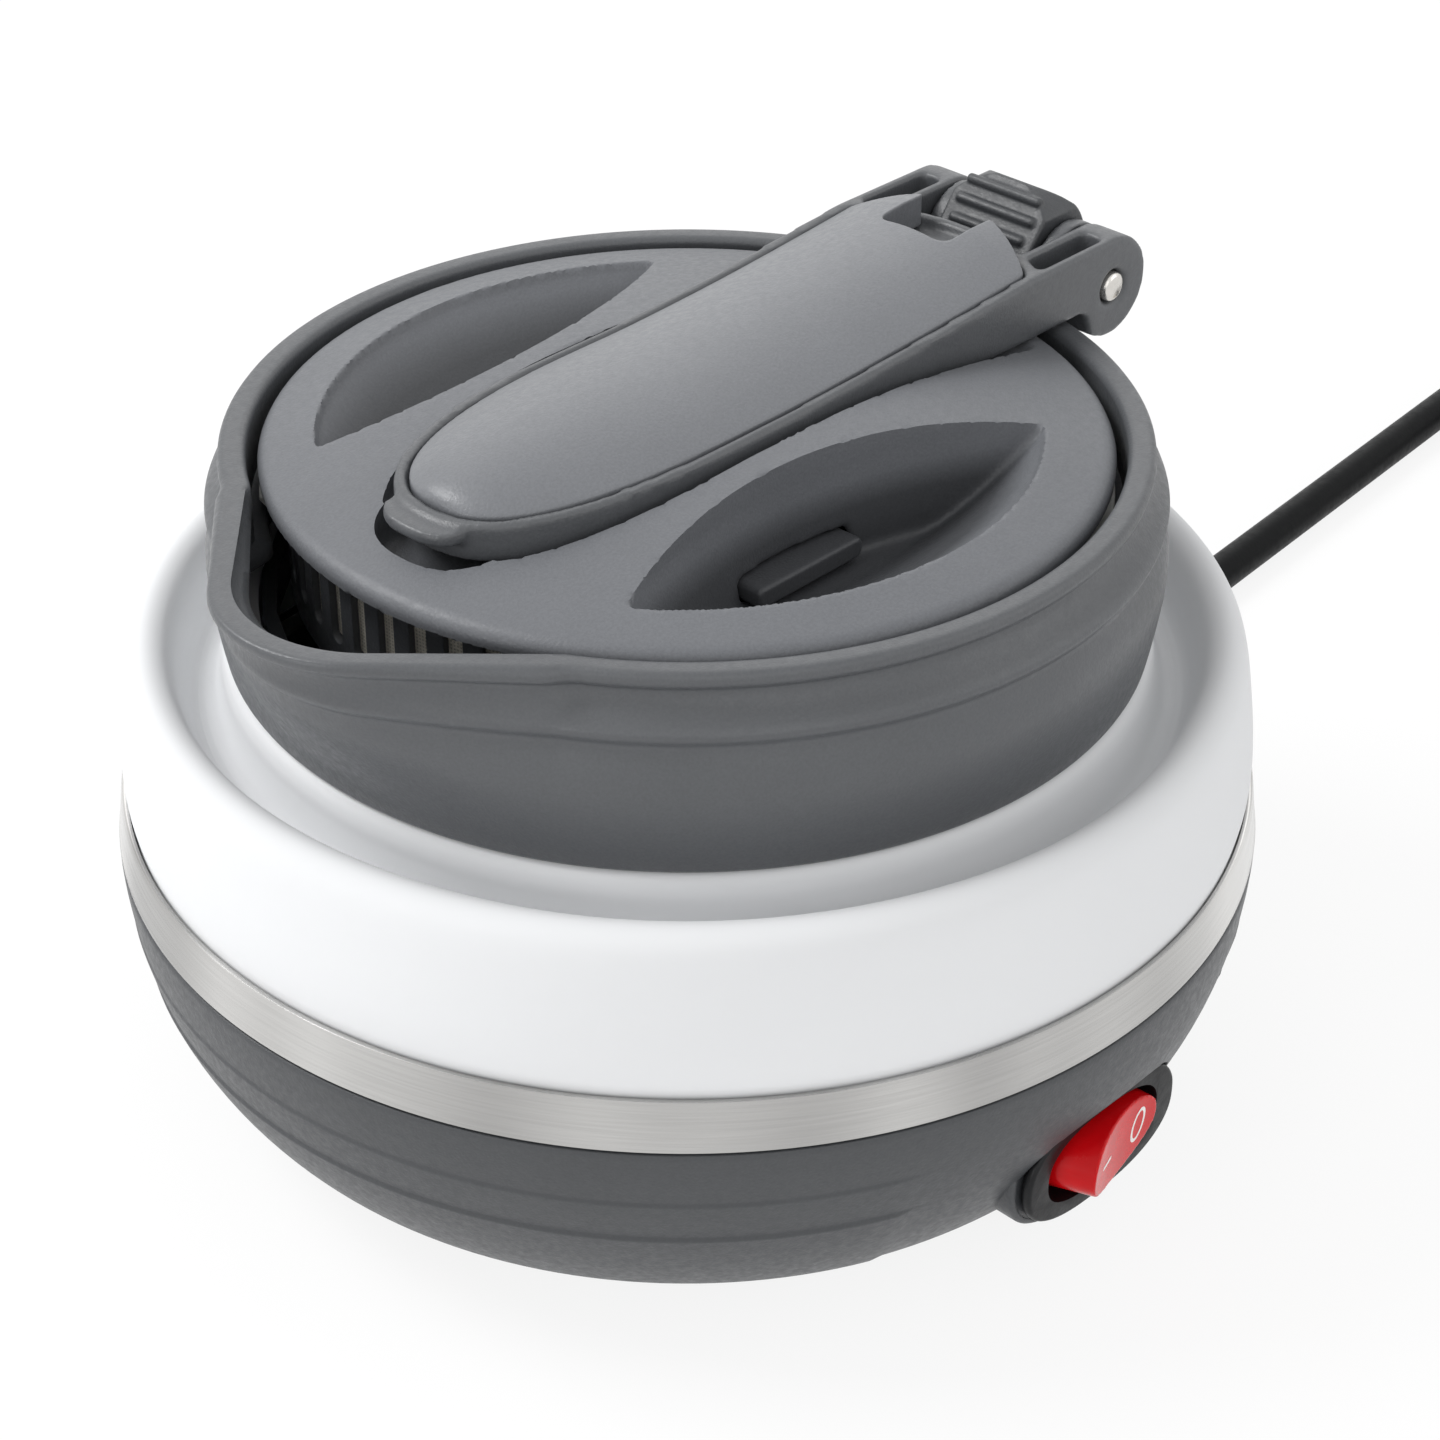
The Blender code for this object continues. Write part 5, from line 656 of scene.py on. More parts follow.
def studio_floor(name, paint):
    """Seamless pale paper: seen almost white, with the object's shadow kept."""
    material, tree = bare_material(name)
    place = add_node(tree, "ShaderNodeTexCoord").outputs["Object"]
    fibre = pattern(tree, place, 0.004, 0.995, 1.0)
    paper = add_node(tree, "ShaderNodeHueSaturation", {"Color": tuple(paint),
                                                       "Value": fibre}).outputs[0]
    lit = add_node(tree, "ShaderNodeBsdfDiffuse", {"Color": paper}).outputs[0]
    glow = add_node(tree, "ShaderNodeEmission", {"Color": tuple(paint), "Strength": 1.0}).outputs[0]
    far = add_node(tree, "ShaderNodeVectorMath", {0: place}, operation="LENGTH").outputs["Value"]
    fade = add_node(tree, "ShaderNodeMapRange", {
        "Value": far, "From Min": FLOOR_NEAR, "From Max": FLOOR_FAR, "To Min": GLOW_SHARE,
        "To Max": 1.0}).outputs[0]
    share = add_node(tree, "ShaderNodeMath", {0: seen_rays(tree), 1: fade},
                     operation="MULTIPLY").outputs[0]
    both = add_node(tree, "ShaderNodeMixShader", {0: share, 1: lit, 2: glow})
    add_node(tree, "ShaderNodeOutputMaterial", {"Surface": both.outputs[0]})
    return material


def seen_rays(tree):
    """One for rays from the camera, from gloss and through clear things, else zero."""
    path = add_node(tree, "ShaderNodeLightPath").outputs
    seen = add_node(tree, "ShaderNodeMath", {0: path["Is Camera Ray"], 1: path["Is Glossy Ray"]},
                    operation="MAXIMUM").outputs[0]
    return add_node(tree, "ShaderNodeMath", {0: seen, 1: path["Is Transmission Ray"]},
                    operation="MAXIMUM").outputs[0]


def finish_of(name):
    """The kettle's materials, each made once."""
    if name in bpy.data.materials:
        return bpy.data.materials[name]
    paints = group("colours")
    makers = {
        "dark_abs": lambda: spark_eroded_abs(name, paints.dark, 0.40),
        "dark_abs_eased": lambda: spark_eroded_abs(name, paints.bowl, 0.44, 0.0004),
        "light_abs": lambda: spark_eroded_abs(name, paints.light, 0.38),
        "lid_abs": lambda: spark_eroded_abs(name, paints.lid, 0.44, gleam=LID_GLEAM,
                                            painted_shade_top=LID_PAINTED_SHADE_TOP),
        "white_silicone": lambda: liquid_silicone(name, paints.silicone),
        "brushed_band": lambda: brushed_stainless(name, paints.steel),
        "red_polycarbonate": lambda: lit_polycarbonate(name, paints.red),
        "white_print": lambda: pad_print(name, paints.print),
        "black_nylon": lambda: satin_nylon(name, paints.black, 0.40),
        "cord_pvc": lambda: satin_nylon(name, paints.cord, 0.42, 0.0009, CORD_GLEAM),
        "rubber": lambda: satin_nylon(name, paints.rubber, 0.72, 0.0008),
        "nickel_pin": lambda: turned_metal(name, linear("#D6D3CE"), 0.22),
        "spring_wire": lambda: turned_metal(name, linear("#B9B8B6"), 0.28, (1, 1, 4)),
        "brass": lambda: turned_metal(name, linear("#D9B566"), 0.24),
        "pressed_plate": lambda: turned_metal(name, linear("#BEBDBA"), 0.34, (1, 1, 0.3)),
        "element_sheath": lambda: turned_metal(name, linear("#8E8A84"), 0.42),
        "zinc_screw": lambda: turned_metal(name, linear("#A9ACB0"), 0.30),
        "seal_silicone": lambda: clear_seal(name, linear("#BDBDB9")),
        # The gauze's pale colour is partly its own, partly painted light coming in through the
        # strainer's slots.
        "filter_gauze": lambda: woven_gauze(name, linear("#D8D3C6")),
    }
    return makers[name]()


# Stage and cord

CAMERA_PLACE, CAMERA_LOOK = (-0.2691, -0.2617, 0.2991), (0.6050, 0.5742, -0.5517)
PICTURE_RIGHT, TO_CAMERA = Vector((0.6884, -0.7254, 0.0)), Vector((-0.7254, -0.6884, 0.0))
LIGHTS_AIM = Vector((0, 0, 0.05))
# Strength of the white surroundings as a light, and as seen or mirrored.
SURROUND_LIGHT, SURROUND_SEEN = 0.60, 1.0
FLOOR_RADIUS, FLOOR_BORDER = 2.2, 1.2


def make_stage():
    """Camera, lights, white background and floor."""
    scene = bpy.context.scene
    stage = group("stage")
    camera = bpy.data.objects.new("camera", bpy.data.cameras.new("camera"))
    scene.collection.objects.link(camera)
    camera.data.lens = stage.lens
    camera.data.sensor_width = 36.0
    camera.data.clip_start = 0.01
    look = Vector(CAMERA_LOOK).normalized()
    aim = look.to_track_quat("-Z", "Y").to_matrix().to_4x4()
    camera.matrix_world = (Matrix.Translation(CAMERA_PLACE) @ aim
                           @ Matrix.Rotation(stage.roll, 4, "Z"))
    scene.camera = camera
    # Each lamp's steps to the picture's right, towards the camera and up, its power and width.
    lamps = (
        ("key", -0.75, -0.10, 0.95, stage.key, 0.50),
        ("front_fill", 0.35, 1.00, 0.60, stage.fill, 0.90),
        ("low_left", -0.62, 0.72, 0.34, stage.low, 0.22),
        ("right_fill", 1.00, 0.10, 0.55, stage.fill, 0.80),
        ("rear_fill", 0.0, -0.95, 0.70, stage.fill, 0.90),
    )
    for name, right, near, up, power, size in lamps:
        place = PICTURE_RIGHT * right + TO_CAMERA * near + Vector((0, 0, up))
        lamp = bpy.data.objects.new(name, bpy.data.lights.new(name, "AREA"))
        scene.collection.objects.link(lamp)
        lamp.data.energy = power
        lamp.data.size = size
        lamp.location = place
        lamp.rotation_euler = (LIGHTS_AIM - place).to_track_quat("-Z", "Y").to_euler()
    world = bpy.data.worlds.new("studio")
    world.use_nodes = True
    tree = world.node_tree
    tree.nodes.clear()
    soft, white = (add_node(tree, "ShaderNodeBackground", {"Color": (1, 1, 1, 1),
                                                           "Strength": strength}).outputs[0]
                   for strength in (SURROUND_LIGHT, SURROUND_SEEN))
    both = add_node(tree, "ShaderNodeMixShader", {0: seen_rays(tree), 1: soft, 2: white})
    add_node(tree, "ShaderNodeOutputWorld", {"Surface": both.outputs[0]})
    scene.world = world
    scene.view_settings.view_transform = "Standard"
    deselect_all()
    bpy.ops.mesh.primitive_circle_add(vertices=96, radius=FLOOR_RADIUS, location=(0, 0, 0),
                                      fill_type="NGON")
    floor = bpy.context.object
    floor.name = floor.data.name = "floor"
    edit(floor, "FACE")
    bpy.ops.mesh.inset(thickness=FLOOR_BORDER)
    leave(floor)
    floor.data.materials.append(studio_floor("studio_floor", group("colours").floor))


COIL_CENTRE = (0.3000, -0.0158)
COIL_OUTER, COIL_PITCH = 0.0405, 0.0074
COIL_START = radians(94)
TURNS_IN, TURNS_OUT, CLIMB_TURNS, COIL_STEPS = 1.30, 1.20, 0.5, 22
RUN_SHARES = (0.14, 0.30, 0.50, 0.70, 0.88)
TAIL_SHARES, TAIL_HEIGHTS = (0.40, 0.58, 0.74), (0.0, 0.0, 0.0060)
# Height of the cord's middle line on the floor, and the lowest that smoothing may leave.
CORD_REST, CORD_LOWEST = 0.0035, 0.00345
PLUG_PLACE, PLUG_WAY = Vector((0.2150, -0.0600, 0.0184)), Vector((-1, 0, 0))


def coil_points():
    """Middle line of the coil: inwards on the floor, up, and outwards on top."""
    count = int(ceil((TURNS_IN + TURNS_OUT) * COIL_STEPS))
    points = []
    for i in range(count + 1):
        run = i / count * (TURNS_IN + TURNS_OUT)
        angle = COIL_START - 2 * pi * run
        radius = COIL_OUTER - COIL_PITCH * (TURNS_IN - abs(run - TURNS_IN))
        climb = min(max((run - TURNS_IN + CLIMB_TURNS / 2) / CLIMB_TURNS, 0.0), 1.0)
        points.append(Vector((COIL_CENTRE[0] + radius * cos(angle),
                              COIL_CENTRE[1] + radius * sin(angle),
                              CORD_REST + COIL_PITCH * climb)))
    return points


def cord_route(start, way, knots, end, end_way):
    """A smooth stretch of cord whose ends are straight and square to what they meet."""
    lead = group("cord").radius * 2
    first, last = start + way * lead, end - end_way * lead
    fine = smooth_line([first, first + way * lead] + knots + [last - end_way * lead, last], 24)
    run = np.concatenate([[0.0], np.cumsum([(b - a).length for a, b in zip(fine, fine[1:])])])
    count = max(int(round(run[-1] / (lead * 2.5))), 2)
    wanted = np.linspace(0, run[-1], count + 1)
    x, y, z = (np.interp(wanted, run, [point[k] for point in fine]) for k in range(3))
    return [start] + [Vector(place) for place in zip(x, y, np.maximum(z, CORD_REST))] + [end]


def make_cord():
    """Cord with its whole route, its strain relief and a generic plug."""
    cord = group("cord")
    turn_out = Matrix.Rotation(cord.angle, 4, "Z")
    heading = turn_out @ Vector((1, 0, 0))
    exit_place = heading * cord.exit_radius + Vector((0, 0, cord.exit_height))
    coil = coil_points()
    into = (coil[1] - coil[0]).normalized()
    knots = [exit_place.lerp(coil[0], share) for share in RUN_SHARES]
    for knot in knots:
        knot.z = CORD_REST
    run = cord_route(exit_place, heading, knots, coil[0], into)
    out = (coil[-1] - coil[-2]).normalized()
    knots = [coil[-1].lerp(PLUG_PLACE, share) for share in TAIL_SHARES]
    for knot, height in zip(knots, TAIL_HEIGHTS):
        knot.z = CORD_REST + height
    tail = cord_route(coil[-1], out, knots, PLUG_PLACE, PLUG_WAY)
    route = smooth_line(run[:-1] + coil + tail[1:], 4)
    curve = bpy.data.curves.new("mains_cord", "CURVE")
    curve.dimensions = "3D"
    curve.bevel_depth = cord.radius
    curve.bevel_resolution = 6
    curve.use_fill_caps = True
    spline = curve.splines.new("POLY")
    spline.points.add(len(route) - 1)
    for target, point in zip(spline.points, route):
        target.co = (point.x, point.y, max(point.z, CORD_LOWEST), 1.0)
    spline.use_smooth = True
    item = bpy.data.objects.new("mains_cord", curve)
    bpy.context.scene.collection.objects.link(item)
    finish_piece(item, "base", "cord_pvc", "black_rubber", "power_cord", "cord_coil",
                 "cord_tail")

    relief = relief_sleeve(turn_out)
    body = plug_body()
    pins = [plug_pin("plug_pin_%d" % number, sign) for number, sign in ((1, -1), (2, 1))]
    finish_piece(relief, "base", "black_nylon", "black_rubber", "strain_relief", angle=35)
    finish_piece(body, "base", "black_nylon", "black_rubber", "plug_body", angle=35)
    for number, pin in enumerate(pins, start=1):
        finish_piece(pin, "base", "brass", "brass", "plug_pin_%d" % number, angle=35)


def relief_sleeve(turn_out):
    """Ribbed sleeve with a flange outside the bowl and a taper behind it."""
    start, flange, tip = 0.0745, 0.0773, 0.1007
    profile = [(0.0034, start), (0.0056, start), (0.0056, flange), (0.0065, flange),
               (0.0068, flange + 0.0004), (0.0068, flange + 0.0018), (0.0063, flange + 0.0024)]
    first = flange + 0.0024
    pitch = (tip - first) / 5
    for i in range(5):
        radius = 0.0056 + (0.0045 - 0.0056) * i / 4
        x = first + i * pitch
        profile += [(radius - 0.0008, x + 0.0003), (radius - 0.0008, x + pitch * 0.38),
                    (radius - 0.0002, x + pitch * 0.45), (radius, x + pitch * 0.58),
                    (radius, x + pitch * 0.86), (radius - 0.0003, x + pitch * 0.98)]
    profile.append((0.0034, tip))
    sleeve = turned("cord_relief", profile, 48)
    lift = Matrix.Translation((0, 0, group("cord").exit_height))
    return settle(sleeve, turn_out @ lift @ Matrix.Rotation(pi / 2, 4, "Y"))


def plug_body():
    """Round moulded plug with a ribbed grip and a dished face."""
    profile = [(0.0, 0.0), (0.0054, 0.0), (0.0062, 0.0008)]
    for i in range(3):
        x = 0.0022 + i * 0.0036
        profile += [(0.0062, x), (0.0055, x + 0.0004), (0.0055, x + 0.0016), (0.0062, x + 0.0020)]
    profile += [(0.0064, 0.0130), (0.0092, 0.0140), (0.0132, 0.0156), (0.0150, 0.0180)]
    for i in range(2):
        x = 0.0190 + i * 0.0026
        profile += [(0.0150, x), (0.0144, x + 0.0004), (0.0144, x + 0.0010), (0.0150, x + 0.0014)]
    profile += [(0.0152, 0.0247), (0.0178, 0.0266), (0.0184, 0.0274), (0.0184, 0.0332),
                (0.0178, 0.0339), (0.0150, 0.0340), (0.0146, 0.0336), (0.0, 0.0336)]
    body = turned("plug_grip", profile, 96, closed=False)
    return settle(body, Matrix.Translation(PLUG_PLACE) @ facing(PLUG_WAY))


def plug_pin(name, sign):
    """A round contact pin with a bevelled tip and a sleeve mark."""
    start = PLUG_PLACE + PLUG_WAY * 0.0343 + PLUG_WAY.cross(Vector((0, 0, 1))) * (sign * 0.0095)
    pin = turned(name + "_shown", [(0.0, 0.0), (0.0024, 0.0), (0.0024, 0.0085), (0.0022, 0.0088),
                                   (0.0022, 0.0170), (0.0019, 0.0183), (0.0011, 0.0190),
                                   (0.0, 0.0190)], 40, closed=False)
    return settle(pin, Matrix.Translation(start) @ facing(PLUG_WAY))


# Base

# Power of the bowl's side view: 2 would be a plain ellipse.
BOWL_POWER = 1.85
# The belt's share, and where over belt_high it starts and stops to draw in.
BELT_STEPS = ((0.62, 0.0002, 0.0009), (0.38, 0.0073, 0.0080))


def bowl_radius(height, inset=0.0):
    """Outer radius of the bowl at a height: a full quarter oval, drawn in by inset."""
    base = group("base")
    share = min(max((base.bowl_top - height) / (base.bowl_top - base.bowl_low), 0.0), 1.0)
    out = (1 - share ** BOWL_POWER) ** (1 / BOWL_POWER)
    return base.bowl_floor + (base.bowl_radius - base.bowl_floor) * out - inset


def belted(place):
    """Push a point of the bowl's outside out by the grip belt, which has two low steps."""
    base = group("base")
    radius = sqrt(place.x ** 2 + place.y ** 2)
    if radius < bowl_radius(place.z) - 0.0008:
        return place
    angle = atan2(place.y, place.x)
    nearest = min(abs(angle + pi / 2), abs(angle - group("cord").angle))
    round_share = smoothstep(nearest, radians(24), radians(26.5))
    up_share = smoothstep(place.z, base.belt_low, base.belt_low + 0.0025)
    steps = sum(share * (1 - smoothstep(place.z, base.belt_high + low, base.belt_high + high))
                for share, low, high in BELT_STEPS)
    rise = base.belt_rise * up_share * steps * round_share
    grown = (radius + rise) / radius
    return Vector((place.x * grown, place.y * grown, place.z))


def bowl_hollow():
    """The room inside the bowl, as a cutting tool."""
    base = group("base")
    line = [(bowl_radius(z, base.bowl_wall), z)
            for z in np.linspace(base.bowl_low + 0.002, base.bowl_top, 24)]
    return turned("hollow", [(0.0, base.bowl_low)] + line + [(0.0, base.bowl_top)], 128,
                  closed=False)


def switch_oval(margin=0.0):
    switch = group("switch")
    return shifted(oval(switch.half_length + margin, switch.half_height + margin), 0.0,
                   switch.height)


def make_bowl():
    """Bowl with its grip belt, the flat oval seat of the switch and the cord's boss."""
    base, switch = group("base"), group("switch")
    depth = base.bowl_top - base.bowl_low
    heights = sorted([base.bowl_top - depth * sin(a) for a in np.linspace(pi / 2, 0.03, 56)]
                     + list(np.arange(0.0066, 0.0102, 0.0006))
                     + list(np.arange(0.0226, 0.0250, 0.0002))
                     + list(np.arange(0.0299, 0.0320, 0.0002)))
    outer = [(bowl_radius(z), z) for z in heights if z < base.bowl_top - 0.0006]
    outer += [(base.bowl_radius, base.bowl_top - 0.0005),
              (base.bowl_radius - 0.00015, base.bowl_top - 0.00015),
              (base.bowl_radius - 0.0005, base.bowl_top)]
    rim_top = base.bowl_low + 0.0050
    inner = [(bowl_radius(z, base.bowl_wall), z) for z in np.linspace(base.bowl_top, rim_top, 24)]
    ledge = base.bowl_floor - base.bowl_wall
    inner += [(ledge, rim_top), (ledge, base.bowl_low)]
    bowl = carried(turned("bowl", outer + inner, 192), belted)

    face = switch.face
    seat = round_edges(extruded("seat", switch_oval(0.0013), face, face + 0.0120, "Y"), 0.0006)
    hollow = bowl_hollow()
    radius = base.bowl_radius
    cut(hollow, box("face_room", (-radius, -radius, 0.0), (radius, face + 0.0030, base.bowl_top)))
    join(bowl, cut(seat, hollow))
    front = -radius - 0.002
    sink = extruded("sink", switch_oval(0.0004), front, face + 0.0001, "Y")
    window = extruded("window", shifted(rounded_box(0.0133, 0.0077, 0.0030), 0.0, switch.height),
                      front, face + 0.0140, "Y")
    cut(bowl, sink, window)

    out = Matrix.Rotation(group("cord").angle, 4, "Z")
    up = Vector((0, 0, group("cord").exit_height))
    boss = bar("boss", 0.0092, out @ Vector((0.0650, 0, 0)) + up, out @ Vector((0.0770, 0, 0)) + up)
    join(bowl, cut(round_edges(boss, 0.0005), bowl_hollow()))
    cut(bowl, bar("cord_hole", 0.0059, out @ Vector((0.0600, 0, 0)) + up,
                  out @ Vector((0.0800, 0, 0)) + up))
    clean(bowl)
    finish_piece(bowl, "base", "dark_abs_eased", "dark_grey_plastic", "base_shell",
                 angle=32)


def make_steel_band():
    """Rolled steel band with turned-in edges."""
    base = group("base")
    low, high, wide = base.band_low, base.band_high, base.bowl_radius
    narrow = wide - base.band_draw
    outer = [(wide - 0.0004, low), (wide - 0.0001, low + 0.0001), (wide, low + 0.0004)]
    outer += [(wide + (narrow - wide) * t, low + (high - low) * t)
              for t in np.linspace(0.10, 0.90, 12)]
    outer += [(narrow, high - 0.0004), (narrow - 0.0001, high - 0.0001), (narrow - 0.0004, high)]
    inner = [(narrow - 0.0008, high - 0.0001), (wide - 0.0008, low + 0.0001)]
    band = turned("steel_band_shown", outer + inner, 256)
    finish_piece(band, "base", "brushed_band", "steel", "steel_band", angle=35)


def make_underside():
    """Finishes of the bottom cover, its screws and its feet."""
    dress_node("bottom_cover", "dark_abs")
    for number in range(1, 5):
        dress_node("foot_%d" % number, "rubber")
    for number in range(1, 4):
        dress_node("cover_screw_%d" % number, "zinc_screw")


def make_heater():
    """Finishes of the heating plate and of what lies under it."""
    dress_node("heating_plate", "pressed_plate")
    dress_node("heating_element", "element_sheath")
    dress_node("thermostat", "zinc_screw")
    dress_node("base_seal", "seal_silicone")


# Silicone

SILICONE_OUTSIDE = (
    (0.0785, 0.0417), (0.0785, 0.0450), (0.0785, 0.0478), (0.0789, 0.0500), (0.0790, 0.0530),
    (0.0787, 0.0575), (0.0781, 0.0622), (0.0774, 0.0663), (0.0766, 0.0686), (0.0752, 0.0697),
    (0.0736, 0.0692), (0.0726, 0.0674), (0.0719, 0.0651), (0.0712, 0.0629), (0.0702, 0.0615),
    (0.0689, 0.0609))
SILICONE_INSIDE = (
    (0.0689, 0.0609), (0.0676, 0.0608), (0.0664, 0.0613), (0.0655, 0.0624), (0.0648, 0.0640),
    (0.0643, 0.0658), (0.0640, 0.0678), (0.0634, 0.0693), (0.0615, 0.0697),
    (0.0605, 0.0705), (0.0603, 0.0725), (0.0603, 0.0752))


# How far the wall's free part waves in and out.
SILICONE_SWAY = 0.00013


def silicone_wall(name, line):
    """Turn a middle line and give it the silicone's thickness."""
    middle = [(point.x, point.y) for point in smooth_line([(r, z, 0) for r, z in line], 6)]
    wall = turned(name, middle, 240, closed=False)

    def relaxed(place):
        """Let the free part of the wall wave a little, as soft silicone does."""
        angle = atan2(place.y, place.x)
        free = smoothstep(place.z, 0.052, 0.062)
        radius = sqrt(place.x ** 2 + place.y ** 2)
        sway = SILICONE_SWAY * free * (sin(3 * angle + 0.6) + 0.6 * sin(7 * angle))
        return Vector((place.x * (1 + sway / radius), place.y * (1 + sway / radius), place.z))

    if line is SILICONE_OUTSIDE:
        carried(wall, relaxed)
    modified(wall, "SOLIDIFY", thickness=group("base").silicone_wall, offset=0.0,
             use_even_offset=True)
    return clean(wall)


def make_silicone():
    """The folded soft wall: its outside stays with the base; its inside is given no body."""
    outside = silicone_wall("silicone_outside", SILICONE_OUTSIDE)
    finish_piece(outside, "base", "white_silicone", "white_silicone", "silicone_body",
                 angle=50)
    inside = silicone_wall("silicone_inside", SILICONE_INSIDE)
    finish_piece(inside, None, "white_silicone", "white_silicone", "silicone_body",
                 angle=50)
    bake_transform(inside)


# Collar with spout

COLLAR_OUTSIDE = (
    (0.0638, 0.0706), (0.0642, 0.0708), (0.0644, 0.0712), (0.0648, 0.0735), (0.0653, 0.0768),
    (0.0657, 0.0800), (0.0658, 0.0825), (0.06575, 0.0845), (0.0654, 0.0862), (0.0649, 0.0876),
    (0.0645, 0.0886), (0.0644, 0.0892), (0.06455, 0.0897), (0.06495, 0.0902), (0.0653, 0.0907),
    (0.06535, 0.0912), (0.0651, 0.0918), (0.0645, 0.0924), (0.0637, 0.0931), (0.0629, 0.0939),
    (0.0623, 0.0947), (0.06195, 0.0954), (0.0619, 0.0959), (0.0621, 0.0963), (0.0626, 0.0966),
    (0.06295, 0.0970), (0.0631, 0.0976), (0.0630, 0.0982), (0.0627, 0.0986), (0.0623, 0.0988),
    (0.0617, 0.0988))


def collar_outside(height):
    radii, heights = zip(*COLLAR_OUTSIDE)
    return float(np.interp(height, heights, radii))


def spout_reach(angle):
    """How far the rim's outline stands out from the round rim at an angle."""
    collar = group("collar")
    off = abs(abs(angle) - pi)
    if off >= collar.half_angle:
        return 0.0
    centre = collar.tip_reach - collar.tip_radius
    corner = Vector((collar.rim * cos(collar.half_angle), collar.rim * sin(collar.half_angle)))
    to_centre = Vector((centre, 0.0)) - corner
    lean = asin(collar.tip_radius / to_centre.length)
    heading = atan2(to_centre.y, to_centre.x) + lean
    ray, edge = Vector((cos(off), sin(off))), Vector((cos(heading), sin(heading)))
    on_edge = (corner.x * edge.y - corner.y * edge.x) / (ray.x * edge.y - ray.y * edge.x)
    across = centre * sin(off)
    on_tip = centre * cos(off) + sqrt(max(collar.tip_radius ** 2 - across ** 2, 0.0))
    touch = corner + edge * (to_centre.length * cos(lean))
    return max((on_tip if off < atan2(touch.y, touch.x) else on_edge) - collar.rim, 0.0)


# The lip band's rise, the heights between which it grows, and where it draws in again.
LIP_RISE, LIP_LOW, LIP_FULL, LIP_DRAWN = 0.0010, 0.0915, 0.0950, 0.0970
# Points this near to the collar's outside belong to it.
SKIN = 0.0006


def spouted(place):
    """Carry a point of the round collar out to the spout."""
    collar = group("collar")
    radius = sqrt(place.x ** 2 + place.y ** 2)
    angle = atan2(place.y, place.x)
    reach = spout_reach(angle)
    share = min(max((place.z - collar.root) / (collar.top - collar.root), 0.0), 1.0) ** 1.35
    moved = radius + reach * share
    off = abs(abs(angle) - pi)
    if radius > collar_outside(place.z) - SKIN:
        # The raised lip band runs round the spout and fades out at its root.
        root = 1 - smoothstep(off, collar.half_angle - radians(1.5), collar.half_angle + radians(2))
        moved += LIP_RISE * root * (smoothstep(place.z, LIP_LOW, LIP_FULL)
                                    - 0.5 * smoothstep(place.z, LIP_DRAWN, collar.top))
    open_end = collar.half_angle + radians(1)
    if off < open_end:
        open_share = 1 - smoothstep(off, collar.half_angle - radians(5), open_end)
        inside = collar_outside(place.z) - collar.wall + reach * share
        if radius < inside and place.z > collar.root:
            moved = max(moved, moved + (inside - moved) * open_share)
    return Vector((moved * cos(angle), moved * sin(angle), place.z))


def make_collar():
    """Rigid upper ring: one turned wall carried out to the pouring spout."""
    collar = group("collar")
    top, seat, bead = collar.top, collar.seat, collar.bead
    step = COLLAR_OUTSIDE[1][0] - collar.wall
    upright = np.linspace(top - 0.0012, 0.0899, 8)
    inner = [(0.0605, top), (seat + 0.0006, top - 0.0001), (seat + 0.0002, top - 0.0004),
             (seat, top - 0.0009)]
    inner += [(seat, z) for z in upright]
    inner += [(bead + 0.0004, 0.0891), (bead, 0.0887), (bead, 0.0871), (bead + 0.0003, 0.0868)]
    inner += [(0.0657 - collar.wall, z) for z in np.linspace(0.0859, 0.0810, 5)]
    inner += [(step, 0.0783), (step, 0.0745), (step, collar.low)]
    ring = turned("collar_ring", list(COLLAR_OUTSIDE) + inner, 360)
    carried(ring, spouted)
    clean(ring)
    finish_piece(ring, "collar", "dark_abs", "dark_grey_plastic", "collar_shell",
                 angle=48)
    dress_node("collar_clamp_ring", "dark_abs")


# Handle's outline, shared by the lid's trough

HANDLE_FULL_X = -0.0060
FLARE_X, END_X, END_RADIUS = 0.0200, 0.0582, 0.0300
HANDLE_REAR_X, HOLLOW_REAR_X = 0.0510, 0.0460
REAR_HALF_WIDTH, END_HALF_WIDTH = 0.0186, 0.0206


def half_width(x, inset=0.0, flare=1.0):
    """Half the grip's width at a place along it: a round nose, then sides that flare out."""
    handle = group("handle")
    front = handle.front + inset
    share = min(max((HANDLE_FULL_X - x) / (HANDLE_FULL_X - front), 0.0), 1.0)
    nose = (1 - share ** 2.5) ** (1 / 2.5)
    wider = smoothstep(x, FLARE_X, HANDLE_REAR_X) * (REAR_HALF_WIDTH - handle.half_width) * flare
    return (handle.half_width - inset) * nose + wider


def grip_outline(inset, front_gap, rear, flare=1.0, steps=44):
    """The grip's outline seen from above, with points close together round the nose."""
    front = group("handle").front + front_gap
    stations = [front + (HANDLE_FULL_X - front) * share
                for share in np.linspace(0, 1, steps + 1)[1:] ** 2.2]
    stations += list(np.linspace(HANDLE_FULL_X, rear, 28)[1:])
    side = [(x, half_width(x, inset, flare)) for x in stations]
    return [(x, -y) for x, y in side] + [(x, y) for x, y in side[::-1]] + [(front, 0.0)]


def end_x(y, inset=0.0):
    """Where the rounded rear end of the grip lies at a distance from the middle plane."""
    return END_X - END_RADIUS + sqrt((END_RADIUS - inset) ** 2 - y ** 2)


def end_outline(inset=0.0):
    """The handle's outline seen from above as far as its rear end rounds it off."""
    half, ahead = END_HALF_WIDTH, -0.095
    across = np.linspace(-half, half, 49)
    return [(ahead, -half)] + [(end_x(y, inset), y) for y in across] + [(ahead, half)]


def rim_height(x):
    """Height of the handle's rim: low at the nose, rising to the hinge, level over it."""
    handle = group("handle")
    if x < 0:
        return handle.rim - 0.0013 * (x / handle.front) ** 2
    return handle.rim + 0.0030 * min(x / HANDLE_REAR_X, 1.0) ** 1.5


# Lid

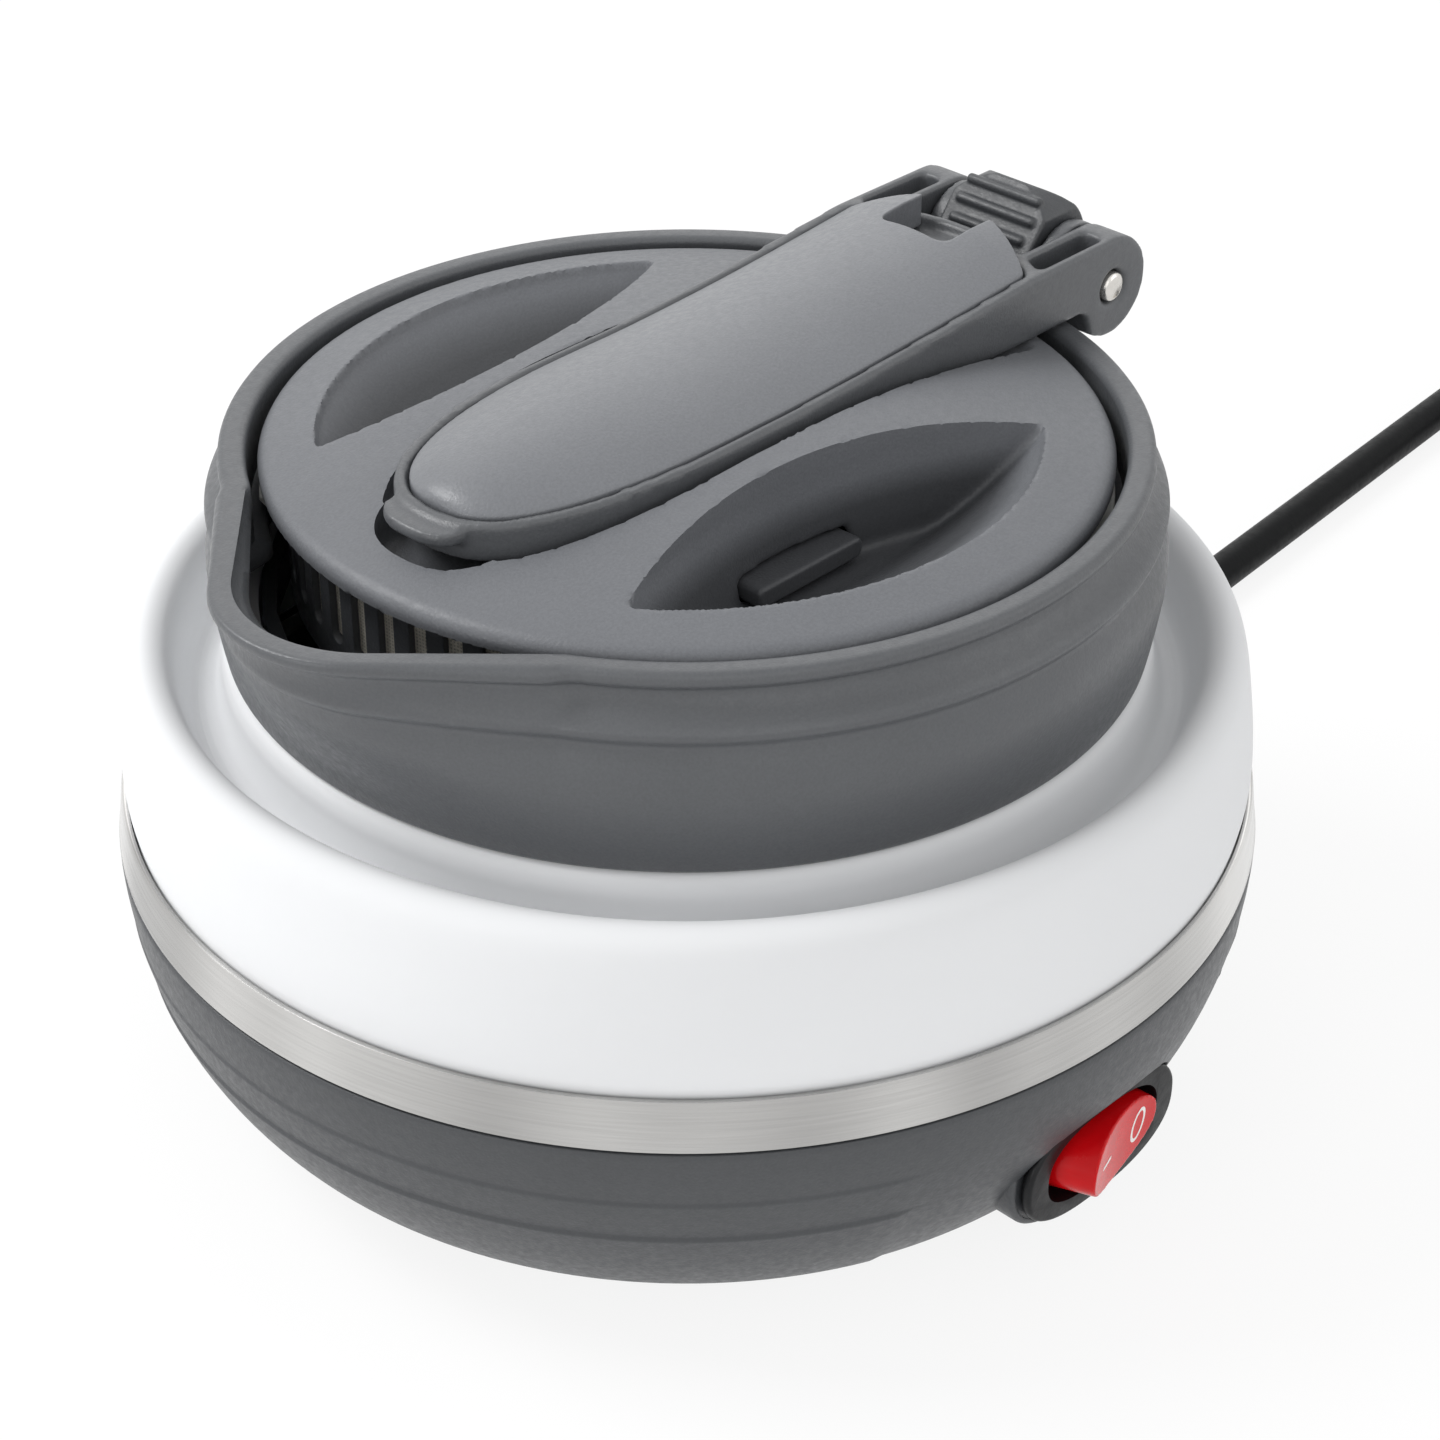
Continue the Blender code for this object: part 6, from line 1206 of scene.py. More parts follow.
def lid_height(radius):
    lid = group("lid")
    return lid.edge + lid.rise - lid.rise * (radius / lid.radius) ** 2


def dome(name, drop, low, radius, edge=0.0, steps=160):
    side = [(0.0, low), (radius, low)]
    if edge:
        side += [(radius, lid_height(radius) - edge)]
        side += [(radius - edge + edge * sin(a), lid_height(radius) - edge + edge * cos(a))
                 for a in np.linspace(pi / 2, pi / 8, 4)[1:]]
    top = [(r, lid_height(r) - drop) for r in np.linspace(radius - edge, 0.0, 40)]
    return turned(name, side + top, steps, closed=False)


def bowed(start, end, middle_y, steps=26):
    """Arc between two points that bows out to a height above or below their middle."""
    start, end = Vector(start), Vector(end)
    chord, middle = end - start, (start + end) / 2
    bow = middle_y - middle.y
    radius = (chord.length ** 2 / 4 + bow ** 2) / (2 * abs(bow))
    up = Vector((-chord.y, chord.x)).normalized() * np.sign(bow)
    centre = middle + up * (abs(bow) - radius)
    half = asin(chord.length / 2 / radius)
    return [tuple(centre + up * (radius * cos(a)) + chord.normalized() * (radius * sin(a)))
            for a in np.linspace(-half, half, steps + 1)]


def lens(front, rear, inner_y, outer_y, side):
    outer, inner = bowed(front, rear, outer_y), bowed(front, rear, inner_y)
    return [(x, side * y) for x, y in outer + inner[::-1][1:-1]]


def recess_shapes(side, grow=0.0):
    """Outlines of a finger recess at the lid's surface and at its floor."""
    wide = lens((-0.0414 - grow, 0.0292), (0.0312 + grow, 0.0368), 0.0238 - grow, 0.0495 + grow,
                side)
    narrow = lens((-0.0263 - grow, 0.0293), (0.0168 + grow, 0.0297), 0.0252 - grow, 0.0310 + grow,
                  side)
    return wide, narrow


# From this height up the recess's sides stand upright, as far as the tool's top.
RECESS_LEVEL, RECESS_TOP = 0.1001, 0.1076


def recess(side, grow=0.0):
    """A finger recess: straight sides through the lid, swept in below to a narrow floor."""
    low, level = group("lid").recess_floor - grow, RECESS_LEVEL
    wide, narrow = recess_shapes(side, grow)
    item = draw_line("recess", [(x, y, low) for x, y in narrow], closed=True)
    edit(item, "FACE")
    shape = narrow
    for share in (0.10, 0.30, 0.60, 1.0):
        bpy.ops.mesh.extrude_region_move()
        leave(item)
        out = share ** 0.80
        wider = [(n[0] + (w[0] - n[0]) * out, n[1] + (w[1] - n[1]) * out)
                 for n, w in zip(narrow, wide)]
        for vertex in item.data.vertices:
            if vertex.select:
                nearest = min(range(len(shape)), key=lambda i: (shape[i][0] - vertex.co.x) ** 2
                              + (shape[i][1] - vertex.co.y) ** 2)
                vertex.co = (*wider[nearest], low + (level - low) * share)
        shape = wider
        item.data.update()
        only(item)
        bpy.ops.object.mode_set(mode="EDIT")
    bpy.ops.mesh.extrude_region_move(TRANSFORM_OT_translate={"value": (0, 0, RECESS_TOP - level)})
    leave(item)
    return clean(item)


def dip_oval(grow=0.0):
    return shifted(oval(0.0110 + grow, 0.0108 + grow, steps=64), -0.0405, 0.0)


# Middle of the latch buttons.
BUTTON_X, BUTTON_Z = -0.0060, 0.0896
# Thickness of the walls round trough, dip and recesses, and how far back the trough runs.
POCKET_WALL, TROUGH_END = 0.0014, 0.0600
# Heights over the dome: of walls before they are trimmed, of pressing, of cutting tools.
WALL_TOP, PRESS_TOP, TOOL_TOP = 0.1070, 0.1080, 0.1090
# Points nearer to the dome than SNAP come onto it, those up to SNAP_END partly.
SNAP, SNAP_END = 0.00050, 0.00110


def make_lid():
    """Domed lid with the handle's trough, the finger dip and a finger recess on each side."""
    lid = group("lid")
    low, inner_edge = lid.edge - 0.0026, lid.skirt - 0.0018
    top = dome("lid_shell", 0.0, low, lid.radius, 0.0012)
    under = [(0.0, low - 0.002), (inner_edge, low - 0.002)]
    under += [(r, lid_height(r) - lid.wall) for r in np.linspace(inner_edge, 0.0, 24)]
    cut(top, turned("under", under, 96, closed=False))
    gap = -lid.trough_gap
    walls = extruded("walls", grip_outline(gap - POCKET_WALL, gap - POCKET_WALL, 0.0521),
                     lid.trough_floor - POCKET_WALL, WALL_TOP)
    join(walls, extruded("dip_wall", dip_oval(POCKET_WALL), lid.dip_floor - POCKET_WALL, WALL_TOP))
    join(walls, recess(-1, POCKET_WALL), recess(1, POCKET_WALL))
    change(walls, dome("limit", 0.001, lid.recess_floor - 0.0028, inner_edge - 0.0007), "INTERSECT")
    join(top, walls)
    trough = grip_outline(gap, gap, TROUGH_END)
    cut(top, extruded("trough", trough, lid.trough_floor, TOOL_TOP))
    cut(top, extruded("dip", dip_oval(), lid.dip_floor, TOOL_TOP))
    for side in (-1, 1):
        cut(top, recess(side))
        window = shifted(rounded_box(0.0103, 0.0018, 0.0010), BUTTON_X, BUTTON_Z)
        cut(top, extruded("button_window", window, *span(side, 0.0119, 0.0285), "Y"))
    soften(top, 0.0006, 6)
    pressed(top, trough, lid.trough_floor + 0.0010, PRESS_TOP)
    pressed(top, dip_oval(), lid.dip_floor + 0.0010, PRESS_TOP)
    for side in (-1, 1):
        pressed(top, recess_shapes(side)[0], 0.1002, PRESS_TOP)

    def seated(place):
        """Bring points near the dome and the lid's side exactly onto them."""
        radius = sqrt(place.x ** 2 + place.y ** 2)
        if radius > lid.radius - 0.0005 and place.z < lid.edge - 0.0010:
            return Vector((place.x * lid.radius / radius, place.y * lid.radius / radius, place.z))
        exact = lid_height(radius)
        if radius > lid.radius - 0.0016:
            return place
        off = place.z - exact
        return Vector((place.x, place.y, exact + off * smoothstep(abs(off), SNAP, SNAP_END)))

    carried(top, seated)
    clean(top, 0.00022)
    finish_piece(top, "collar", "lid_abs", "grey_plastic", "lid_top", angle=50)


def make_strainer():
    """Strainer ring under the lid with round-ended slots towards the spout, seal and cover."""
    lid = group("lid")
    outer, low, high = lid.skirt, 0.0785, 0.0952
    ring = turned("strainer", [(outer - 0.0018, low + 0.0003), (outer - 0.0015, low),
                               (outer - 0.0003, low), (outer, low + 0.0003), (outer, high),
                               (outer - 0.0018, high)], 192)
    slot = extruded("slot", shifted(rounded_box(lid.slot / 2, 0.00575, lid.slot / 2 - 0.00001),
                                    0.0, 0.08875), outer - 0.0040, outer + 0.0020, "Y")
    for i in range(11):
        only(slot)
        bpy.ops.object.duplicate()
        one = bpy.context.object
        settle(one, Matrix.Rotation(pi / 2 + (i - 5) * radians(6), 4, "Z"))
        cut(ring, one)
    bpy.data.objects.remove(slot, do_unlink=True)
    for side in (-1, 1):
        near, far = span(side, 0.0270, 0.0570)
        cut(ring, box("latch_window", (-0.0118, near, 0.0832), (-0.0002, far, 0.0858)))
    # The ring takes the darker bowl paint: painted shade, as it lies in shadow under the lid.
    finish_piece(ring, "collar", "dark_abs_eased", "dark_grey_plastic", "lid_skirt",
                 angle=32)
    seal = draw_line("seal", [(x, 0.0, z) for x, z in (
        (0.0549, 0.0893), (0.0563, 0.0893), (0.0580, 0.0916), (0.0579, 0.0919), (0.0549, 0.0919))],
        closed=True)
    settle(seal, Matrix.Rotation(radians(142), 4, "Z"))
    edit(seal)
    bpy.ops.mesh.spin(steps=150, angle=radians(284), center=(0, 0, 0), axis=(0, 0, 1))
    bpy.ops.mesh.select_all(action="SELECT")
    bpy.ops.mesh.remove_doubles(threshold=0.000002)
    leave(seal)
    clean(seal)
    finish_piece(seal, "collar", "seal_silicone", "clear_grey_silicone", "lid_seal",
                 angle=40)
    # Pale gauze just behind the slots: the gauze itself, and painted light that comes in through
    # them.
    gauze = draw_line("gauze", [(x, 0.0, z) for x, z in (
        (0.0533, 0.0836), (0.0536, 0.0836), (0.0536, 0.0942), (0.0533, 0.0942))], closed=True)
    settle(gauze, Matrix.Rotation(radians(215), 4, "Z"))
    edit(gauze)
    bpy.ops.mesh.spin(steps=60, angle=radians(70), center=(0, 0, 0), axis=(0, 0, 1))
    leave(gauze)
    clean(gauze)
    finish_piece(gauze, "collar", "filter_gauze", "steel", angle=40)
    dress_node("lid_inner_cover", "dark_abs")


def make_latches():
    """Two pinch buttons with their tongues, and their springs."""
    for name, side in (("left", 1), ("right", -1)):
        outline = shifted(rounded_box(0.0100, 0.0015, 0.0010), BUTTON_X, BUTTON_Z)
        button = extruded("button_" + name, outline, *span(side, 0.0191, 0.0285), "Y")
        round_edges(button, 0.0004, 3)
        near, far = span(side, 0.0191, 0.0221)
        join(button, box("stem", (-0.0115, near, 0.0835), (-0.0005, far, BUTTON_Z)))
        near, far = span(side, 0.0191, 0.0592)
        join(button, round_edges(box("tongue", (-0.0115, near, 0.0835), (-0.0005, far, 0.0855)),
                                 0.0003, 2))
        soften(button, 0.00030, 2)
        finish_piece(button, "latch_button_" + name, "lid_abs", "grey_plastic",
                     "latch_button_" + name)
        dress_node("latch_spring_" + name, "spring_wire")


# Handle

SIDE_STATIONS = list(np.linspace(-0.0520, 0.0640, 60))
BLOCK_HALF, PIN_BORE = 0.022, 0.0025
# How far the cover is let in below the rim, and a height that only its flat top lies over.
COVER_LET_IN, COVER_FLAT = 0.0013, 0.1141


def profile_block(name, low, high):
    """A block seen from the side: low and high give its bottom and top along X."""
    outline = ([(x, low(x)) for x in SIDE_STATIONS]
               + [(x, high(x)) for x in SIDE_STATIONS[::-1]])
    return extruded(name, outline, -BLOCK_HALF, BLOCK_HALF, "Y")


def cross_bar(name, radius, half, steps=64):
    """A round bar along the hinge pin's line."""
    x, z = group("handle").pin_x, group("handle").pin_z
    return bar(name, radius, (x, -half, z), (x, half, z), steps)


def make_handle_frame():
    """Handle frame: rounded rim, seat for the cover, finger lip and two hinge ears with pockets."""
    handle = group("handle")
    pin_x, pin_z = handle.pin_x, handle.pin_z
    above = pin_z + handle.ear_radius + 0.002
    end = END_X + 0.002
    item = extruded("grip_frame", grip_outline(0.0, 0.0, end), handle.floor, above)
    change(item, profile_block("side_view", lambda x: handle.floor - 0.001, rim_height),
           "INTERSECT")
    change(item, extruded("rear_end", end_outline(), handle.floor - 0.002, above), "INTERSECT")
    lobe = arc((pin_x, pin_z), handle.ear_radius, radians(90), radians(-128), 40)
    side_view = lobe + [(0.0634, 0.0989), (0.0622, handle.floor), (HOLLOW_REAR_X, handle.floor),
                        (HOLLOW_REAR_X, rim_height(HOLLOW_REAR_X) - 0.0003),
                        (HANDLE_REAR_X, rim_height(HANDLE_REAR_X))]
    for side in (-1, 1):
        join(item, extruded("ear", side_view, *span(side, 0.0116, REAR_HALF_WIDTH), "Y"))
    front = handle.front - 0.0034
    lip = [(handle.front + 0.0050, -0.0072)]
    lip += [(front + 0.0044 * (1 - sin(a) ** 0.75), -0.0066 * cos(a))
            for a in np.linspace(0, pi, 33)]
    lip += [(handle.front + 0.0050, 0.0072)]
    join(item, extruded("lip", lip, 0.1022, 0.1040))
    cut(item, extruded("hollow", grip_outline(0.0030, 0.0030, HOLLOW_REAR_X),
                       handle.floor + 0.0016, above + 0.002))
    seat = extruded("cover_seat", grip_outline(handle.rim_width, handle.rim_width, end, 0.45),
                    0.0985, above + 0.001)
    change(seat, extruded("seat_end", end_outline(0.0018), 0.0980, above + 0.002), "INTERSECT")
    change(seat, profile_block("seat_floor", lambda x: rim_height(x) - 0.0016,
                               lambda x: above + 0.003), "INTERSECT")
    cut(item, seat)
    for side in (-1, 1):
        for rear, floor in ((0.0632, pin_z - handle.pin_radius), (0.0680, pin_z + 0.0037)):
            near, far = 0.0133, 0.0169
            outline = [(end_x(near) + 0.0004, near), (end_x(far) + 0.0004, far), (rear, far),
                       (rear, near)]
            cut(item, extruded("pocket", [(x, side * y) for x, y in outline], floor, above + 0.001))
    cut(item, cross_bar("lever_room", handle.lever_radius + 0.0005, handle.lever_half + 0.0005, 96))
    cut(item, cross_bar("pin_bore", PIN_BORE, END_HALF_WIDTH, 48))
    for side in (-1, 1):
        cone = [(0.0, 0.0), (0.0031, 0.0), (0.0024, 0.0010), (0.0, 0.0010)]
        sink = turned("countersink", cone, 48, closed=False)
        way = Matrix.Rotation(side * pi / 2, 4, "X")
        cut(item, settle(sink, Matrix.Translation((pin_x, side * 0.01865, pin_z)) @ way))
    soften(item, 0.00052, 4)
    pressed(item, grip_outline(0.0, 0.0, end)[:-1], handle.floor + 0.0010, 0.1036, 0.0004)

    def levelled(place):
        exact = rim_height(place.x)
        on_rim = (place.x < HANDLE_REAR_X and abs(place.z - exact) < 0.00018
                  and half_width(place.x, 0.0005) > abs(place.y) > half_width(place.x, 0.0012))
        return Vector((place.x, place.y, exact)) if on_rim else place

    carried(item, levelled)
    finish_piece(item, "handle", "dark_abs", "dark_grey_plastic", "handle_frame")


def cover_top(x, y):
    """Height of the crowned cover."""
    handle = group("handle")
    half = max(half_width(x, handle.rim_width + 0.0003, 0.45), 0.0001)
    widest = handle.half_width - handle.rim_width - 0.0003
    share = min(abs(y) / half, 1.0)
    return rim_height(x) + handle.crown * min(half / widest, 1.0) * (1 - share ** 2)


def make_handle_cover():
    """Crowned cover let into the frame, with a round-cornered notch in front of the lever."""
    handle = group("handle")
    inset, end = handle.rim_width + 0.0003, END_X + 0.002
    cover = extruded("grip_cover", grip_outline(inset, inset, end, 0.45, 60), 0.1025, 0.1150)
    change(cover, extruded("rear", end_outline(0.0021), 0.1000, 0.1170), "INTERSECT")
    notch = shifted(rounded_box(0.0120, 0.0062, 0.0022), 0.0570, 0.0)
    cut(cover, extruded("notch", notch, 0.1000, 0.1170))
    change(cover, profile_block("under_side", lambda x: rim_height(x) - COVER_LET_IN,
                                lambda x: 0.1160), "INTERSECT")
    soften(cover, 0.00042, 2)
    edge = 0.0011

    def crowned(place):
        """Bring the flat top onto the crown and spread the points of the sides under it."""
        exact = cover_top(place.x, place.y)
        if place.z < COVER_FLAT:
            rim = rim_height(place.x)
            room = (place.z - rim + COVER_LET_IN) / (COVER_FLAT - rim + COVER_LET_IN)
            low = rim - COVER_LET_IN
            exact = low + max(room, 0.0) * (exact - edge * 0.4 - low)
        return Vector((place.x, place.y, exact))

    carried(cover, crowned)
    relax(cover, 3)
    finish_piece(cover, "handle", "light_abs", "grey_plastic", "handle_cover")


# Hinge and lock lever

def around_pin(radius, degrees):
    """A point in side view at an angle round the hinge pin."""
    handle = group("handle")
    return (handle.pin_x + radius * cos(radians(degrees)),
            handle.pin_z + radius * sin(radians(degrees)))


def make_hinge():
    """Bracket on the collar's back, its pin with bevelled heads, and the lever's spring."""
    handle, collar = group("handle"), group("collar")
    pin_x, pin_z = handle.pin_x, handle.pin_z
    front = collar.rim - collar.wall
    item = round_edges(box("bracket", (front, -0.0112, 0.0800), (0.0690, 0.0112, 0.0985)), 0.0010)
    flange = box("flange", (front - 0.0026, -0.0165, 0.0800), (0.0670, 0.0165, 0.0935))
    join(item, round_edges(flange, 0.0014))
    knuckle = [around_pin(0.0074, a) for a in np.linspace(180, -65, 40)]
    cheek = knuckle + [(0.0680, 0.0940), (collar.rim, 0.0940)]
    for side in (-1, 1):
        join(item, extruded("cheek", cheek, *span(side, 0.0089, 0.0112), "Y"))
    room = [(0.0, 0.0706)] + [(r + 0.0003, z) for r, z in COLLAR_OUTSIDE] + [(0.0620, 0.0991),
                                                                           (0.0, 0.0991)]
    cut(item, turned("room", room, 240, closed=False))
    cut(item, cross_bar("hub_room", 0.0050, 0.0089))
    cut(item, cross_bar("pin_bore", PIN_BORE, 0.0150))
    soften(item, 0.00036, 3)
    finish_piece(item, "collar", "dark_abs", "dark_grey_plastic", "hinge_bracket")

    end = 0.0189
    head = [(0.0, 0.0), (0.0015, 0.0), (0.0020, 0.0002), (0.0022, 0.0005)]
    profile = head + [(r, 2 * end - z) for r, z in head[::-1]]
    pin = turned("hinge_pin_shown", profile, 48, closed=False)
    way = Matrix.Rotation(-pi / 2, 4, "X")
    settle(pin, Matrix.Translation((pin_x, -end, pin_z)) @ way)
    finish_piece(pin, "handle", "nickel_pin", "steel", "hinge_pin", angle=35)
    dress_node("lock_spring", "spring_wire")


# How far the ribbed pad stands past the lever's reach.
PAD_RISE = 0.0004


def make_lever():
    """Thumb lever on the pin: three round-ended ribs on its pad and a crowned back."""
    handle = group("handle")
    pin_x, pin_z, half = handle.pin_x, handle.pin_z, handle.lever_half
    top = handle.lever_radius + PAD_RISE
    outline = [around_pin(0.0088, 155), around_pin(top, 98)]
    for share in np.linspace(0, 1, 24)[1:]:
        outline.append(around_pin(top + (0.0056 - top) * share ** 0.75, 98 + (12 - 98) * share))
    outline += [around_pin(0.0044, a) for a in np.linspace(12, 155, 24)]
    item = round_edges(extruded("lever", outline, -half, half, "Y"), 0.0006, 3, radians(60))
    crown = 0.0118
    change(item, bar("crown", crown, (pin_x - crown, 0, pin_z + top - crown),
                     (pin_x + crown, 0, pin_z + top - crown), 160), "INTERSECT")
    join(item, cross_bar("hub", 0.0048, 0.0056))
    low, high = (Vector((x, 0, z)) for x, z in (around_pin(0.0088, 155), around_pin(top, 98)))
    up = (high - low).normalized()
    for i in range(3):
        place = (low + high) / 2 + up * ((i - 1) * 0.0031)
        reach = 0.0072 - abs(i - 1) * 0.0004
        rib = bar("rib", 0.00075, place - Vector((0, reach, 0)), place + Vector((0, reach, 0)), 24)
        join(item, round_edges(rib, 0.0004, 3))
    soften(item, 0.00022, 2)
    cut(item, cross_bar("pin_bore", PIN_BORE, half, 48))
    finish_piece(item, "lock_lever", "dark_abs_eased", "dark_grey_plastic", "lock_lever",
                 angle=50)


# Switch

def make_switch():
    """Black bezel with its box and blades, and the red rocker with its printed marks."""
    switch = group("switch")
    face, high = switch.face, switch.height
    outer, rear, pivot = face - 0.0019, face + 0.0165, face + 0.0027
    bezel = round_edges(extruded("bezel", switch_oval(), outer, face - 0.0003, "Y"), 0.0006, 4)
    join(bezel, extruded("box", shifted(rounded_box(0.0130, 0.0074, 0.0040), 0.0, high),
                         face - 0.0006, rear, "Y"))
    opening = extruded("opening", shifted(oval(0.0118, 0.0063, 2.5), 0.0, high),
                       outer - 0.002, rear - 0.0012, "Y")
    cut(bezel, opening)
    cut(bezel, bar("trunnion_bore", 0.0014, (0, pivot, high - 0.0068), (0, pivot, high + 0.0068)))
    for i in (-1, 0, 1):
        blade = box("blade", (i * 0.0075 - 0.0004, rear - 0.0006, high - 0.0024),
                    (i * 0.0075 + 0.0004, rear + 0.0065, high + 0.0024))
        join(bezel, round_edges(blade, 0.0002, 2))
    round_edges(bezel, 0.0003, 3, radians(60))
    clean(bezel)
    finish_piece(bezel, "base", "black_nylon", "black_plastic", "switch_housing",
                 angle=40)

    radius, half, tall, hollow = 0.0113, 0.0058, 0.0075, 0.0010
    edge = radius - tall * tan(radians(13))
    top_half = 0.0051

    def dish(x):
        """How far the dished face stands out at a place along it."""
        return tall - hollow * (1 - min(abs(x) / edge, 1.0) ** 2)

    rocker = extruded("rocker", oval(radius, half, 2.15), -tall - 0.0002, 0.0030, "Y")

    def drafted(place):
        """Draw the face in, so that the sides lean as a moulding's do."""
        if place.y > -tall:
            return place
        return Vector((place.x * edge / radius, place.y, place.z * top_half / half))

    carried(rocker, drafted)
    side_view = [(x, -dish(x)) for x in np.linspace(-edge, edge, 41)]
    side_view = [(-0.0125, -tall)] + side_view + [(0.0125, -tall), (0.0125, 0.0), (0.0060, 0.0030),
                                                  (-0.0060, 0.0030), (-0.0125, 0.0)]
    change(rocker, extruded("side_view", side_view, -0.0065, 0.0065), "INTERSECT")
    join(rocker, bar("trunnion", 0.0011, (0, 0, -0.0065), (0, 0, 0.0065), 24))
    soften(rocker, 0.00018, 5)
    tipped = Matrix.Translation((0, pivot, high)) @ Matrix.Rotation(switch.tilt, 4, "Z")
    settle(rocker, tipped)
    finish_piece(rocker, "switch_rocker", "red_polycarbonate", "red_plastic",
                 "switch_rocker")

    marks = (("mark_off", 0.0050, oval(0.00165, 0.00255, 2.0, 64), oval(0.00118, 0.00205, 2.0, 64)),
             ("mark_on", -0.0044, rounded_box(0.00150, 0.00024, 0.0002, 4), None))
    for name, along, shape, inner in marks:
        mark = extruded(name, leaning(shape), -0.00005, 0.00030, "Y")
        if inner:
            cut(mark, extruded("hole", leaning(inner), -0.0010, 0.0010, "Y"))
        slope = atan2(2 * hollow * along, edge ** 2)
        on_face = Matrix.Translation((along, -dish(along), 0)) @ Matrix.Rotation(-slope, 4, "Z")
        settle(mark, tipped @ on_face)
        finish_piece(mark, "switch_rocker", "white_print", "red_plastic", angle=30)


def leaning(outline):
    """Slant an outline to the right at its top, as the marks are."""
    return [(u + v * 0.26, v) for u, v in outline]


# Operators, one for each piece or group of like pieces

class KETTLE_OT_stage(bpy.types.Operator):
    """Place camera, lights, background and floor"""
    bl_idname = "kettle.stage"
    bl_label = "Stage"

    def execute(self, context):
        make_stage()
        return {"FINISHED"}


class KETTLE_OT_cord(bpy.types.Operator):
    """Lay the cord with its strain relief and plug"""
    bl_idname = "kettle.cord"
    bl_label = "Cord and plug"

    def execute(self, context):
        make_cord()
        return {"FINISHED"}


class KETTLE_OT_bowl(bpy.types.Operator):
    """Model the bowl with its grip belt, switch seat and cord boss"""
    bl_idname = "kettle.bowl"
    bl_label = "Bowl"

    def execute(self, context):
        make_bowl()
        return {"FINISHED"}


class KETTLE_OT_steel_band(bpy.types.Operator):
    """Model the rolled steel band"""
    bl_idname = "kettle.steel_band"
    bl_label = "Steel band"

    def execute(self, context):
        make_steel_band()
        return {"FINISHED"}


class KETTLE_OT_underside(bpy.types.Operator):
    """Finish the bottom cover, screws and feet"""
    bl_idname = "kettle.underside"
    bl_label = "Underside"

    def execute(self, context):
        make_underside()
        return {"FINISHED"}


class KETTLE_OT_heater(bpy.types.Operator):
    """Finish the heating plate, element, thermostat and seal"""
    bl_idname = "kettle.heater"
    bl_label = "Heater"

    def execute(self, context):
        make_heater()
        return {"FINISHED"}


class KETTLE_OT_silicone(bpy.types.Operator):
    """Model the folded silicone wall"""
    bl_idname = "kettle.silicone"
    bl_label = "Silicone wall"

    def execute(self, context):
        make_silicone()
        return {"FINISHED"}


class KETTLE_OT_collar(bpy.types.Operator):
    """Model the collar with its spout and finish its clamp ring"""
    bl_idname = "kettle.collar"
    bl_label = "Collar and spout"

    def execute(self, context):
        make_collar()
        return {"FINISHED"}


class KETTLE_OT_lid(bpy.types.Operator):
    """Model the lid with its trough, dip and finger recesses"""
    bl_idname = "kettle.lid"
    bl_label = "Lid"

    def execute(self, context):
        make_lid()
        return {"FINISHED"}


class KETTLE_OT_strainer(bpy.types.Operator):
    """Model the strainer ring and finish the lid's seal and inner cover"""
    bl_idname = "kettle.strainer"
    bl_label = "Strainer"

    def execute(self, context):
        make_strainer()
        return {"FINISHED"}


class KETTLE_OT_latches(bpy.types.Operator):
    """Model the two latch buttons and finish their springs"""
    bl_idname = "kettle.latches"
    bl_label = "Latches"

    def execute(self, context):
        make_latches()
        return {"FINISHED"}


class KETTLE_OT_handle_frame(bpy.types.Operator):
    """Model the handle's frame with its ears and finger lip"""
    bl_idname = "kettle.handle_frame"
    bl_label = "Handle frame"

    def execute(self, context):
        make_handle_frame()
        return {"FINISHED"}


class KETTLE_OT_handle_cover(bpy.types.Operator):
    """Model the handle's crowned cover"""
    bl_idname = "kettle.handle_cover"
    bl_label = "Handle cover"

    def execute(self, context):
        make_handle_cover()
        return {"FINISHED"}


class KETTLE_OT_hinge(bpy.types.Operator):
    """Model the hinge bracket and pin and finish the lever's spring"""
    bl_idname = "kettle.hinge"
    bl_label = "Hinge"

    def execute(self, context):
        make_hinge()
        return {"FINISHED"}


class KETTLE_OT_lever(bpy.types.Operator):
    """Model the ribbed lock lever"""
    bl_idname = "kettle.lever"
    bl_label = "Lock lever"

    def execute(self, context):
        make_lever()
        return {"FINISHED"}


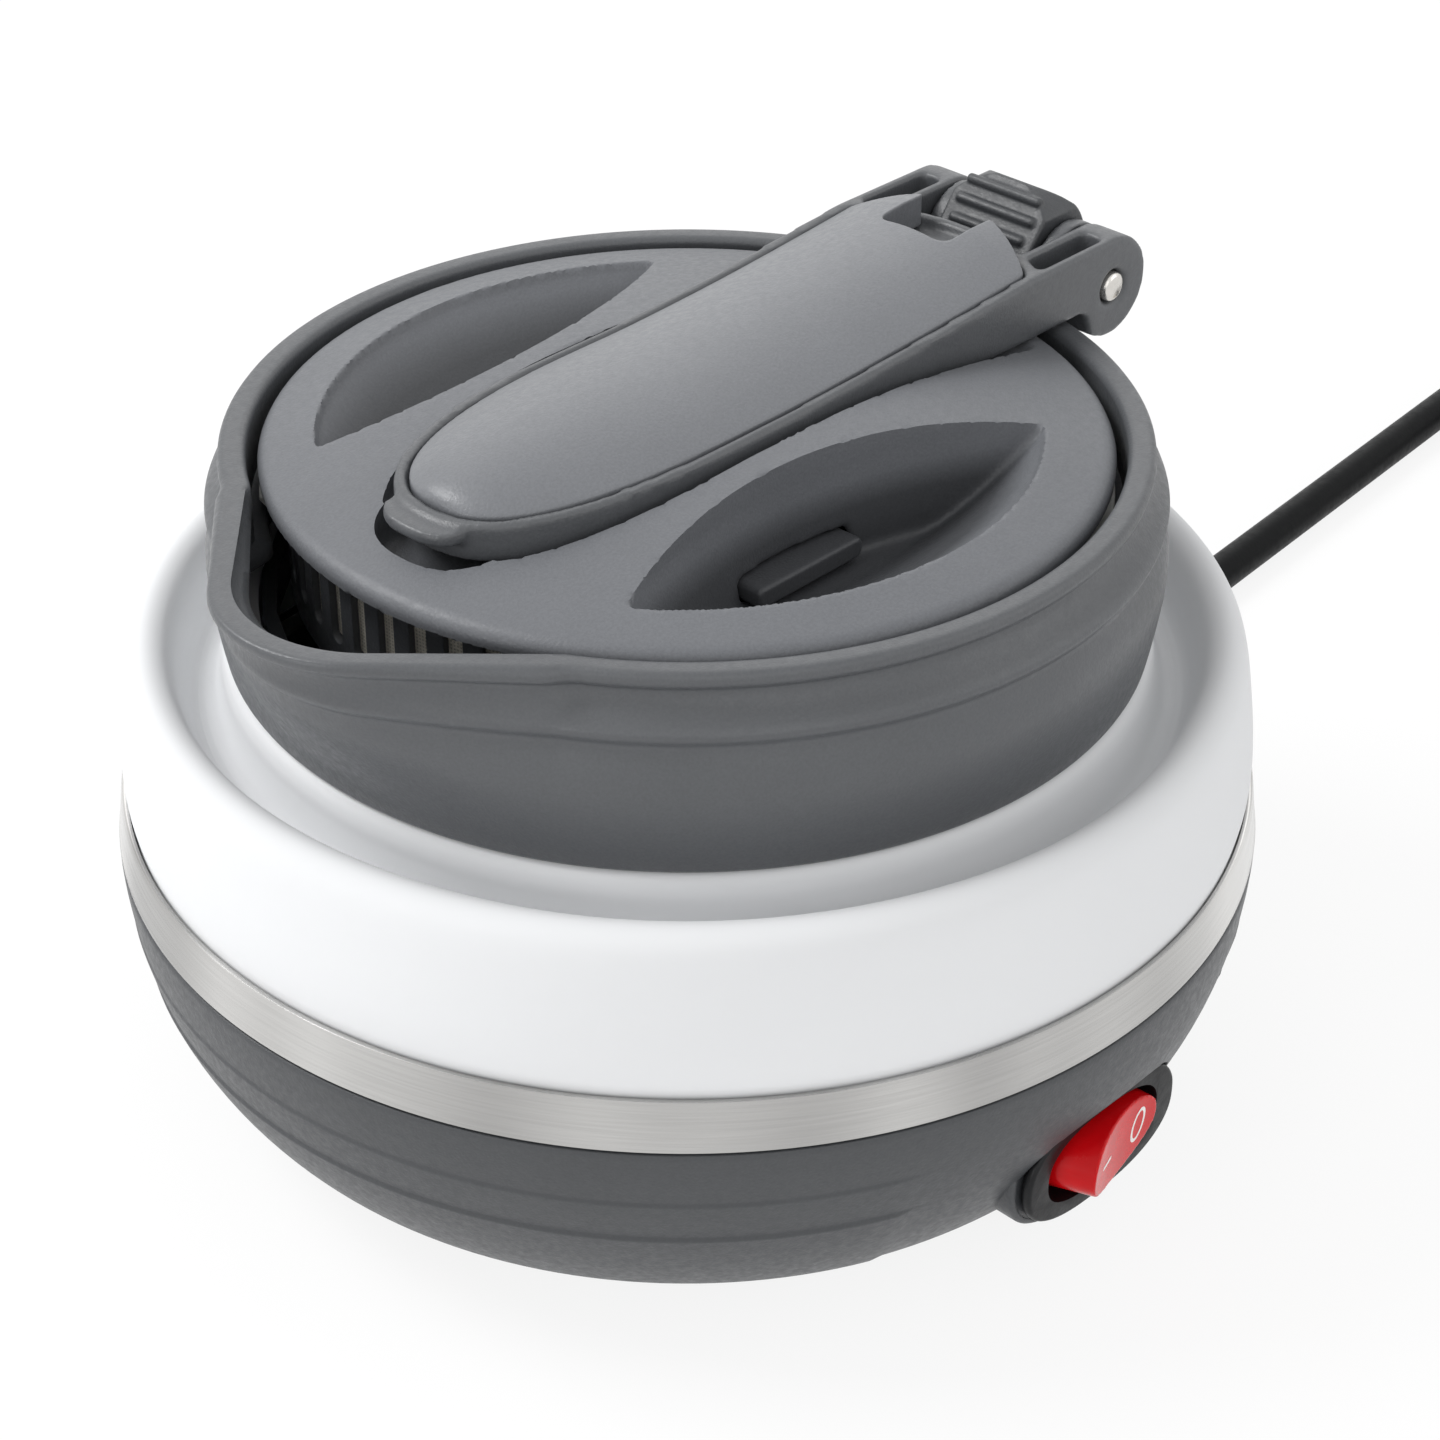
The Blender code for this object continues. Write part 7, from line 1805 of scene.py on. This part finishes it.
class KETTLE_OT_switch(bpy.types.Operator):
    """Model the switch's bezel, rocker and printed marks"""
    bl_idname = "kettle.switch"
    bl_label = "Switch"

    def execute(self, context):
        make_switch()
        return {"FINISHED"}


GROUPS = (("stage", KettleStageSizes), ("base", KettleBaseSizes), ("collar", KettleCollarSizes),
          ("lid", KettleLidSizes), ("handle", KettleHandleSizes), ("switch", KettleSwitchSizes),
          ("cord", KettleCordSizes), ("colours", KettleColours))
STEPS = (KETTLE_OT_stage, KETTLE_OT_cord, KETTLE_OT_bowl, KETTLE_OT_steel_band,
         KETTLE_OT_underside, KETTLE_OT_heater, KETTLE_OT_silicone, KETTLE_OT_collar,
         KETTLE_OT_lid, KETTLE_OT_strainer, KETTLE_OT_latches, KETTLE_OT_handle_frame,
         KETTLE_OT_handle_cover, KETTLE_OT_hinge, KETTLE_OT_lever, KETTLE_OT_switch)


class KETTLE_PT_parts(bpy.types.Panel):
    """Lists the kettle's sizes, colours and steps"""
    bl_idname = "KETTLE_PT_parts"
    bl_label = "Folding travel kettle"
    bl_space_type = "VIEW_3D"
    bl_region_type = "UI"
    bl_category = "Kettle"

    def draw(self, context):
        layout = self.layout
        for step in STEPS:
            layout.operator(step.bl_idname)
        for name, sizes in GROUPS:
            settings = getattr(context.scene, "kettle_" + name)
            part = layout.box()
            part.label(text=name.capitalize())
            for key in sizes.__annotations__:
                part.prop(settings, key)


def register():
    for name, sizes in GROUPS:
        bpy.utils.register_class(sizes)
        setattr(bpy.types.Scene, "kettle_" + name, PointerProperty(type=sizes))
    for item in STEPS + (KETTLE_PT_parts,):
        bpy.utils.register_class(item)


def unregister():
    for item in reversed(STEPS + (KETTLE_PT_parts,)):
        bpy.utils.unregister_class(item)
    for name, sizes in reversed(GROUPS):
        delattr(bpy.types.Scene, "kettle_" + name)
        bpy.utils.unregister_class(sizes)


def main():
    """Model the whole kettle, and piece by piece."""
    register()
    for step in STEPS:
        getattr(bpy.ops.kettle, step.bl_idname.split(".")[1])()


if __name__ == "__main__":
    main()
